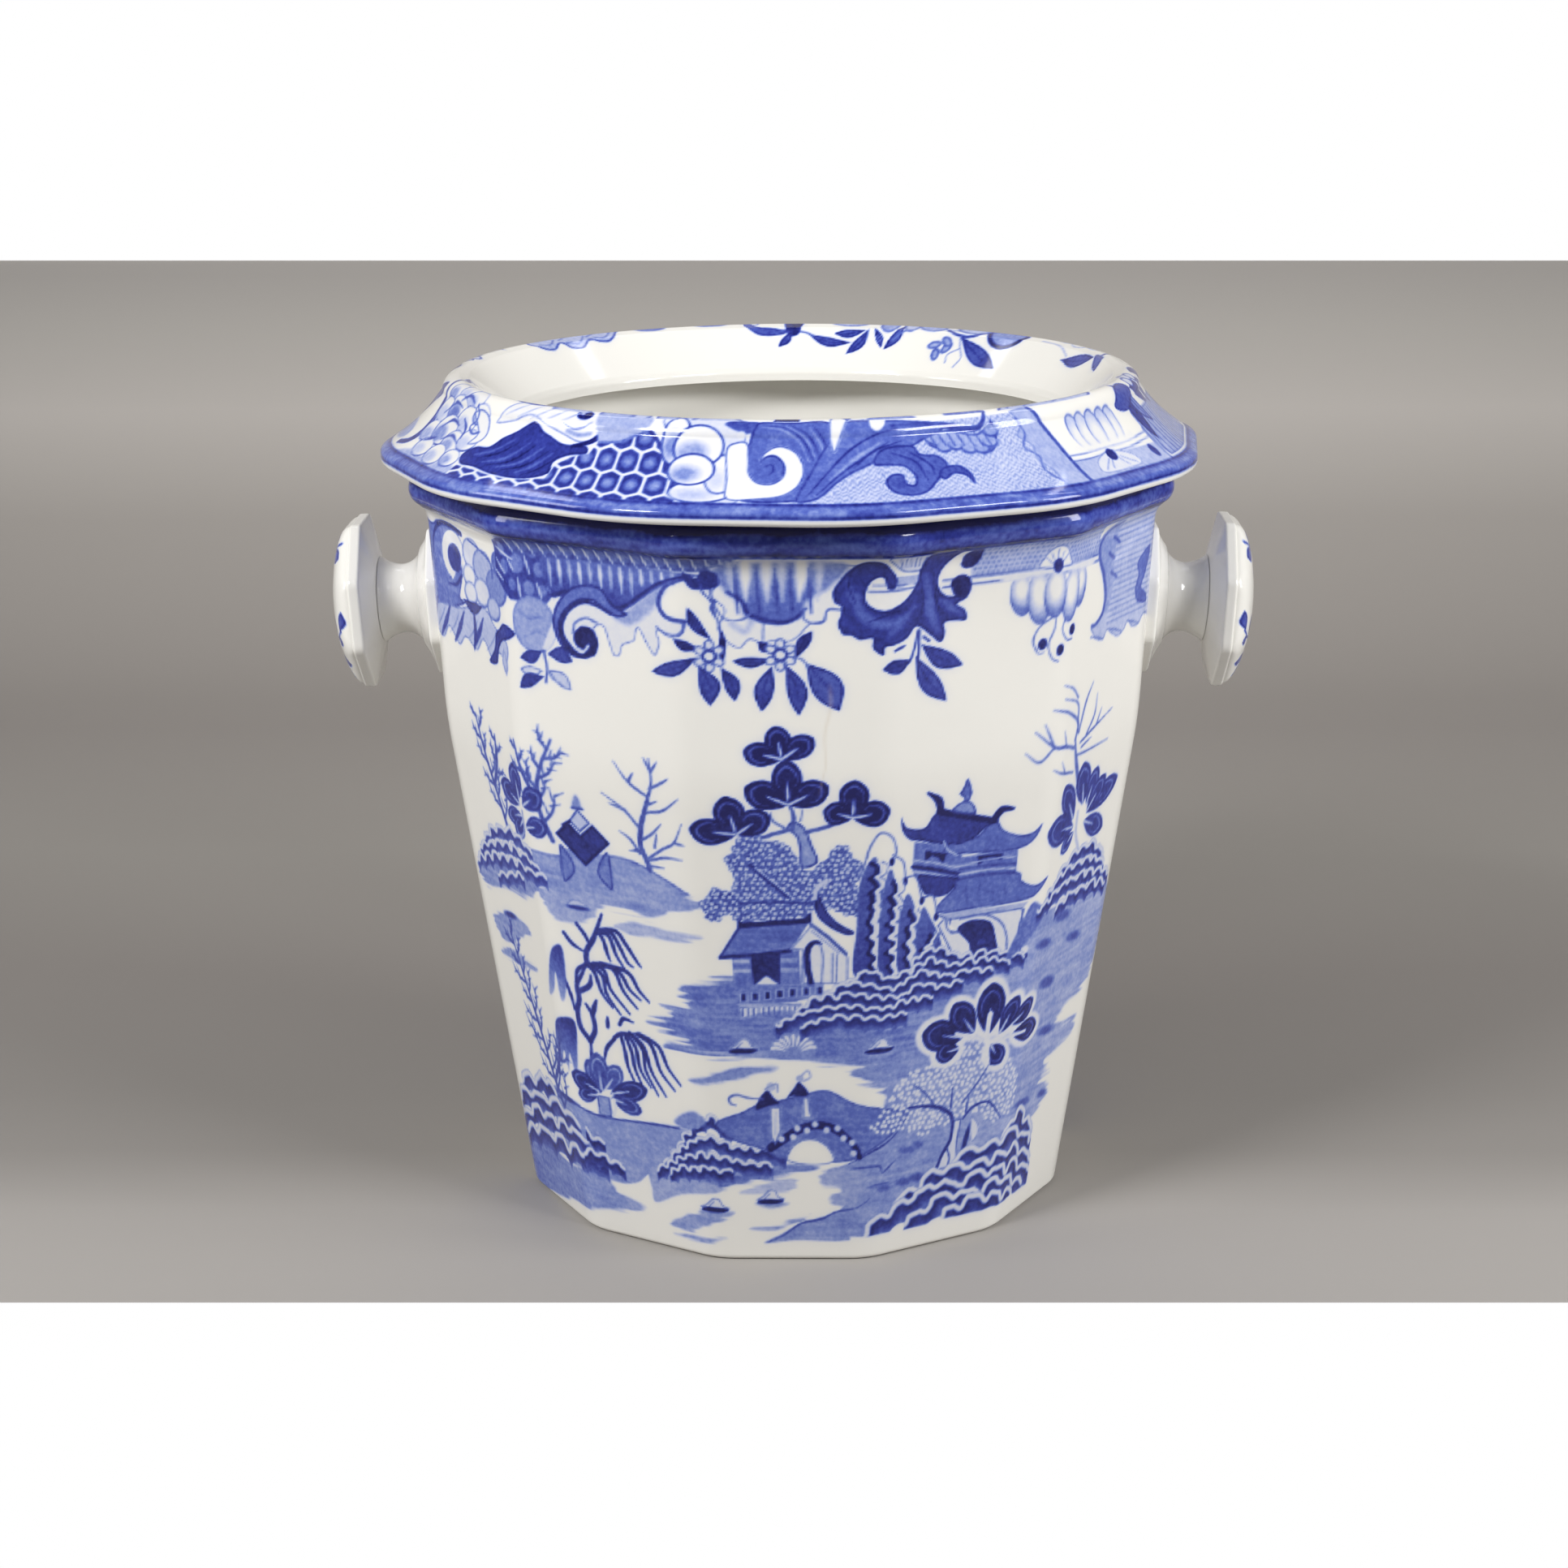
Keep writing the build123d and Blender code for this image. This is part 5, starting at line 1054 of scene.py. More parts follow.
@dataclass
class RingPrint:
    """The print on the loose collar, made of the same stock of scrolls, nets and flowers.

    Places are millimetres across from the middle of the collar's front facet, and up along its
    section: from the edge over the slope to the rolled rim, and from there down the funnel.
    """

    sheet: PrintSheet

    def draw(self) -> None:
        """Draw the outside twice round, then the sprays of the funnel, then the band."""
        for shift in (-366.0, 0.0, 366.0):
            self.sheet.shift = shift
            self.draw_left_bouquet()
            self.draw_honeycomb()
            self.draw_ground()
            self.draw_volute()
            self.draw_acanthus()
            self.draw_lotus_panel()
        outside = self.sheet.up < 41.0
        kept = self.sheet.tone[outside].copy()
        for shift in (-732.0, -366.0, 0.0):
            self.sheet.shift = shift
            self.draw_inner_sprays()
        self.sheet.tone[outside] = kept
        self.sheet.shift = 0.0
        self.draw_band()

    def draw_band(self) -> None:
        """The mottled band just above the edge, between two darker lines."""
        s = self.sheet
        x, y = np.meshgrid(s.across, s.up)
        body = 0.6 + 0.09 * smooth_noise(x / 8.0, y / 1.8, 6) + 0.07 * smooth_noise(x / 1.2, y / 1.6, 9)
        body += 0.3 * np.exp(-((y - 3.9) / 0.7)**2) + 0.24 * np.exp(-((y - 9.5) / 0.8)**2)
        s.tone[y < 3.0] = 0.0
        cover = np.clip((y - 3.1) / 0.6, 0.0, 1.0) * np.clip((10.4 - y) / 0.6, 0.0, 1.0)
        s.tone += (body - s.tone) * cover

    def draw_left_bouquet(self) -> None:
        """The cloud flower, the dark wing and the bird-like petal over it."""
        s = self.sheet
        s.shape([(-168, 28), (-160, 34), (-152, 38), (-146, 39), (-148, 34), (-153, 31), (-158, 27), (-166, 22)], 0.78, rim=0.9)
        s.stroke([(-142, 44), (-139.6, 35), (-137, 27), (-137.4, 20), (-141, 15), (-148, 12.6)], 4.2, 0.86, start=0.4, end=0.5)
        s.stroke([(-140.4, 40), (-138.2, 32), (-136.4, 24), (-138, 18)], 0.9, 0.6, start=0.3, end=0.3)
        s.shape([(-166, 20), (-158, 22), (-152, 21), (-148, 18), (-150, 14), (-160, 12), (-168, 14)], 0.42, edge=1.4)
        s.shape([(-138, 9), (-132, 13), (-120, 12.4), (-108, 13), (-99, 14.6), (-96, 9)], 0.36, edge=1.6)
        for x, y, r, tone in ((-129, 38.6, 6.6, 0.3), (-119, 40, 6.4, 0.1), (-110, 38, 7.0, 0.16), (-131, 31, 7.0, 0.1), (-121, 32.6, 7.8, 0.4),
                              (-110, 30, 8.0, 0.12), (-102, 34, 5.4, 0.26), (-131, 22, 6.6, 0.22), (-121, 24.4, 8.6, 0.3), (-110, 21, 7.4, 0.3),
                              (-101, 24, 6.0, 0.1), (-126, 15.6, 6.2, 0.12), (-114, 15, 6.6, 0.16), (-103, 16, 5.4, 0.26)):
            s.dot(x, y, r, 0.78, ry=r * 0.74)
            s.dot(x + 0.15, y + 0.25, r - 0.55, 0.05, ry=r * 0.74 - 0.55)
            s.dot(x - 0.3 * r, y - 0.2 * r, r * 0.6, tone + 0.16, ry=r * 0.42, edge=1.8)
        for points in ([(-131, 30), (-125, 35), (-118, 34)], [(-126, 25), (-120, 29), (-113, 28)], [(-119, 21), (-113, 24), (-106, 22)],
                       [(-130, 18), (-123, 21)], [(-121, 36), (-115, 39), (-109, 37)], [(-112, 31), (-107, 28), (-106, 24)]):
            s.stroke(points, 1.5, 0.74, start=0.3, end=0.3, edge=0.7)
        s.shape([(-107, 34), (-102, 36), (-96, 33.6), (-92.6, 28), (-95, 24), (-100, 23), (-98, 27), (-101, 30)], 0.06, rim=0.62)
        s.stroke([(-106, 37), (-103, 32), (-105, 29), (-101, 27), (-97.6, 28)], 0.9, 0.66)
        s.shape([(-98, 19), (-94, 23), (-88, 24), (-84.4, 28), (-80, 31), (-74, 35.4), (-69, 32.6), (-65, 31), (-60, 29), (-54, 29), (-50.6, 29), (-50, 26.4),
                 (-56, 25), (-60, 22), (-60, 17), (-66, 14), (-72, 13.4), (-80, 14), (-88, 15.4), (-95, 15.4)], 0.84, rim=0.94)
        for points in ([(-92, 20), (-85, 23), (-79, 28)], [(-86, 18), (-78, 21), (-72, 28)], [(-79, 17), (-72, 20), (-66, 27)], [(-71, 16), (-67, 19), (-62, 25)]):
            s.stroke(points, 1.3, 0.64, start=0.3, end=0.3, edge=1.0)
            s.stroke([(x + 2.6, y - 0.8) for x, y in points], 0.8, 0.98, start=0.3, end=0.3)
        s.shape([(-92, 33), (-84, 34), (-76, 37), (-69, 34.6), (-61, 32), (-54, 30), (-48, 32), (-46, 37), (-46, 44), (-70, 45), (-84, 43)], 0.06, rim=0.5)
        s.stroke([(-45.4, 46), (-44.8, 41), (-46, 35.4), (-49.6, 31), (-56, 28.6)], 2.5, 0.97, start=0.6, end=0.5)
        s.dot(-55, 40, 3.2, 0.98, ry=2.1)
        s.dot(-56, 40.6, 0.8, 0.3)
        s.stroke([(-62, 36), (-58, 34.6), (-54, 35.4), (-51, 37.4)], 0.9, 0.6, start=0.3, end=0.3)
        s.stroke([(-60, 33.6), (-55, 32.6), (-51, 33.6)], 1.6, 0.4, edge=0.8)
        for x in (-88, -82, -76, -70, -64):
            s.stroke([(x, 36), (x + 5, 39), (x + 9, 42.6)], 0.8, 0.34, start=0.3, end=0.3)
        s.shape([(-47, 31), (-41, 31.4), (-33, 35), (-30, 40), (-34, 43), (-48, 43), (-50, 40)], 0.36, edge=1.0)

    def draw_honeycomb(self) -> None:
        """The net of six-sided cells: blue cells with paler middles, white ribs."""
        edge = [(-97, 9), (-96, 14.6), (-88, 14.4), (-80, 13.4), (-72, 12.6), (-66, 13.6), (-60, 15), (-59, 21), (-55, 24.6), (-49, 26.6), (-47, 31), (-40, 31.6), (-35, 34), (-30, 36), (-25, 30),
                (-21, 23), (-18.6, 16), (-16, 9)]

        def cells(x: np.ndarray, y: np.ndarray) -> np.ndarray:
            """Ink by distance to the nearest cell's middle, on a staggered grid."""
            best = np.full(x.shape, 1e9)
            second = np.full(x.shape, 1e9)
            wide, high = 7.2, 8.6
            for row in (0, 1):
                for di in (0, 1):
                    for dj in (0, 1):
                        u = (x + 53.0) / wide + 0.5 * row - di
                        v = (y - 16.5) / (2 * high) - 0.5 * row - dj
                        cx = (np.floor(u) + di - 0.5 * row + di) * wide - 53.0
                        cy = (np.floor(v) + dj + 0.5 * row + dj) * 2 * high + 16.5
                        away = np.hypot(x - cx, (y - cy) * 0.92)
                        second = np.minimum(second, np.maximum(best, away))
                        best = np.minimum(best, away)
            rib = np.clip((second - best - 0.7) / 0.6, 0.0, 1.0)
            return 0.08 + rib * (np.interp(best, [0.0, 1.6, 2.6, 4.0], [0.42, 0.6, 0.86, 0.8]) - 0.08)

        self.sheet.pattern(edge, cells, smooth=False, edge=0.6)
        self.sheet.stroke([(-47, 31), (-40, 31.8), (-35, 34.2), (-31, 36)], 0.9, 0.6)
        self.sheet.stroke([(-30, 36), (-25, 30), (-21, 23), (-18, 15), (-14, 9)], 1.4, 0.84)

    def draw_ground(self) -> None:
        """The pale ground of small wriggles behind the acanthus, and the bordered edge at its right."""
        s = self.sheet
        edge = [(12, 9.6), (104, 9.6), (101, 22), (98, 32), (94, 39.6), (70, 39), (40, 38), (24, 24)]

        def wriggles(x: np.ndarray, y: np.ndarray) -> np.ndarray:
            """Ink of level wriggling lines: sines whose phase is shaken."""
            wave = np.sin(2 * np.pi * (y / 1.8 + 0.36 * np.sin(2 * np.pi * x / 2.2) + 0.5 * smooth_noise(x / 2.2, y / 2.2, 4)))
            return 0.33 + 0.13 * wave

        s.pattern(edge, wriggles, smooth=False)
        s.shape([(86, 40), (95, 40.4), (97.4, 33), (100.4, 24), (102.6, 10), (93, 10), (91.6, 17), (88.4, 22), (89.4, 27), (85.6, 31), (88, 35)], 0.36,
                rim=0.5)
        s.stroke([(94, 41), (97.6, 33), (100.4, 24), (102.4, 10)], 1.5, 0.74)
        s.stroke([(87, 37), (89, 32), (86.4, 27), (90, 23), (89, 18), (92.4, 12)], 0.8, 0.62)

    def draw_volute(self) -> None:
        """The petalled flower and the white volute in its blue body."""
        s = self.sheet
        s.shape([(-31, 43), (-29, 39), (-25, 33), (-23.6, 38), (-25, 43)], 0.05)
        s.shape([(-26, 42), (-23, 33), (-20, 25), (-18, 15), (-13, 9.4), (-2, 9.4), (0, 16), (-1, 26), (0, 34), (-3, 42)], 0.16, rim=0.5)
        for x, y, rx, ry, tone in ((-21.4, 33.6, 4.4, 8.6, 0.5), (-11.4, 14.6, 8.6, 4.6, 0.3), (-6.6, 21.4, 4.2, 7.4, 0.2),
                                   (-14.2, 31.4, 7.6, 7.4, 0.42), (-15.2, 23.2, 6.8, 5.8, 0.46)):
            s.dot(x, y, rx + 0.3, 0.82, ry=ry + 0.3)
            s.dot(x, y, rx - 0.4, 0.05, ry=ry - 0.4)
            s.dot(x - 0.24 * rx, y - 0.26 * ry, rx * 0.6, tone, ry=ry * 0.5, edge=2.8)
        s.shape([(-7, 39.4), (-3, 37), (0, 36), (3, 37.4), (3.4, 40.6), (0, 41), (-4, 41.6)], 0.76, edge=0.7)
        s.dot(-1.6, 35.6, 1.3, 0.12)
        s.dot(1.8, 34.6, 1.1, 0.12)
        s.shape([(0.6, 32.6), (2.2, 38.4), (4.4, 40.8), (14, 40.6), (24.6, 40.8), (27.4, 32), (23.4, 23.6), (18, 14), (13.4, 10.8), (0, 10.8),
                 (-0.4, 18)], 0.64, rim=0.84, rim_width=0.8)
        s.shape([(-6, 30.6), (-3, 33.4), (0.4, 33), (1.2, 27), (1.6, 22.4), (3.8, 19), (7.4, 18.4), (10.4, 21), (11, 25), (8.8, 28), (6.1, 27.6),
                 (4.5, 25.4), (4.4, 28.6), (7.4, 31.6), (11, 32.2), (15.2, 29.6), (17, 24), (15.4, 17.8), (10.7, 13.2), (4, 11.6), (-4, 11.6),
                 (-5, 20)], 0.04, rim=0.72, rim_width=0.6)
        s.stroke([(4.4, 26.6), (6, 28.4), (8.6, 28.6), (11, 25.6), (10.6, 21.4)], 0.8, 0.88, start=0.3, end=0.4)
        s.stroke([(5.4, 24.6), (7.4, 25.6), (8.2, 23.4), (6.8, 21.8)], 0.7, 0.84, start=0.3, end=0.3)
        for points in ([(6, 39), (12, 38), (17, 34), (19.6, 27)], [(13, 39.4), (19, 35), (21.6, 28)], [(20, 39), (23, 34), (24, 30)]):
            s.stroke(points, 0.8, 0.84, start=0.3, end=0.3)
            s.stroke([(x - 1.2, y - 0.6) for x, y in points], 0.9, 0.48, start=0.3, end=0.3)

    def draw_acanthus(self) -> None:
        """The long leaf with its lower curl, and the white spike at its root."""
        s = self.sheet
        s.shape([(14, 11.4), (20, 12), (26, 18.6), (31, 22.4), (37, 25.6), (40, 29.4), (44, 31), (49, 30.4), (56, 33.4), (64, 34), (72, 33), (76, 34.4),
                 (77.6, 37.6), (78.6, 33), (76, 27.4), (71, 26.4), (66, 29), (60, 28.4), (55, 31.6), (62, 37.2), (50, 39.8), (44, 40.6), (30, 40.6), (24, 33),
                 (19, 24)], 0.62, rim=0.82)
        s.shape([(54, 33), (60, 29), (66, 29.6), (71, 26.8), (76, 28), (78, 33), (76.6, 36), (71, 33.4), (62, 35.6)], 0.4, rim=0.7)
        s.stroke([(44, 38), (56, 38), (66, 36), (73, 35.6), (77.4, 42)], 2.4, 0.76, start=0.4, end=0.4)
        for x, y in ((60, 30.6), (64, 31), (68, 29.4), (72, 29), (75.4, 31), (77, 34.6)):
            s.dot(x, y - 1.0, 2.6, 0.72, ry=2.0)
            s.dot(x, y - 0.4, 2.2, 0.42, ry=1.7)
        for k in range(7):
            s.stroke([(56 + 3 * k, 34.6 - 0.1 * k), (57.6 + 3 * k, 30.6 - 0.3 * k)], 0.6, 0.66)
        s.shape([(37, 25), (39, 29.6), (44, 31.4), (50, 31), (52, 28), (57, 27), (59.6, 23.6), (57.6, 20.6), (54.6, 17), (50.6, 13), (45.6, 12), (41, 14),
                 (39.4, 18), (41.4, 21), (45, 21), (45.4, 17.6), (47.6, 16.6), (48.4, 20), (46, 23.6), (41.6, 24.4)], 0.68, rim=0.86)
        s.shape([(55.6, 19.6), (58, 22.6), (63, 22.6), (65.6, 19), (65.2, 14.6), (63.6, 18.4), (60.4, 19.6), (57.4, 17.6)], 0.7, rim=0.84)
        s.dot(43.4, 17.6, 2.2, 0.74)
        s.shape([(26.4, 44), (24.6, 37), (25.8, 29.4), (28.8, 36), (31.6, 44)], 0.06, rim=0.56)
        s.shape([(38.6, 44), (37.6, 38.6), (39.4, 36.6), (42, 38.6), (43, 44)], 0.06)
        for points in ([(17, 13), (23, 22), (30, 30), (38, 35), (46, 37)], [(20, 14), (27, 22), (35, 28), (43, 33)], [(31, 24), (38, 30), (47, 33)],
                       [(43, 29), (50, 25), (52, 18)], [(48, 29.4), (54, 24), (54.6, 20)]):
            s.stroke(points, 0.8, 0.88, start=0.3, end=0.3)
        s.stroke([(24, 20), (32, 27.6), (40, 32.6)], 1.4, 0.42, start=0.2, end=0.2, edge=1.0)

    def draw_lotus_panel(self) -> None:
        """The white panel with its lotus over a pair of lines."""
        s = self.sheet
        s.shape([(103, 10), (147, 10), (147, 18), (126, 18.6), (112, 18.6), (102, 18.6)], 0.32, smooth=False)
        for y, tone in ((21.2, 0.56), (19, 0.56)):
            s.stroke([(101, y), (110, y - 0.3), (120, y), (130, y), (140, y + 1.0), (147, y + 1.6)], 0.6, tone)
        for x, rx, turn in ((111.6, 3.6, 12), (131.6, 3.6, -12), (116.2, 3.6, 5), (127.2, 3.6, -5), (121.6, 3.6, 0)):
            s.dot(x, 28.6, rx + 0.35, 0.6, ry=7.4, turn=turn)
            s.dot(x, 28.4, rx - 0.3, 0.26, ry=6.8, turn=turn)
            s.dot(x, 26.4, rx - 0.6, 0.05, ry=5.0, turn=turn, edge=2.4)
        s.shape([(106, 25), (108, 21.8), (136, 21.8), (138, 25), (132, 23.4), (112, 23.4)], 0.03, edge=1.2)
        s.shape([(112, 11), (110, 14.6), (113, 18), (120, 20), (127, 18.4), (131, 15), (129, 11)], 0.12, rim=0.46)
        for x in (114.6, 117.4, 123.6, 126.8):
            s.stroke([(x + (x - 120.6) * 0.3, 12.6), (120.6 + (x - 120.6) * 0.5, 16.6)], 0.6, 0.42)
        s.dot(120.4, 18.0, 2.3, 0.92, ry=2.5)
        s.dot(141.6, 15.2, 1.7, 0.86, ry=3.0)
        s.stroke([(146.4, 10), (146.8, 18), (147.2, 24)], 1.4, 0.5)
        s.shape([(147, 30.6), (200, 30.6), (200, 11), (148, 11)], 0.4, smooth=False, rim=0.6)
        for k in range(14):
            s.stroke([(149.4 + 3.6 * k, 29), (150 + 3.6 * k, 20), (148.6 + 3.6 * k, 12)], 0.9, 0.62)
        for leaf in ((146, 44, 152, 18, 7.4, 0.76, 2.4), (152, 42, 163, 24, 6.0, 0.5, -1.6), (158, 38, 176, 30, 7.0, 0.74, 2.0),
                     (172, 40, 186, 27, 6.4, 0.62, 1.6), (182, 41, 198, 34, 6.4, 0.76, 1.4)):
            s.leaf(*leaf[:5], tone=leaf[5], bend=leaf[6], vein=0.94)
        s.shape([(139, 33.4), (142, 37.4), (147, 41), (154, 41.6), (158, 38), (153, 33), (145, 31.4)], 0.76, rim=0.92)
        for x, y in ((164, 40), (169, 42), (174, 40.6)):
            s.dot(x, y, 3.4, 0.78, ry=2.8)
            s.dot(x, y, 2.6, 0.2, ry=2.0)

    def draw_inner_sprays(self) -> None:
        """Sprays of leaves and a scalloped shell hanging into the funnel from the rim."""
        s = self.sheet
        s.leaf(308, 48, 283, 61.4, 7.4, tone=0.7, bend=-1.4, vein=0.9)
        s.shape([(277, 43.4), (279, 48), (285, 51.4), (292, 50), (296, 44), (290, 42), (283, 42)], 0.5, rim=0.86)
        s.stroke([(277.4, 44), (280, 48.4), (286, 51.2), (292.6, 49.4), (296.6, 43.6)], 2.0, 0.96)
        s.stroke([(296, 43), (302, 47.4), (309, 47.6), (315, 45)], 1.4, 0.8)
        s.stroke([(308, 48), (306, 53), (303, 58), (304.6, 62.6)], 0.7, 0.5)
        s.stroke([(306, 54), (310, 57), (309.6, 61)], 0.7, 0.5)
        for x, y, turn in ((312, 54, 60), (316, 57.4, 100), (318, 53, 20), (313, 51, -40)):
            s.dot(x, y, 3.2, 0.66, ry=2.0, turn=turn)
            s.dot(x, y, 1.9, 0.4, ry=0.9, turn=turn)
        for x, y, rx, ry, tone in ((322, 42.4, 6.4, 4.4, 0.4), (340, 43, 4.0, 5.4, 0.4), (304, 42, 8, 4.4, 0.34), (356, 41.6, 8, 3.6, 0.3), (436, 41.6, 7.4, 3.6, 0.6),
                                   (411, 41.4, 8.0, 2.8, 0.5), (331, 43, 3.4, 4.6, 0.3)):
            s.dot(x, y, rx, 0.62, ry=ry)
            s.dot(x, y, rx - 1.0, tone, ry=ry - 1.0, edge=1.0)
        s.leaf(334, 43, 340, 56.6, 4.2, tone=0.66, bend=1.2)
        s.stroke([(337, 52), (334, 48), (330, 46)], 0.8, 0.6)
        for leaf in ((348, 46.6, 356, 59.4, 4.6, 0.7, 1.4), (349, 47.4, 362, 49.4, 4.0, 0.66, 1.0), (354, 53.6, 372, 50.4, 4.4, 0.72, 1.8), (346, 46, 341, 56, 3.0, 0.5, 0.4)):
            s.leaf(*leaf[:5], tone=leaf[5], bend=leaf[6], vein=0.92)
        s.stroke([(368, 52), (374, 49), (378, 49)], 0.9, 0.7)
        s.shape([(374, 39), (375.4, 46), (377, 50.4), (381, 50), (382, 44), (381, 39)], 0.96)
        s.leaf(379, 48, 385, 56, 3.4, tone=0.72, bend=0.8)
        s.shape([(380, 48.6), (386, 50.6), (393, 50), (398, 45), (397, 41), (393, 45.6), (386, 47)], 0.7, rim=0.86)
        s.leaf(248, 52, 226, 47, 6.4, tone=0.72, bend=-1.4, vein=0.9)
        s.leaf(228, 45, 214, 52, 5.0, tone=0.62, bend=1.0)
        s.stroke([(246, 50), (256, 46), (268, 45)], 0.7, 0.4)
        s.shape([(450, 39), (452, 45), (457, 49), (462, 48.6), (466, 47.4), (471, 50.6), (477, 50), (481, 47), (486, 49.6), (492, 48.4), (497, 43.6), (492, 40),
                 (480, 39)], 0.34, rim=0.76, rim_width=0.9)
        for points in ([(453, 42), (458, 46.4), (463, 46)], [(467, 44), (472, 48), (478, 47)], [(482, 43.6), (487, 46.8), (492, 45.6)], [(460, 42), (466, 44.6)],
                       [(474, 42), (480, 44.4)]):
            s.stroke(points, 0.7, 0.62)
        s.stroke([(396, 43), (399, 41), (402, 41.4)], 0.8, 0.5)


@dataclass
class KnobSpray:
    """The small flowering spray on a knob's face, as on any printed toilet ware."""

    sheet: PrintSheet

    def draw(self) -> None:
        """Draw a flower in the middle and three leafy sprigs along the edge."""
        s = self.sheet
        for k in range(3):
            a = math.radians(90 + 120 * k)
            c, q = math.cos(a), math.sin(a)

            def turned(x: float, y: float) -> tuple:
                """Place of a sprig's own point on the sheet."""
                return x * c - y * q, x * q + y * c

            s.stroke([turned(6, 0), turned(14, 3), turned(21, 9), turned(24, 15)], 1.1, 0.8)
            s.stroke([turned(14, 3), turned(21, -1), turned(25, -8)], 0.9, 0.8)
            for x0, y0, x1, y1, width in ((14, 3, 12, 12, 5.0), (20, 7.4, 27, 6.4, 4.6), (21, 9, 19, 18, 5.2), (18.6, 1, 15, -7, 4.8), (22, -3, 27, -3.6, 3.6),
                                          (24, -7, 22.4, -15, 4.4)):
                s.leaf(*turned(x0, y0), *turned(x1, y1), width, tone=0.68, bend=0.6)
        for k in range(5):
            a = math.radians(72 * k + 18)
            s.dot(4.0 * math.cos(a), 4.0 * math.sin(a), 3.0, 0.76, ry=2.4, turn=72 * k + 18)
            s.dot(4.4 * math.cos(a), 4.4 * math.sin(a), 1.8, 0.3, ry=1.2, turn=72 * k + 18)
        s.dot(0, 0, 1.9, 0.1)
        s.dot(0, 0, 0.9, 0.9)


def facet_places(flats: np.ndarray, soft: np.ndarray, across: np.ndarray, sides: int) -> tuple:
    """Plan places on a regular polygon with rounded corners.

    A place is counted in facets: facet 0 faces -Y, and each facet's straight side is shared out
    evenly from -0.5 to 0.5 about its middle. Past the straight part the place runs round the
    corner's arc, of radius soft.

    Args:
        flats: Distance from the axis to the straight sides.
        soft: Radius of the corners; equal to flats it gives a circle.
        across: Places in facets.
        sides: Number of sides.

    Returns:
        The x and y arrays.
    """
    facet = np.round(across)
    half_turn = math.pi / sides
    wide = math.tan(half_turn)
    soft = np.maximum(soft, 1e-6)
    along = 2 * flats * wide * (across - facet)
    start = (flats - soft) * wide
    round_part = np.clip((np.abs(along) - start) / (soft * wide), 0.0, 1.0) * half_turn
    out = flats - soft + soft * np.cos(round_part)
    side = np.sign(along) * (np.minimum(np.abs(along), start) + soft * np.sin(round_part))
    turn = facet * 2 * half_turn
    return out * np.sin(turn) + side * np.cos(turn), -out * np.cos(turn) + side * np.sin(turn)


def wall_flats(height: np.ndarray) -> np.ndarray:
    """Distance from the jar's axis to its straight sides: two tapers joined by a parabola."""
    height = np.asarray(height, dtype=np.float64)
    run = np.clip(height - 171.0, 0.0, 18.0)
    beyond = np.maximum(height - 189.0, 0.0)
    return 97.1 + 0.1458 * height - 0.0897 * run**2 / 36.0 - 0.0897 * beyond


def fine_rows(stations: list, gap: float) -> np.ndarray:
    """Stations with more between them, so that no two lie farther apart than the gap.

    Each station is (flats, soft, height, print place). The print place below zero means bare glaze.
    """
    rows = []
    for one, two in zip(stations[:-1], stations[1:]):
        one, two = np.asarray(one, dtype=np.float64), np.asarray(two, dtype=np.float64)
        count = max(int(math.ceil(math.hypot(two[0] - one[0], two[2] - one[2]) / gap)), 1)
        for step in range(count):
            rows.append(one + (two - one) * step / count)
    rows.append(np.asarray(stations[-1], dtype=np.float64))
    return np.array(rows)


@dataclass
class Loft:
    """A surface lofted through rounded polygons of one axis.

    Rows run up the outside and down the inside, columns run round the axis. A wedge is closed by a
    flat face at each end; a whole turn is joined to itself, with its first and last rows at the axis.
    """

    name: str
    rows: np.ndarray
    across: np.ndarray
    sides: int = SIDES
    turn: float = 0.0

    def build(self, ink: np.ndarray, stain: np.ndarray, place=None) -> bpy.types.Object:
        """Make the mesh object.

        Args:
            ink: Ink tone of each point, rows by columns.
            stain: Amount of stain of each point, rows by columns.
            place: Function that turns local points into the object's own frame, or None.

        Returns:
            The new object, with its ink and stain attributes and its own texture map.
        """
        whole = abs(self.across[-1] - self.across[0] - self.sides) < 1e-6
        across = self.across[:-1] if whole else self.across
        flats, soft, height = self.rows[:, 0:1], self.rows[:, 1:2], self.rows[:, 2:3]
        x, y = facet_places(flats, soft, across[None, :], self.sides)
        c, s = math.cos(math.radians(self.turn)), math.sin(math.radians(self.turn))
        z = np.broadcast_to(height, x.shape)
        points = np.stack([x * c - y * s, x * s + y * c, z], axis=-1)
        n, m = x.shape
        ink, stain = ink[:, :m], stain[:, :m]
        corner = np.arange(n * m).reshape(n, m)
        if whole:
            right = np.roll(corner, -1, axis=1)
            quads = np.stack([corner[:-1], right[:-1], right[1:], corner[1:]], axis=-1).reshape(-1, 4)
        else:
            up = np.roll(corner, -1, axis=0)
            quads = np.stack([corner[:, :-1], corner[:, 1:], up[:, 1:], up[:, :-1]], axis=-1).reshape(-1, 4)
        points = points.reshape(-1, 3)
        if place is not None:
            points = place(points)
        lengths = np.hypot(np.diff(self.rows[:, 0]), np.diff(self.rows[:, 2]))
        weights = np.where(np.minimum(self.rows[:-1, 3], self.rows[1:, 3]) >= 0.0, 1.0, 0.25)
        v = np.concatenate([[0.0], np.cumsum(lengths * weights)])
        closing = 0.0 if whole else 0.25 * np.hypot(self.rows[0, 0] - self.rows[-1, 0], self.rows[0, 2] - self.rows[-1, 2])
        total = v[-1] + closing
        v_ends = np.concatenate([v, [total]]) / total
        u_ends = (self.across - self.across[0]) / (self.across[-1] - self.across[0])
        return make_mesh(self.name, points, quads, whole, (n, m), (u_ends, v_ends), ink.ravel(), stain.ravel())


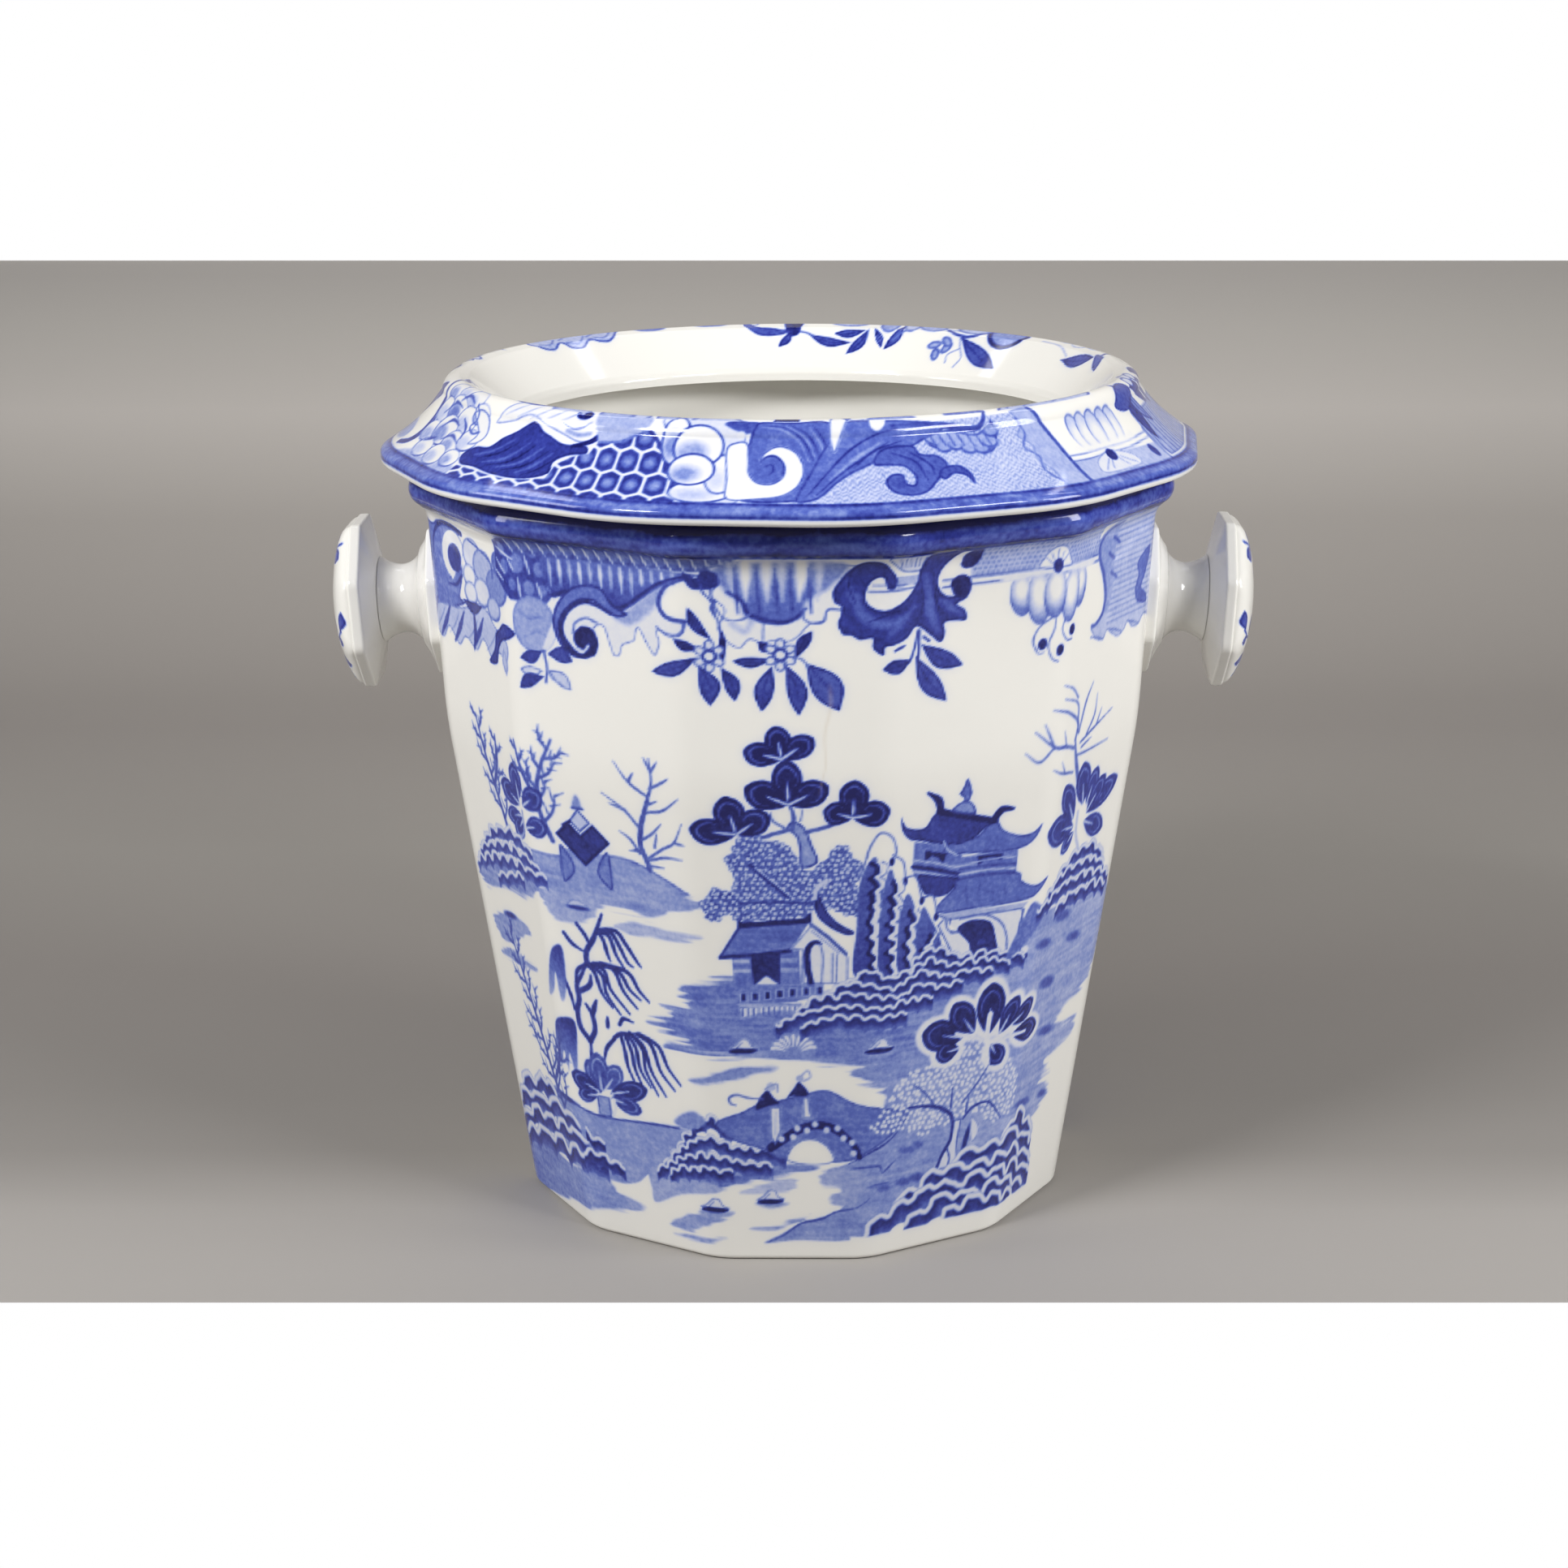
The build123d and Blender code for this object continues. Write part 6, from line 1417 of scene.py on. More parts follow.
def make_mesh(name: str, points: np.ndarray, quads: np.ndarray, whole: bool, shape: tuple, ends: tuple,
              ink: np.ndarray, stain: np.ndarray) -> bpy.types.Object:
    """Mesh object from a grid of points in millimetres.

    Args:
        name: Name of the object.
        points: The points, row by row.
        quads: Corner numbers of each four-sided face, in grid order.
        whole: Whether the grid goes right round, with its end rows at the axis.
        shape: Rows and columns of the grid.
        ends: Texture places of the grid's lines, across and up.
        ink: Ink tone of each point.
        stain: Stain of each point.

    Returns:
        The object, smooth except at its cut faces.
    """
    n, m = shape
    u_ends, v_ends = ends
    spans = n - 1 if whole else n
    cells = len(quads) // spans
    j, i = np.divmod(np.arange(len(quads)), cells)
    u0, u1 = 0.02 + 0.93 * u_ends[i], 0.02 + 0.93 * u_ends[i + 1]
    v0, v1 = 0.01 + 0.98 * v_ends[j], 0.01 + 0.98 * v_ends[j + 1]
    if whole:
        v = (v0, v0, v1, v1)
    else:
        v = (v0, v0, v1, v1)
    u = (u0, u1, u1, u0)
    uv = np.stack([np.stack([u[k], v[k]], axis=-1) for k in range(4)], axis=1)
    if whole:
        points = points.copy()
        keep = np.arange(n * m)
        keep[:m], keep[-m:] = 0, (n - 1) * m
        quads = keep[quads]
        low, high = quads[:cells], quads[-cells:]
        middle, middle_uv = quads[cells:-cells], uv[cells:-cells]
        faces = np.concatenate([middle.ravel(), low[:, [0, 2, 3]].ravel(), high[:, [0, 1, 2]].ravel()])
        loops_uv = np.concatenate([middle_uv.reshape(-1, 2), uv[:cells][:, [0, 2, 3]].reshape(-1, 2),
                                   uv[-cells:][:, [0, 1, 2]].reshape(-1, 2)])
        sizes = np.concatenate([np.full(len(middle), 4), np.full(2 * cells, 3)])
    else:
        start = np.arange(n) * m
        end = start[::-1] + m - 1
        cut = np.stack([np.linspace(0.962, 0.976, n), np.linspace(0.02, 0.98, n)], axis=-1)
        faces = np.concatenate([quads.ravel(), start, end])
        loops_uv = np.concatenate([uv.reshape(-1, 2), cut, cut[::-1] + np.array([0.015, 0.0])])
        sizes = np.concatenate([np.full(len(quads), 4), [n, n]])
    used = np.unique(faces)
    number = np.full(len(points), -1)
    number[used] = np.arange(len(used))
    faces = number[faces]
    mesh = bpy.data.meshes.new(name)
    mesh.vertices.add(len(used))
    mesh.vertices.foreach_set("co", (points[used] * MM).astype(np.float32).ravel())
    mesh.loops.add(len(faces))
    mesh.loops.foreach_set("vertex_index", faces.astype(np.int32))
    mesh.polygons.add(len(sizes))
    mesh.polygons.foreach_set("loop_start", np.concatenate([[0], np.cumsum(sizes)[:-1]]).astype(np.int32))
    mesh.update(calc_edges=True)
    mesh.validate()
    mesh.uv_layers.new(name="OFBake").data.foreach_set("uv", loops_uv.astype(np.float32).ravel())
    for label, values in (("ink", ink), ("stain", stain)):
        mesh.attributes.new(label, "FLOAT", "POINT").data.foreach_set("value", values[used].astype(np.float32))
    mesh.polygons.foreach_set("use_smooth", np.ones(len(sizes), dtype=bool))
    mesh.set_sharp_from_angle(angle=math.radians(50))
    piece = bpy.data.objects.new(name, mesh)
    bpy.context.scene.collection.objects.link(piece)
    LOG.info("%s: %d points, %d faces", name, len(used), len(sizes))
    return piece


def linear(red: float, green: float, blue: float) -> tuple:
    """Linear colour of a screen colour given in 0 to 255."""
    return tuple(c / 12.92 if c <= 0.04045 else ((c + 0.055) / 1.055)**2.4
                 for c in (red / 255.0, green / 255.0, blue / 255.0)) + (1.0,)


class NodeBench:
    """Short ways to add and join shader nodes in one tree."""

    def __init__(self, tree: bpy.types.NodeTree) -> None:
        """Work in the given tree."""
        self.tree = tree

    def add(self, kind: str, inputs: dict | None = None, **settings) -> bpy.types.Node:
        """New node of a kind, with its settings, and its inputs given as values or as sockets."""
        node = self.tree.nodes.new(kind)
        for name, value in settings.items():
            setattr(node, name, value)
        for key, value in (inputs or {}).items():
            if isinstance(value, bpy.types.NodeSocket):
                self.tree.links.new(value, node.inputs[key])
            else:
                node.inputs[key].default_value = value
        return node

    def math(self, operation: str, *values, clamp: bool = False):
        """Result of a math node on sockets or numbers."""
        return self.add("ShaderNodeMath", dict(enumerate(values)), operation=operation, use_clamp=clamp).outputs[0]

    def ramp(self, value, stops: list):
        """Colour of a ramp through (place, colour) stops."""
        node = self.add("ShaderNodeValToRGB", {"Fac": value})
        points = node.color_ramp.elements
        while len(points) < len(stops):
            points.new(0.5)
        for point, (place, colour) in zip(points, stops):
            point.position, point.color = place, colour
        return node.outputs["Color"]

    def noise(self, scale: float, detail: float = 2.0, where=None):
        """Noise value, 0 to 1, on the object's own coordinates."""
        place = where or self.add("ShaderNodeTexCoord").outputs["Object"]
        return self.add("ShaderNodeTexNoise", {"Vector": place, "Scale": scale, "Detail": detail}).outputs["Fac"]


def new_group(name: str, inputs: dict, outputs: dict) -> tuple:
    """New shader node group.

    Args:
        name: Name of the group.
        inputs: Socket kind of each input by name.
        outputs: Socket kind of each output by name.

    Returns:
        The group, a bench on it, its input node and its output node.
    """
    group = bpy.data.node_groups.new(name, "ShaderNodeTree")
    for label, kind in inputs.items():
        group.interface.new_socket(label, in_out="INPUT", socket_type=kind)
    for label, kind in outputs.items():
        group.interface.new_socket(label, in_out="OUTPUT", socket_type=kind)
    bench = NodeBench(group)
    return group, bench, bench.add("NodeGroupInput"), bench.add("NodeGroupOutput")


@dataclass(frozen=True)
class BluePrint:
    """Cobalt printed under a clear glaze: from the bare white to the darkest line."""

    white: tuple = linear(236, 234, 228)
    pale: tuple = linear(186, 194, 225)
    wash: tuple = linear(127, 144, 204)
    mid: tuple = linear(84, 102, 185)
    deep: tuple = linear(50, 60, 151)
    dark: tuple = linear(20, 22, 88)
    stain: tuple = linear(196, 176, 148)
    mottle: float = 0.24
    grain: float = 620.0
    blot: float = 150.0

    def group(self) -> bpy.types.NodeTree:
        """Node group that turns ink and stain into colour, with the print's blots and grain.

        The ink is changed by (noise - 0.5) * mottle * its own place between bare and dark, so that
        the bare white and the darkest lines stay even.
        """
        group, bench, given, out = new_group("Blue print", {"Ink": "NodeSocketFloat", "Stain": "NodeSocketFloat"},
                                             {"Color": "NodeSocketColor"})
        ink, stain = given.outputs["Ink"], given.outputs["Stain"]
        grain = bench.math("SUBTRACT", bench.noise(self.grain, 2.0), 0.5)
        blot = bench.math("SUBTRACT", bench.noise(self.blot, 3.0), 0.5)
        both = bench.math("ADD", bench.math("MULTIPLY", grain, 1.2), blot)
        body = bench.math("MULTIPLY", ink, bench.math("SUBTRACT", 1.35, ink))
        change = bench.math("MULTIPLY", bench.math("MULTIPLY", both, body), self.mottle * 2.0)
        tone = bench.math("ADD", ink, change, clamp=True)
        colour = bench.ramp(tone, [(0.0, self.white), (0.26, self.pale), (0.47, self.wash), (0.62, self.mid),
                                   (0.8, self.deep), (1.0, self.dark)])
        brown = bench.add("ShaderNodeMix", {"Factor": stain, "A": colour, "B": self.stain}, data_type="RGBA")
        bench.tree.links.new(brown.outputs["Result"], out.inputs["Color"])
        return group


def glaze_skin_group() -> bpy.types.NodeTree:
    """Node group of a hand-dipped glaze: shallow pools as a height, and a slightly uneven gloss."""
    group, bench, _, out = new_group("Glaze skin", {}, {"Height": "NodeSocketFloat", "Roughness": "NodeSocketFloat"})
    pools = bench.math("MULTIPLY", bench.noise(26.0, 1.0), 1.0)
    peel = bench.math("MULTIPLY", bench.noise(240.0, 2.0), 0.12)
    bench.tree.links.new(bench.math("ADD", pools, peel), out.inputs["Height"])
    rough = bench.math("ADD", bench.math("MULTIPLY", bench.noise(60.0, 3.0), 0.07), 0.06)
    bench.tree.links.new(rough, out.inputs["Roughness"])
    return group


@dataclass(frozen=True)
class Glaze:
    """Glossy lead glaze on a white earthenware body, with or without a print under it."""

    name: str
    ior: float = 1.5
    waviness: float = 0.00035
    body: tuple = linear(236, 234, 228)

    def material(self, skin: bpy.types.NodeTree, print_group: bpy.types.NodeTree | None) -> bpy.types.Material:
        """Make the material.

        Args:
            skin: Node group of the glaze's skin.
            print_group: Node group of the blue print, or None for a plain white.

        Returns:
            The material.
        """
        material = bpy.data.materials.new(self.name)
        material.use_nodes = True
        material.node_tree.nodes.clear()
        bench = NodeBench(material.node_tree)
        glaze = bench.add("ShaderNodeGroup", node_tree=skin)
        bump = bench.add("ShaderNodeBump", {"Height": glaze.outputs["Height"], "Distance": self.waviness,
                                            "Strength": 0.5})
        shader = bench.add("ShaderNodeBsdfPrincipled", {"Base Color": self.body, "IOR": self.ior,
                                                        "Roughness": glaze.outputs["Roughness"],
                                                        "Normal": bump.outputs["Normal"]})
        if print_group is not None:
            ink = bench.add("ShaderNodeAttribute", attribute_name="ink").outputs["Fac"]
            stain = bench.add("ShaderNodeAttribute", attribute_name="stain").outputs["Fac"]
            blue = bench.add("ShaderNodeGroup", {}, node_tree=print_group)
            bench.tree.links.new(ink, blue.inputs["Ink"])
            bench.tree.links.new(stain, blue.inputs["Stain"])
            bench.tree.links.new(blue.outputs["Color"], shader.inputs["Base Color"])
        out = bench.add("ShaderNodeOutputMaterial")
        bench.tree.links.new(shader.outputs["BSDF"], out.inputs["Surface"])
        return material


class Finish(Enum):
    """Finishes of the jar, by the record's slot names."""

    PRINTED = "printed_glaze"
    WHITE = "white_glaze"


@dataclass
class Jar:
    """The pail: twelve-sided wall with rolled lip, round mouth, inside and recessed foot."""

    height: float = 268.5
    soft: float = 24.0
    lip_soft: float = 24.0
    foot_roll: float = 1.6
    lip_flats: float = float(wall_flats(262.9)) + 5.6
    roll_reach: float = 4.6
    roll_rise: float = 5.6
    roll_height: float = 262.9
    cove: float = 9.0
    low_angle: float = -50.0
    mouth_radius: float = float(wall_flats(242.5)) - 7.85
    mouth_start: float = 242.5
    mouth_depth: float = 26.0
    wall: float = 7.0
    inner_soft: float = 18.0
    floor: float = 9.0
    floor_cove: float = 14.0
    foot_rim: float = 10.0
    recess: float = 3.0
    floor_disc: float = 70.0

    def stations(self) -> list:
        """Section of the wall from the foot's recess up the outside and down the inside."""
        bare = -1.0
        recess_flats = float(wall_flats(0.0)) - self.foot_rim
        rows = [(self.floor_disc, self.floor_disc, self.recess, bare),
                (recess_flats - self.recess, self.soft, self.recess, bare), (recess_flats, self.soft, 0.0, bare)]
        for angle in (0, 18, 36, 54, 72, 90):
            c, s = math.cos(math.radians(angle)), math.sin(math.radians(angle))
            height = self.foot_roll * (1 - c)
            rows.append((float(wall_flats(height)) - self.foot_roll * (1 - s), self.soft, height, height))
        low = math.radians(self.low_angle)
        roll_flats = self.lip_flats - self.roll_reach
        cove_top = self.roll_height + self.roll_rise * math.sin(low)
        cove_flats = roll_flats + self.roll_reach * math.cos(low)
        swell = cove_flats - float(wall_flats(cove_top))
        start = cove_top - self.cove
        for height in (60.0, 120.0, 171.0, 174.0, 177.0, 180.0, 183.0, 186.0, 189.0, 220.0, start):
            rows.append((float(wall_flats(height)), self.soft, height, height))
        for share in np.linspace(0.0, 1.0, 13)[1:-1]:
            height = start + self.cove * share
            soft = self.soft + (self.lip_soft - self.soft) * share
            rows.append((float(wall_flats(height)) + swell * share**3, soft, height, height))
        for angle in range(-50, 91, 10):
            c, s = math.cos(math.radians(angle)), math.sin(math.radians(angle))
            height = self.roll_height + self.roll_rise * s
            rows.append((roll_flats + self.roll_reach * c, self.lip_soft, height, height))
        rows.append((self.mouth_radius, self.mouth_radius, self.height, bare))
        rows.append((self.mouth_radius, self.mouth_radius, self.mouth_start, bare))
        for share in (0.75, 0.5, 0.25, 0.0):
            height = self.mouth_start - self.mouth_depth * (1 - share)
            faceted = float(wall_flats(height)) - self.wall
            rows.append((faceted + (self.mouth_radius - faceted) * share,
                         self.inner_soft + (self.mouth_radius - self.inner_soft) * share, height, bare))
        for height in (189.0, 183.0, 177.0, 171.0, 120.0, 60.0):
            rows.append((float(wall_flats(height)) - self.wall, self.inner_soft, height, bare))
        for angle in (90, 67.5, 45, 22.5, 0):
            c, s = math.cos(math.radians(angle)), math.sin(math.radians(angle))
            height = self.floor + self.floor_cove * (1 - c)
            rows.append((float(wall_flats(height)) - self.wall - self.floor_cove * (1 - s), self.inner_soft, height, bare))
        rows.append((self.floor_disc, self.floor_disc, self.floor, bare))
        return rows

    def rows(self, gap: float) -> np.ndarray:
        """Rows of the section: fine where the print lies, coarse inside."""
        stations = self.stations()
        split = next(i for i, row in enumerate(stations) if row[3] < 0 and i > 3)
        return np.vstack([fine_rows(stations[:3], 12.0)[:-1], fine_rows(stations[2:split], gap)[:-1],
                          fine_rows(stations[split - 1:], 9.0)])

    def build(self, sheet: PrintSheet) -> list:
        """Make the five wedges of wall and the disc of floor."""
        pieces = []
        for name, start, end, gap, across_gap in (("jar_front_left", -3, -1, 0.62, 0.64), ("jar_front", -1, 1, 0.62, 0.64),
                                                  ("jar_front_right", 1, 3, 0.62, 0.64), ("jar_back_right", 3, 6, 0.8, 0.85),
                                                  ("jar_back_left", 6, 9, 0.8, 0.85)):
            across = np.linspace(start, end, int((end - start) * PANEL / across_gap / 2) * 2 + 1)
            rows = self.rows(gap)
            x = (across * PANEL + 3 * PANEL) % (6 * PANEL) - 3 * PANEL
            grid_x, grid_v = np.meshgrid(x, rows[:, 3])
            ink = np.where(grid_v >= 0.0, sheet.sample(grid_x, grid_v), 0.0)
            stain = np.where((grid_v >= 0.0) & (end <= 3), self.crack(grid_x, grid_v), 0.0)
            piece = Loft(name, rows, across).build(ink, stain)
            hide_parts("jar_body")
            pieces.append(piece)
        r = self.floor_disc
        rows = np.array([(0.0, 0.0, self.recess, -1), (r / 2, r / 2, self.recess, -1), (r, r, self.recess, -1),
                         (r, r, self.floor, -1), (r / 2, r / 2, self.floor, -1), (0.0, 0.0, self.floor, -1)])
        across = np.linspace(0, SIDES, 97)
        bare = np.zeros((len(rows), len(across)))
        floor = Loft("jar_floor", rows, across).build(bare, bare)
        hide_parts("jar_body")
        return pieces + [floor]

    @staticmethod
    def crack(x: np.ndarray, z: np.ndarray) -> np.ndarray:
        """Hairline crack in the glaze, tan, below the border a little right of the middle."""
        line = 10.5 + 0.07 * (z - 180.0) + 0.5 * np.sin(z * 0.31)
        width = 0.35 + 0.012 * np.maximum(z - 186.0, 0.0)
        fade = np.clip((z - 176.0) / 8.0, 0, 1) * np.clip((216.0 - z) / 5.0, 0, 1)
        return 0.2 * fade * np.exp(-((x - line) / width)**2)


@dataclass
class Collar:
    """The loose ring: overhanging edge, hollow slope, rolled rim, funnel, opening and skirt."""

    seat: float = 268.5
    top: float = 300.0
    turn: float = -5.7
    soft: float = 80.0
    lip_flats: float = float(wall_flats(262.9)) + 5.6
    mouth_radius: float = float(wall_flats(242.5)) - 7.85

    def stations(self) -> tuple:
        """Printed part of the section, and the bare part under it."""
        edge_flats = self.lip_flats + 10.0
        rim = self.lip_flats - 16.3
        rows = []

        def soften(height: float) -> float:
            """Corner radius of the outside at a height."""
            share = max(0.0, height - self.seat - 5.2) / (self.top - self.seat - 5.2)
            return self.soft + (0.96 * rim - self.soft) * share**1.6

        for angle in range(-90, 1, 15):
            c, s = math.cos(math.radians(angle)), math.sin(math.radians(angle))
            rows.append((edge_flats - 1.8 + 1.8 * c, self.soft, self.seat + 1.6 + 1.8 * (1 + s)))
        for angle in range(0, 61, 15):
            c, s = math.cos(math.radians(angle)), math.sin(math.radians(angle))
            rows.append((edge_flats - 1.8 + 1.8 * c, self.soft, self.seat + 5.2 + 1.8 * s))
        flats0, height0 = rows[-1][0], rows[-1][2]
        height1, flats1 = self.top - 5.2, rim + 5.5
        for t in np.linspace(0.0, 1.0, 25)[1:-1]:
            height = (1 - t)**2 * height0 + 2 * t * (1 - t) * (height0 + 7.3) + t**2 * height1
            flats = (1 - t)**2 * flats0 + 2 * t * (1 - t) * (flats1 + 7.2) + t**2 * flats1
            rows.append((flats, soften(height), height))
        for angle in range(0, 91, 10):
            c, s = math.cos(math.radians(angle)), math.sin(math.radians(angle))
            rows.append((rim + 5.5 * c, soften(height1 + 5.2 * s), height1 + 5.2 * s))
        opening = rim - 18.0
        funnel_top = rim - 3.4
        low = self.top - 15.5
        for flats, height in ((funnel_top, self.top - 1.0), (opening + 1.0, low + 1.0), (opening, low - 1.0), (opening, low - 4.0)):
            rows.append((flats, flats, height))
        place = np.concatenate([[0.0], np.cumsum([math.hypot(b[0] - a[0], b[2] - a[2]) for a, b in zip(rows[:-1], rows[1:])])])
        printed = [row + (v,) for row, v in zip(rows, place)]

        def funnel(radius: float) -> float:
            """Height of the funnel's slope at a radius."""
            share = min(max((radius - opening) / (funnel_top - opening), 0.0), 1.0)
            return low + (self.top - 1.0 - low) * share

        skirt = self.mouth_radius - 1.5
        inner = skirt - 5.5
        under = [(opening, low - 4.0), (inner, funnel(inner) - 7.5), (inner, self.seat - 18.0), (skirt, self.seat - 18.0),
                 (skirt, funnel(skirt) - 13.0), (skirt + 9.0, self.seat + 7.5)]
        bare = [(flats, flats, height, -1.0) for flats, height in under]
        bare += [(skirt + 9.0, 0.9 * (skirt + 9.0), self.seat, -1.0), (self.lip_flats + 0.9, self.soft, self.seat, -1.0),
                 (edge_flats - 1.8, self.soft, self.seat + 1.6, -1.0)]
        return printed, bare

    def build(self, sheet: PrintSheet) -> list:
        """Make the three wedges of the ring."""
        printed, bare = self.stations()
        pieces = []
        for name, start, end, gap, across_gap in (("collar_front", -2, 2, 0.52, 0.5), ("collar_right", 2, 6, 0.6, 0.66),
                                                  ("collar_left", 6, 10, 0.6, 0.66)):
            across = np.linspace(start, end, int((end - start) * PANEL / across_gap / 2) * 2 + 1)
            rows = np.vstack([fine_rows(printed, gap)[:-1], fine_rows(bare, 7.0)[:-1]])
            x = (across * PANEL + 6 * PANEL) % (12 * PANEL) - 6 * PANEL
            grid_x, grid_v = np.meshgrid(x, rows[:, 3])
            ink = np.where(grid_v >= 0.0, sheet.sample(grid_x, grid_v), 0.0)
            piece = Loft(name, rows, across, turn=self.turn).build(ink, np.zeros_like(ink))
            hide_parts("loose_collar")
            pieces.append(piece)
        return pieces


@dataclass
class Knob:
    """A knob handle: faceted plate, hollow flare, round neck and a domed eight-sided disc."""

    side: int
    sides: int = 8
    height: float = 217.3
    tilt: float = math.degrees(math.atan(0.0561))
    plate: float = 26.5
    disc: float = 29.8
    stem: float = 23.0

    def place(self, points: np.ndarray) -> np.ndarray:
        """Stand points of the knob's own axis square on the wall, at +X or at -X."""
        a = math.radians(90.0 + self.tilt)
        x = points[:, 0] * math.cos(a) + points[:, 2] * math.sin(a) + float(wall_flats(self.height))
        z = -points[:, 0] * math.sin(a) + points[:, 2] * math.cos(a) + self.height
        return np.stack([self.side * x, self.side * points[:, 1], z], axis=-1)

    def stem_rows(self) -> np.ndarray:
        """Section of the stem, out from the wall."""
        plate_top, plate_soft = self.plate - 1.0, 6.0
        rows = [(0.0, 0.0, 0.0, 0.0), (self.plate * 0.9, 5.0, 0.0, 0.0), (self.plate, 5.0, 0.0, 0.0), (self.plate, 5.0, 3.0, 0.0)]
        for angle in (30, 60, 90):
            c, s = math.cos(math.radians(angle)), math.sin(math.radians(angle))
            rows.append((plate_top + c, 6.0 - c, 3.0 + s, 0.0))
        for share in np.linspace(0.0, 1.0, 7)[1:]:
            rows.append((plate_top + (18.5 - plate_top) * share, plate_soft + (18.5 - plate_soft) * share,
                         4.0 + 4.0 * share**1.4, 0.0))
        for share in np.linspace(0.0, 1.0, 11)[1:]:
            radius = 12.4 + 6.1 * (1 - share)**1.6
            rows.append((radius, radius, 8.0 + 7.0 * share**1.6, 0.0))
        for share in np.linspace(0.0, 1.0, 9)[1:]:
            radius = 12.4 + 3.1 * share**2
            rows.append((radius, radius, 15.0 + 8.0 * share, 0.0))
        rows.append((0.0, 0.0, self.stem, 0.0))
        return fine_rows(rows, 0.9)

    def disc_rows(self) -> np.ndarray:
        """Section of the disc: shallow back, faceted edge and dome."""
        back, low, high, eased = self.stem, self.stem + 3.8, self.stem + 8.0, self.disc - 0.85
        rows = [(0.0, 0.0, back, -1.0), (14.5, 14.5, back, -1.0), (eased, 5.0, low, -1.0)]
        for angle in (30, 60, 90):
            c, s = math.cos(math.radians(angle)), math.sin(math.radians(angle))
            rows.append((eased + 0.85 * s, 5.0, low + 0.85 * (1 - c), -1.0))
        rows.append((self.disc, 5.0, high - 0.85, -1.0))
        for angle in (30, 60, 90):
            c, s = math.cos(math.radians(angle)), math.sin(math.radians(angle))
            rows.append((eased + 0.85 * c, 5.0, high - 0.85 * (1 - s), -1.0 if angle < 90 else eased))
        for angle in range(5, 83, 5):
            c, s = math.cos(math.radians(angle)), math.sin(math.radians(angle))
            flats = eased * c
            rows.append((flats, 5.0 + (flats - 5.0) * s, high + 9.2 * s, flats))
        flats = eased * math.cos(math.radians(82))
        high_point = high + 9.2 * math.sin(math.radians(82))
        rows.append((flats, flats, high_point, flats))
        rows.append((0.0, 0.0, high_point, 0.0))
        return fine_rows(rows, 0.6)

    def build(self, sheet: PrintSheet | None) -> tuple:
        """Make the stem and the disc."""
        word = "right" if self.side > 0 else "left"
        across = np.linspace(0, self.sides, 193)
        rows = self.stem_rows()
        bare = np.zeros((len(rows), len(across)))
        stem = Loft(f"{word}_stem", rows, across, sides=self.sides).build(bare, bare, self.place)
        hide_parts(f"{word}_knob_stem")
        across = np.linspace(0, self.sides, 241)
        rows = self.disc_rows()
        x, y = facet_places(rows[:, 0:1], rows[:, 1:2], across[None, :], self.sides)
        on_face = rows[:, 3:4] >= 0.0
        ink = np.where(on_face, sheet.sample(y * self.side, -x), 0.0) if sheet else np.zeros(x.shape)
        disc = Loft(f"{word}_disc", rows, across, sides=self.sides).build(ink, np.zeros_like(ink), self.place)
        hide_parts(f"{word}_knob_disc")
        return stem, disc


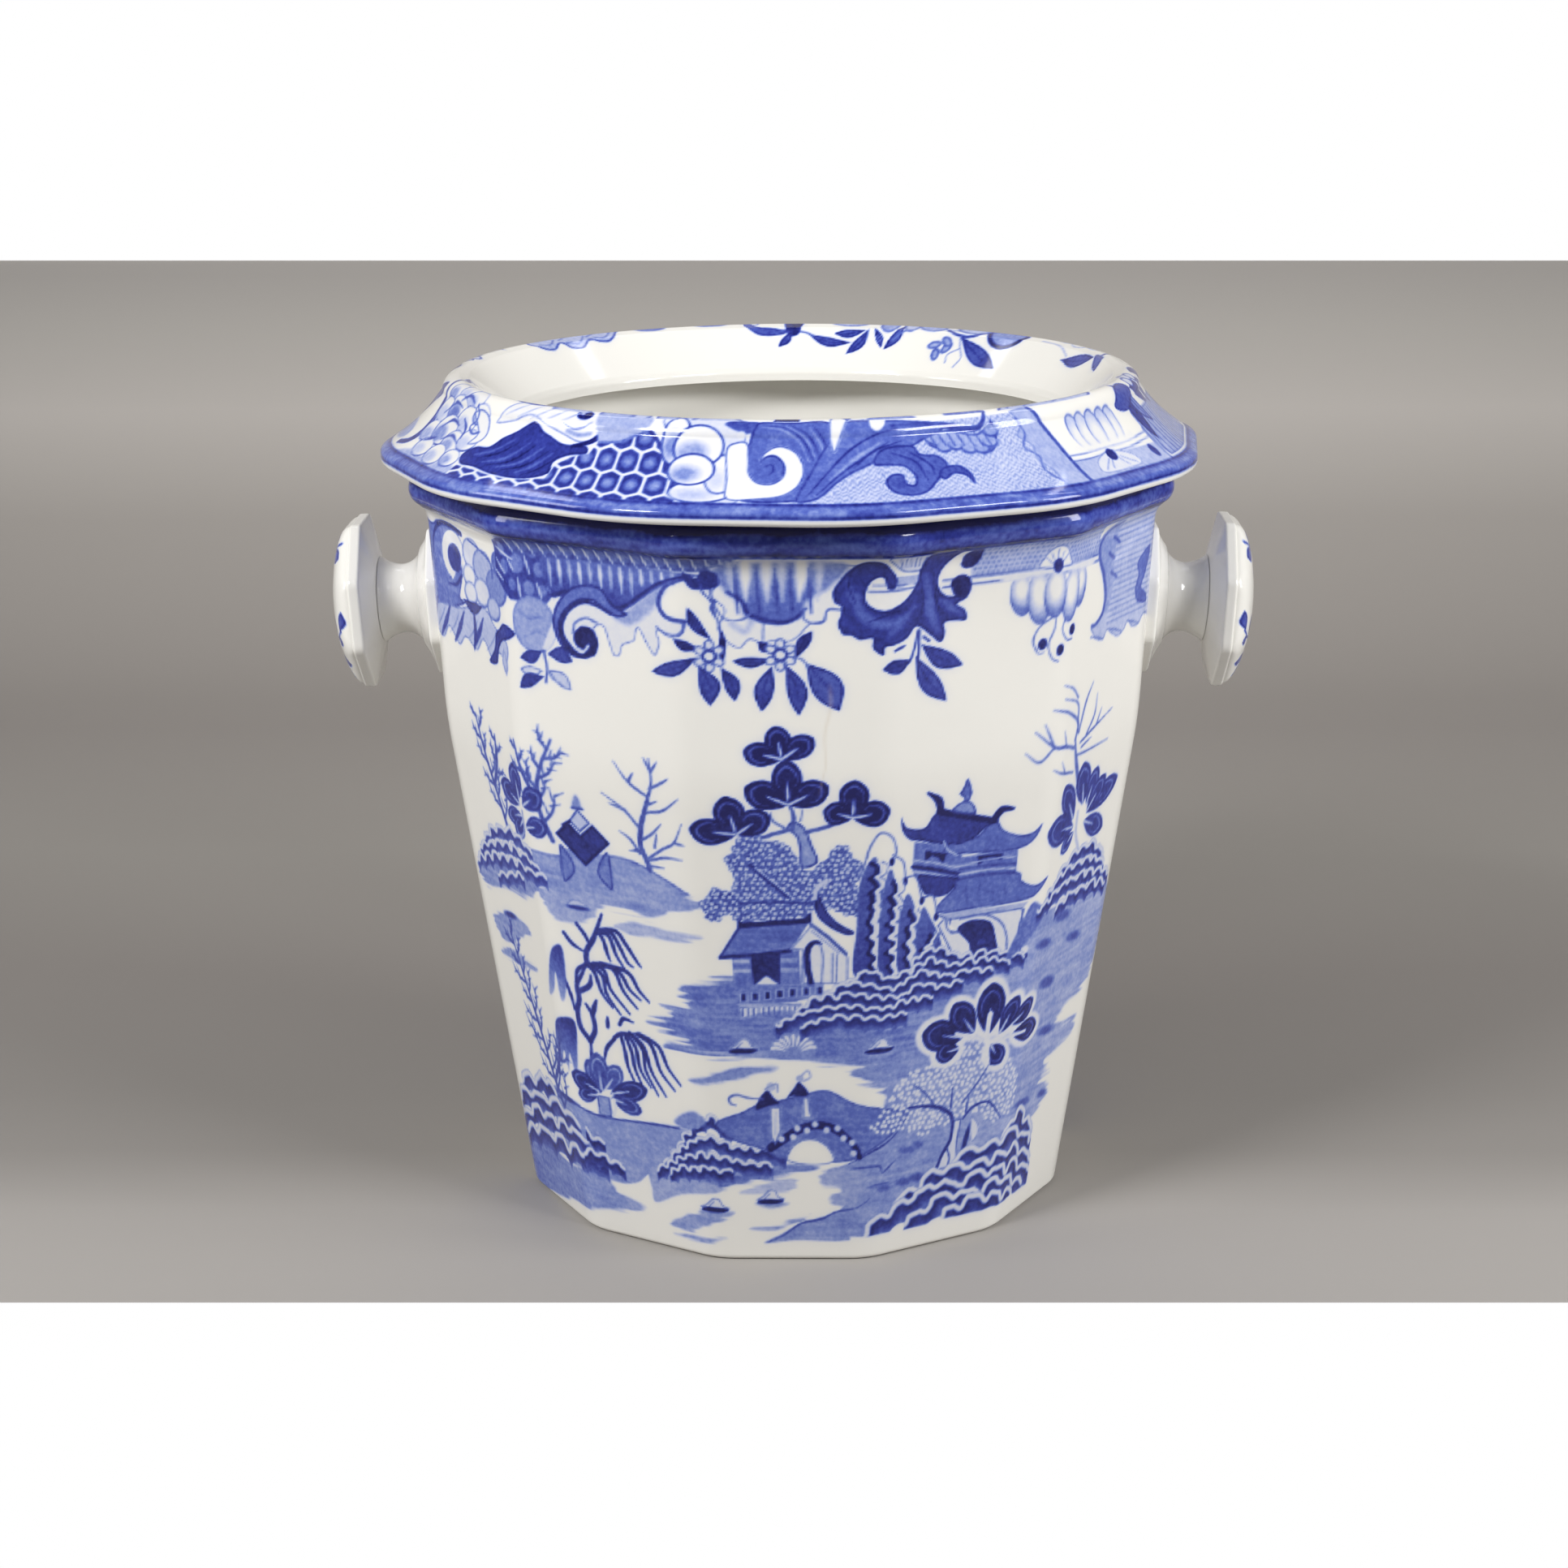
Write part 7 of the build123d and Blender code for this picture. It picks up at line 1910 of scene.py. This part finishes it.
@dataclass
class Studio:
    """Grey paper under and behind the jar with painted light and shade, a painted white glow past its edges, soft lamps
    and the camera.
    """

    lens: float = 70.86
    eye: tuple = (0.0182, -1.0938, 0.4568)
    pitch: float = -15.82
    heading: float = -1.138
    roll: float = -0.355
    high_edge: float = 321.0
    low_edge: float = 1605.0
    frame: float = 1932.0
    middle_row: float = 963.5
    back: float = 1.15
    bend: float = 0.45

    def axes(self) -> tuple:
        """Right, up and forward of the camera."""
        h, p, r = math.radians(self.heading), math.radians(self.pitch), math.radians(self.roll)
        forward = np.array([math.sin(h) * math.cos(p), math.cos(h) * math.cos(p), math.sin(p)])
        right = np.array([math.cos(h), -math.sin(h), 0.0])
        up = np.cross(right, forward)
        return right * math.cos(r) + up * math.sin(r), up * math.cos(r) - right * math.sin(r), forward

    def camera(self) -> bpy.types.Object:
        """The camera, placed as the photograph's was."""
        right, up, forward = self.axes()
        data = bpy.data.cameras.new("camera")
        data.lens, data.sensor_width = self.lens, 36.0
        data.shift_y = (self.middle_row - self.frame / 2) / self.frame
        camera = bpy.data.objects.new("camera", data)
        camera.matrix_world = Matrix([[right[i], up[i], -forward[i], self.eye[i]] for i in range(3)] + [[0, 0, 0, 1]])
        bpy.context.scene.collection.objects.link(camera)
        bpy.context.scene.camera = camera
        return camera

    def paper_rows(self) -> np.ndarray:
        """Side view of the paper: level floor, quarter bend, upright back."""
        angles = np.radians(np.linspace(0, 90, 25))
        bend = np.stack([self.back - self.bend + self.bend * np.sin(angles), self.bend * (1 - np.cos(angles))], axis=-1)
        return np.vstack([[(-1.6, 0.0), (-0.8, 0.0), (0.0, 0.0)], bend, [(self.back, 1.6)]])

    def paper(self) -> bpy.types.Object:
        """The sheet of grey paper, with painted light and shade by place."""
        rows = self.paper_rows()
        xs = np.linspace(-2.2, 2.2, 9)
        points = [(x, y, z) for y, z in rows for x in xs]
        n = len(xs)
        faces = [(i + j * n, i + 1 + j * n, i + 1 + (j + 1) * n, i + (j + 1) * n)
                 for j in range(len(rows) - 1) for i in range(n - 1)]
        mesh = bpy.data.meshes.new("paper")
        mesh.from_pydata(points, [], faces)
        mesh.polygons.foreach_set("use_smooth", np.ones(len(faces), dtype=bool))
        paper = bpy.data.objects.new("paper", mesh)
        paper.data.materials.append(self.paper_material())
        bpy.context.scene.collection.objects.link(paper)
        return paper

    def paper_material(self) -> bpy.types.Material:
        """Grey paper painted lighter and darker by distance back and height as painted light and shade, glowing plain
        white as painted light past the picture's edges.

        The edges are two planes through the camera's place, so each is a straight level line in the
        picture: white shows where the signed distance to a plane is above zero.
        """
        material = bpy.data.materials.new("paper")
        material.use_nodes = True
        material.node_tree.nodes.clear()
        bench = NodeBench(material.node_tree)
        place = bench.add("ShaderNodeNewGeometry").outputs["Position"]
        parts = bench.add("ShaderNodeSeparateXYZ", {"Vector": place})
        run = bench.math("ADD", parts.outputs["Y"], bench.math("MULTIPLY", parts.outputs["Z"], 1.0))
        share = bench.math("DIVIDE", bench.math("ADD", run, 0.6), 2.8, clamp=True)
        # Painted light and shade on the paper: lighter in front, darker in a level band through the jar's place, and
        # lighter again up the bend and the back.
        grey = bench.ramp(share, [(0.0, linear(150, 147, 143)), (0.194, linear(156, 152, 148)), (0.214, linear(137, 133, 129)),
                                  (0.236, linear(135, 131, 127)), (0.289, linear(141, 136, 132)), (0.355, linear(151, 147, 142)),
                                  (0.44, linear(146, 141, 137)), (0.571, linear(161, 156, 151)), (0.62, linear(181, 176, 171)),
                                  (0.655, linear(169, 165, 160)), (0.679, linear(158, 154, 150)), (0.69, linear(182, 177, 172)),
                                  (1.0, linear(182, 177, 172))])
        shader = bench.add("ShaderNodeBsdfPrincipled", {"Base Color": grey, "Roughness": 0.85})
        shader.inputs["Specular IOR Level"].default_value = 0.15
        # Painted white glow: past the picture's top and bottom edges the paper glows plain white, for camera rays only.
        white = bench.add("ShaderNodeEmission", {"Color": (1, 1, 1, 1), "Strength": 1.0})
        right, up, forward = self.axes()
        past = None
        focal = self.lens / 36.0 * self.frame
        for edge, sign in ((self.high_edge, 1.0), (self.low_edge, -1.0)):
            rise = (self.middle_row - edge) / focal
            normal = sign * (up - rise * forward)
            aim = bench.add("ShaderNodeVectorMath", {0: place, 1: tuple(normal)}, operation="DOT_PRODUCT").outputs["Value"]
            level = float(np.dot(normal, np.array(self.eye)))
            over = bench.math("GREATER_THAN", aim, level)
            past = over if past is None else bench.math("MAXIMUM", past, over)
        ray = bench.add("ShaderNodeLightPath").outputs["Is Camera Ray"]
        mix = bench.add("ShaderNodeMixShader", {0: bench.math("MULTIPLY", past, ray), 1: shader.outputs["BSDF"],
                                                2: white.outputs["Emission"]})
        out = bench.add("ShaderNodeOutputMaterial")
        bench.tree.links.new(mix.outputs["Shader"], out.inputs["Surface"])
        return material

    def lamp(self, name: str, place: tuple, size: tuple, power: float, aim: tuple = (0.0, 0.0, 0.16)) -> bpy.types.Object:
        """A soft rectangular lamp aimed at the jar's middle or at another place."""
        data = bpy.data.lights.new(name, "AREA")
        data.shape, data.size, data.size_y = "RECTANGLE", size[0], size[1]
        data.energy = power
        lamp = bpy.data.objects.new(name, data)
        lamp.location = place
        lamp.rotation_euler = (Vector(aim) - Vector(place)).to_track_quat("-Z", "Y").to_euler()
        bpy.context.scene.collection.objects.link(lamp)
        return lamp

    def world(self) -> None:
        """Even light from all round."""
        world = bpy.data.worlds.new("world")
        world.use_nodes = True
        back = world.node_tree.nodes["Background"]
        back.inputs["Color"].default_value = (1.0, 0.99, 0.98, 1.0)
        back.inputs["Strength"].default_value = 0.08
        bpy.context.scene.world = world

    def build(self) -> None:
        """Set up paper, lamps, world and camera."""
        self.paper()
        self.lamp("key", (-0.68, -0.76, 1.0), (0.34, 0.34), 12.2)
        self.lamp("second", (0.8, -0.72, 0.9), (0.34, 0.34), 6.9)
        self.lamp("left", (-0.95, -0.3, 0.5), (0.3, 0.5), 2.8)
        self.lamp("right", (0.95, -0.3, 0.5), (0.3, 0.5), 5.0)
        self.lamp("back", (0.0, 0.62, 1.3), (1.6, 0.3), 7.6, (0.0, 1.35, 0.5))
        self.world()
        self.camera()


def main() -> None:
    """Build the jar, its finishes and the studio."""
    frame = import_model()
    bpy.context.scene.view_settings.view_transform = "Standard"
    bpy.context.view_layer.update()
    logging.basicConfig(level=logging.INFO)
    LOG.info("frame of %s", frame.get("type", "part") if isinstance(frame, dict) else "part")
    wall = PrintSheet(-183.0, 183.0, 0.0, 269.0, 0.4)
    Landscape(wall).draw()
    WallBorder(wall).draw()
    wall.bleed(1.6, 0.15)
    ring = PrintSheet(-366.0, 366.0, 0.0, 72.0, 0.4)
    RingPrint(ring).draw()
    ring.bleed(1.6, 0.15)
    spray = PrintSheet(-31.0, 31.0, -31.0, 31.0, 0.4)
    KnobSpray(spray).draw()
    jar = Jar().build(wall)
    collar = Collar().build(ring)
    knobs = [Knob(side).build(spray) for side in (-1, 1)]
    skin = glaze_skin_group()
    printed = Glaze(Finish.PRINTED.value).material(skin, BluePrint().group())
    white = Glaze(Finish.WHITE.value).material(skin, None)
    for pieces, body, material, slot in ((jar, "jar", printed, Finish.PRINTED), (collar, "collar", printed, Finish.PRINTED),
                                         ([pair[0] for pair in knobs], "jar", white, Finish.WHITE),
                                         ([pair[1] for pair in knobs], "jar", printed, Finish.PRINTED)):
        for piece in pieces:
            piece.data.materials.append(material)
            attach(piece, body)
    Studio().build()


if __name__ == "__main__":
    main()
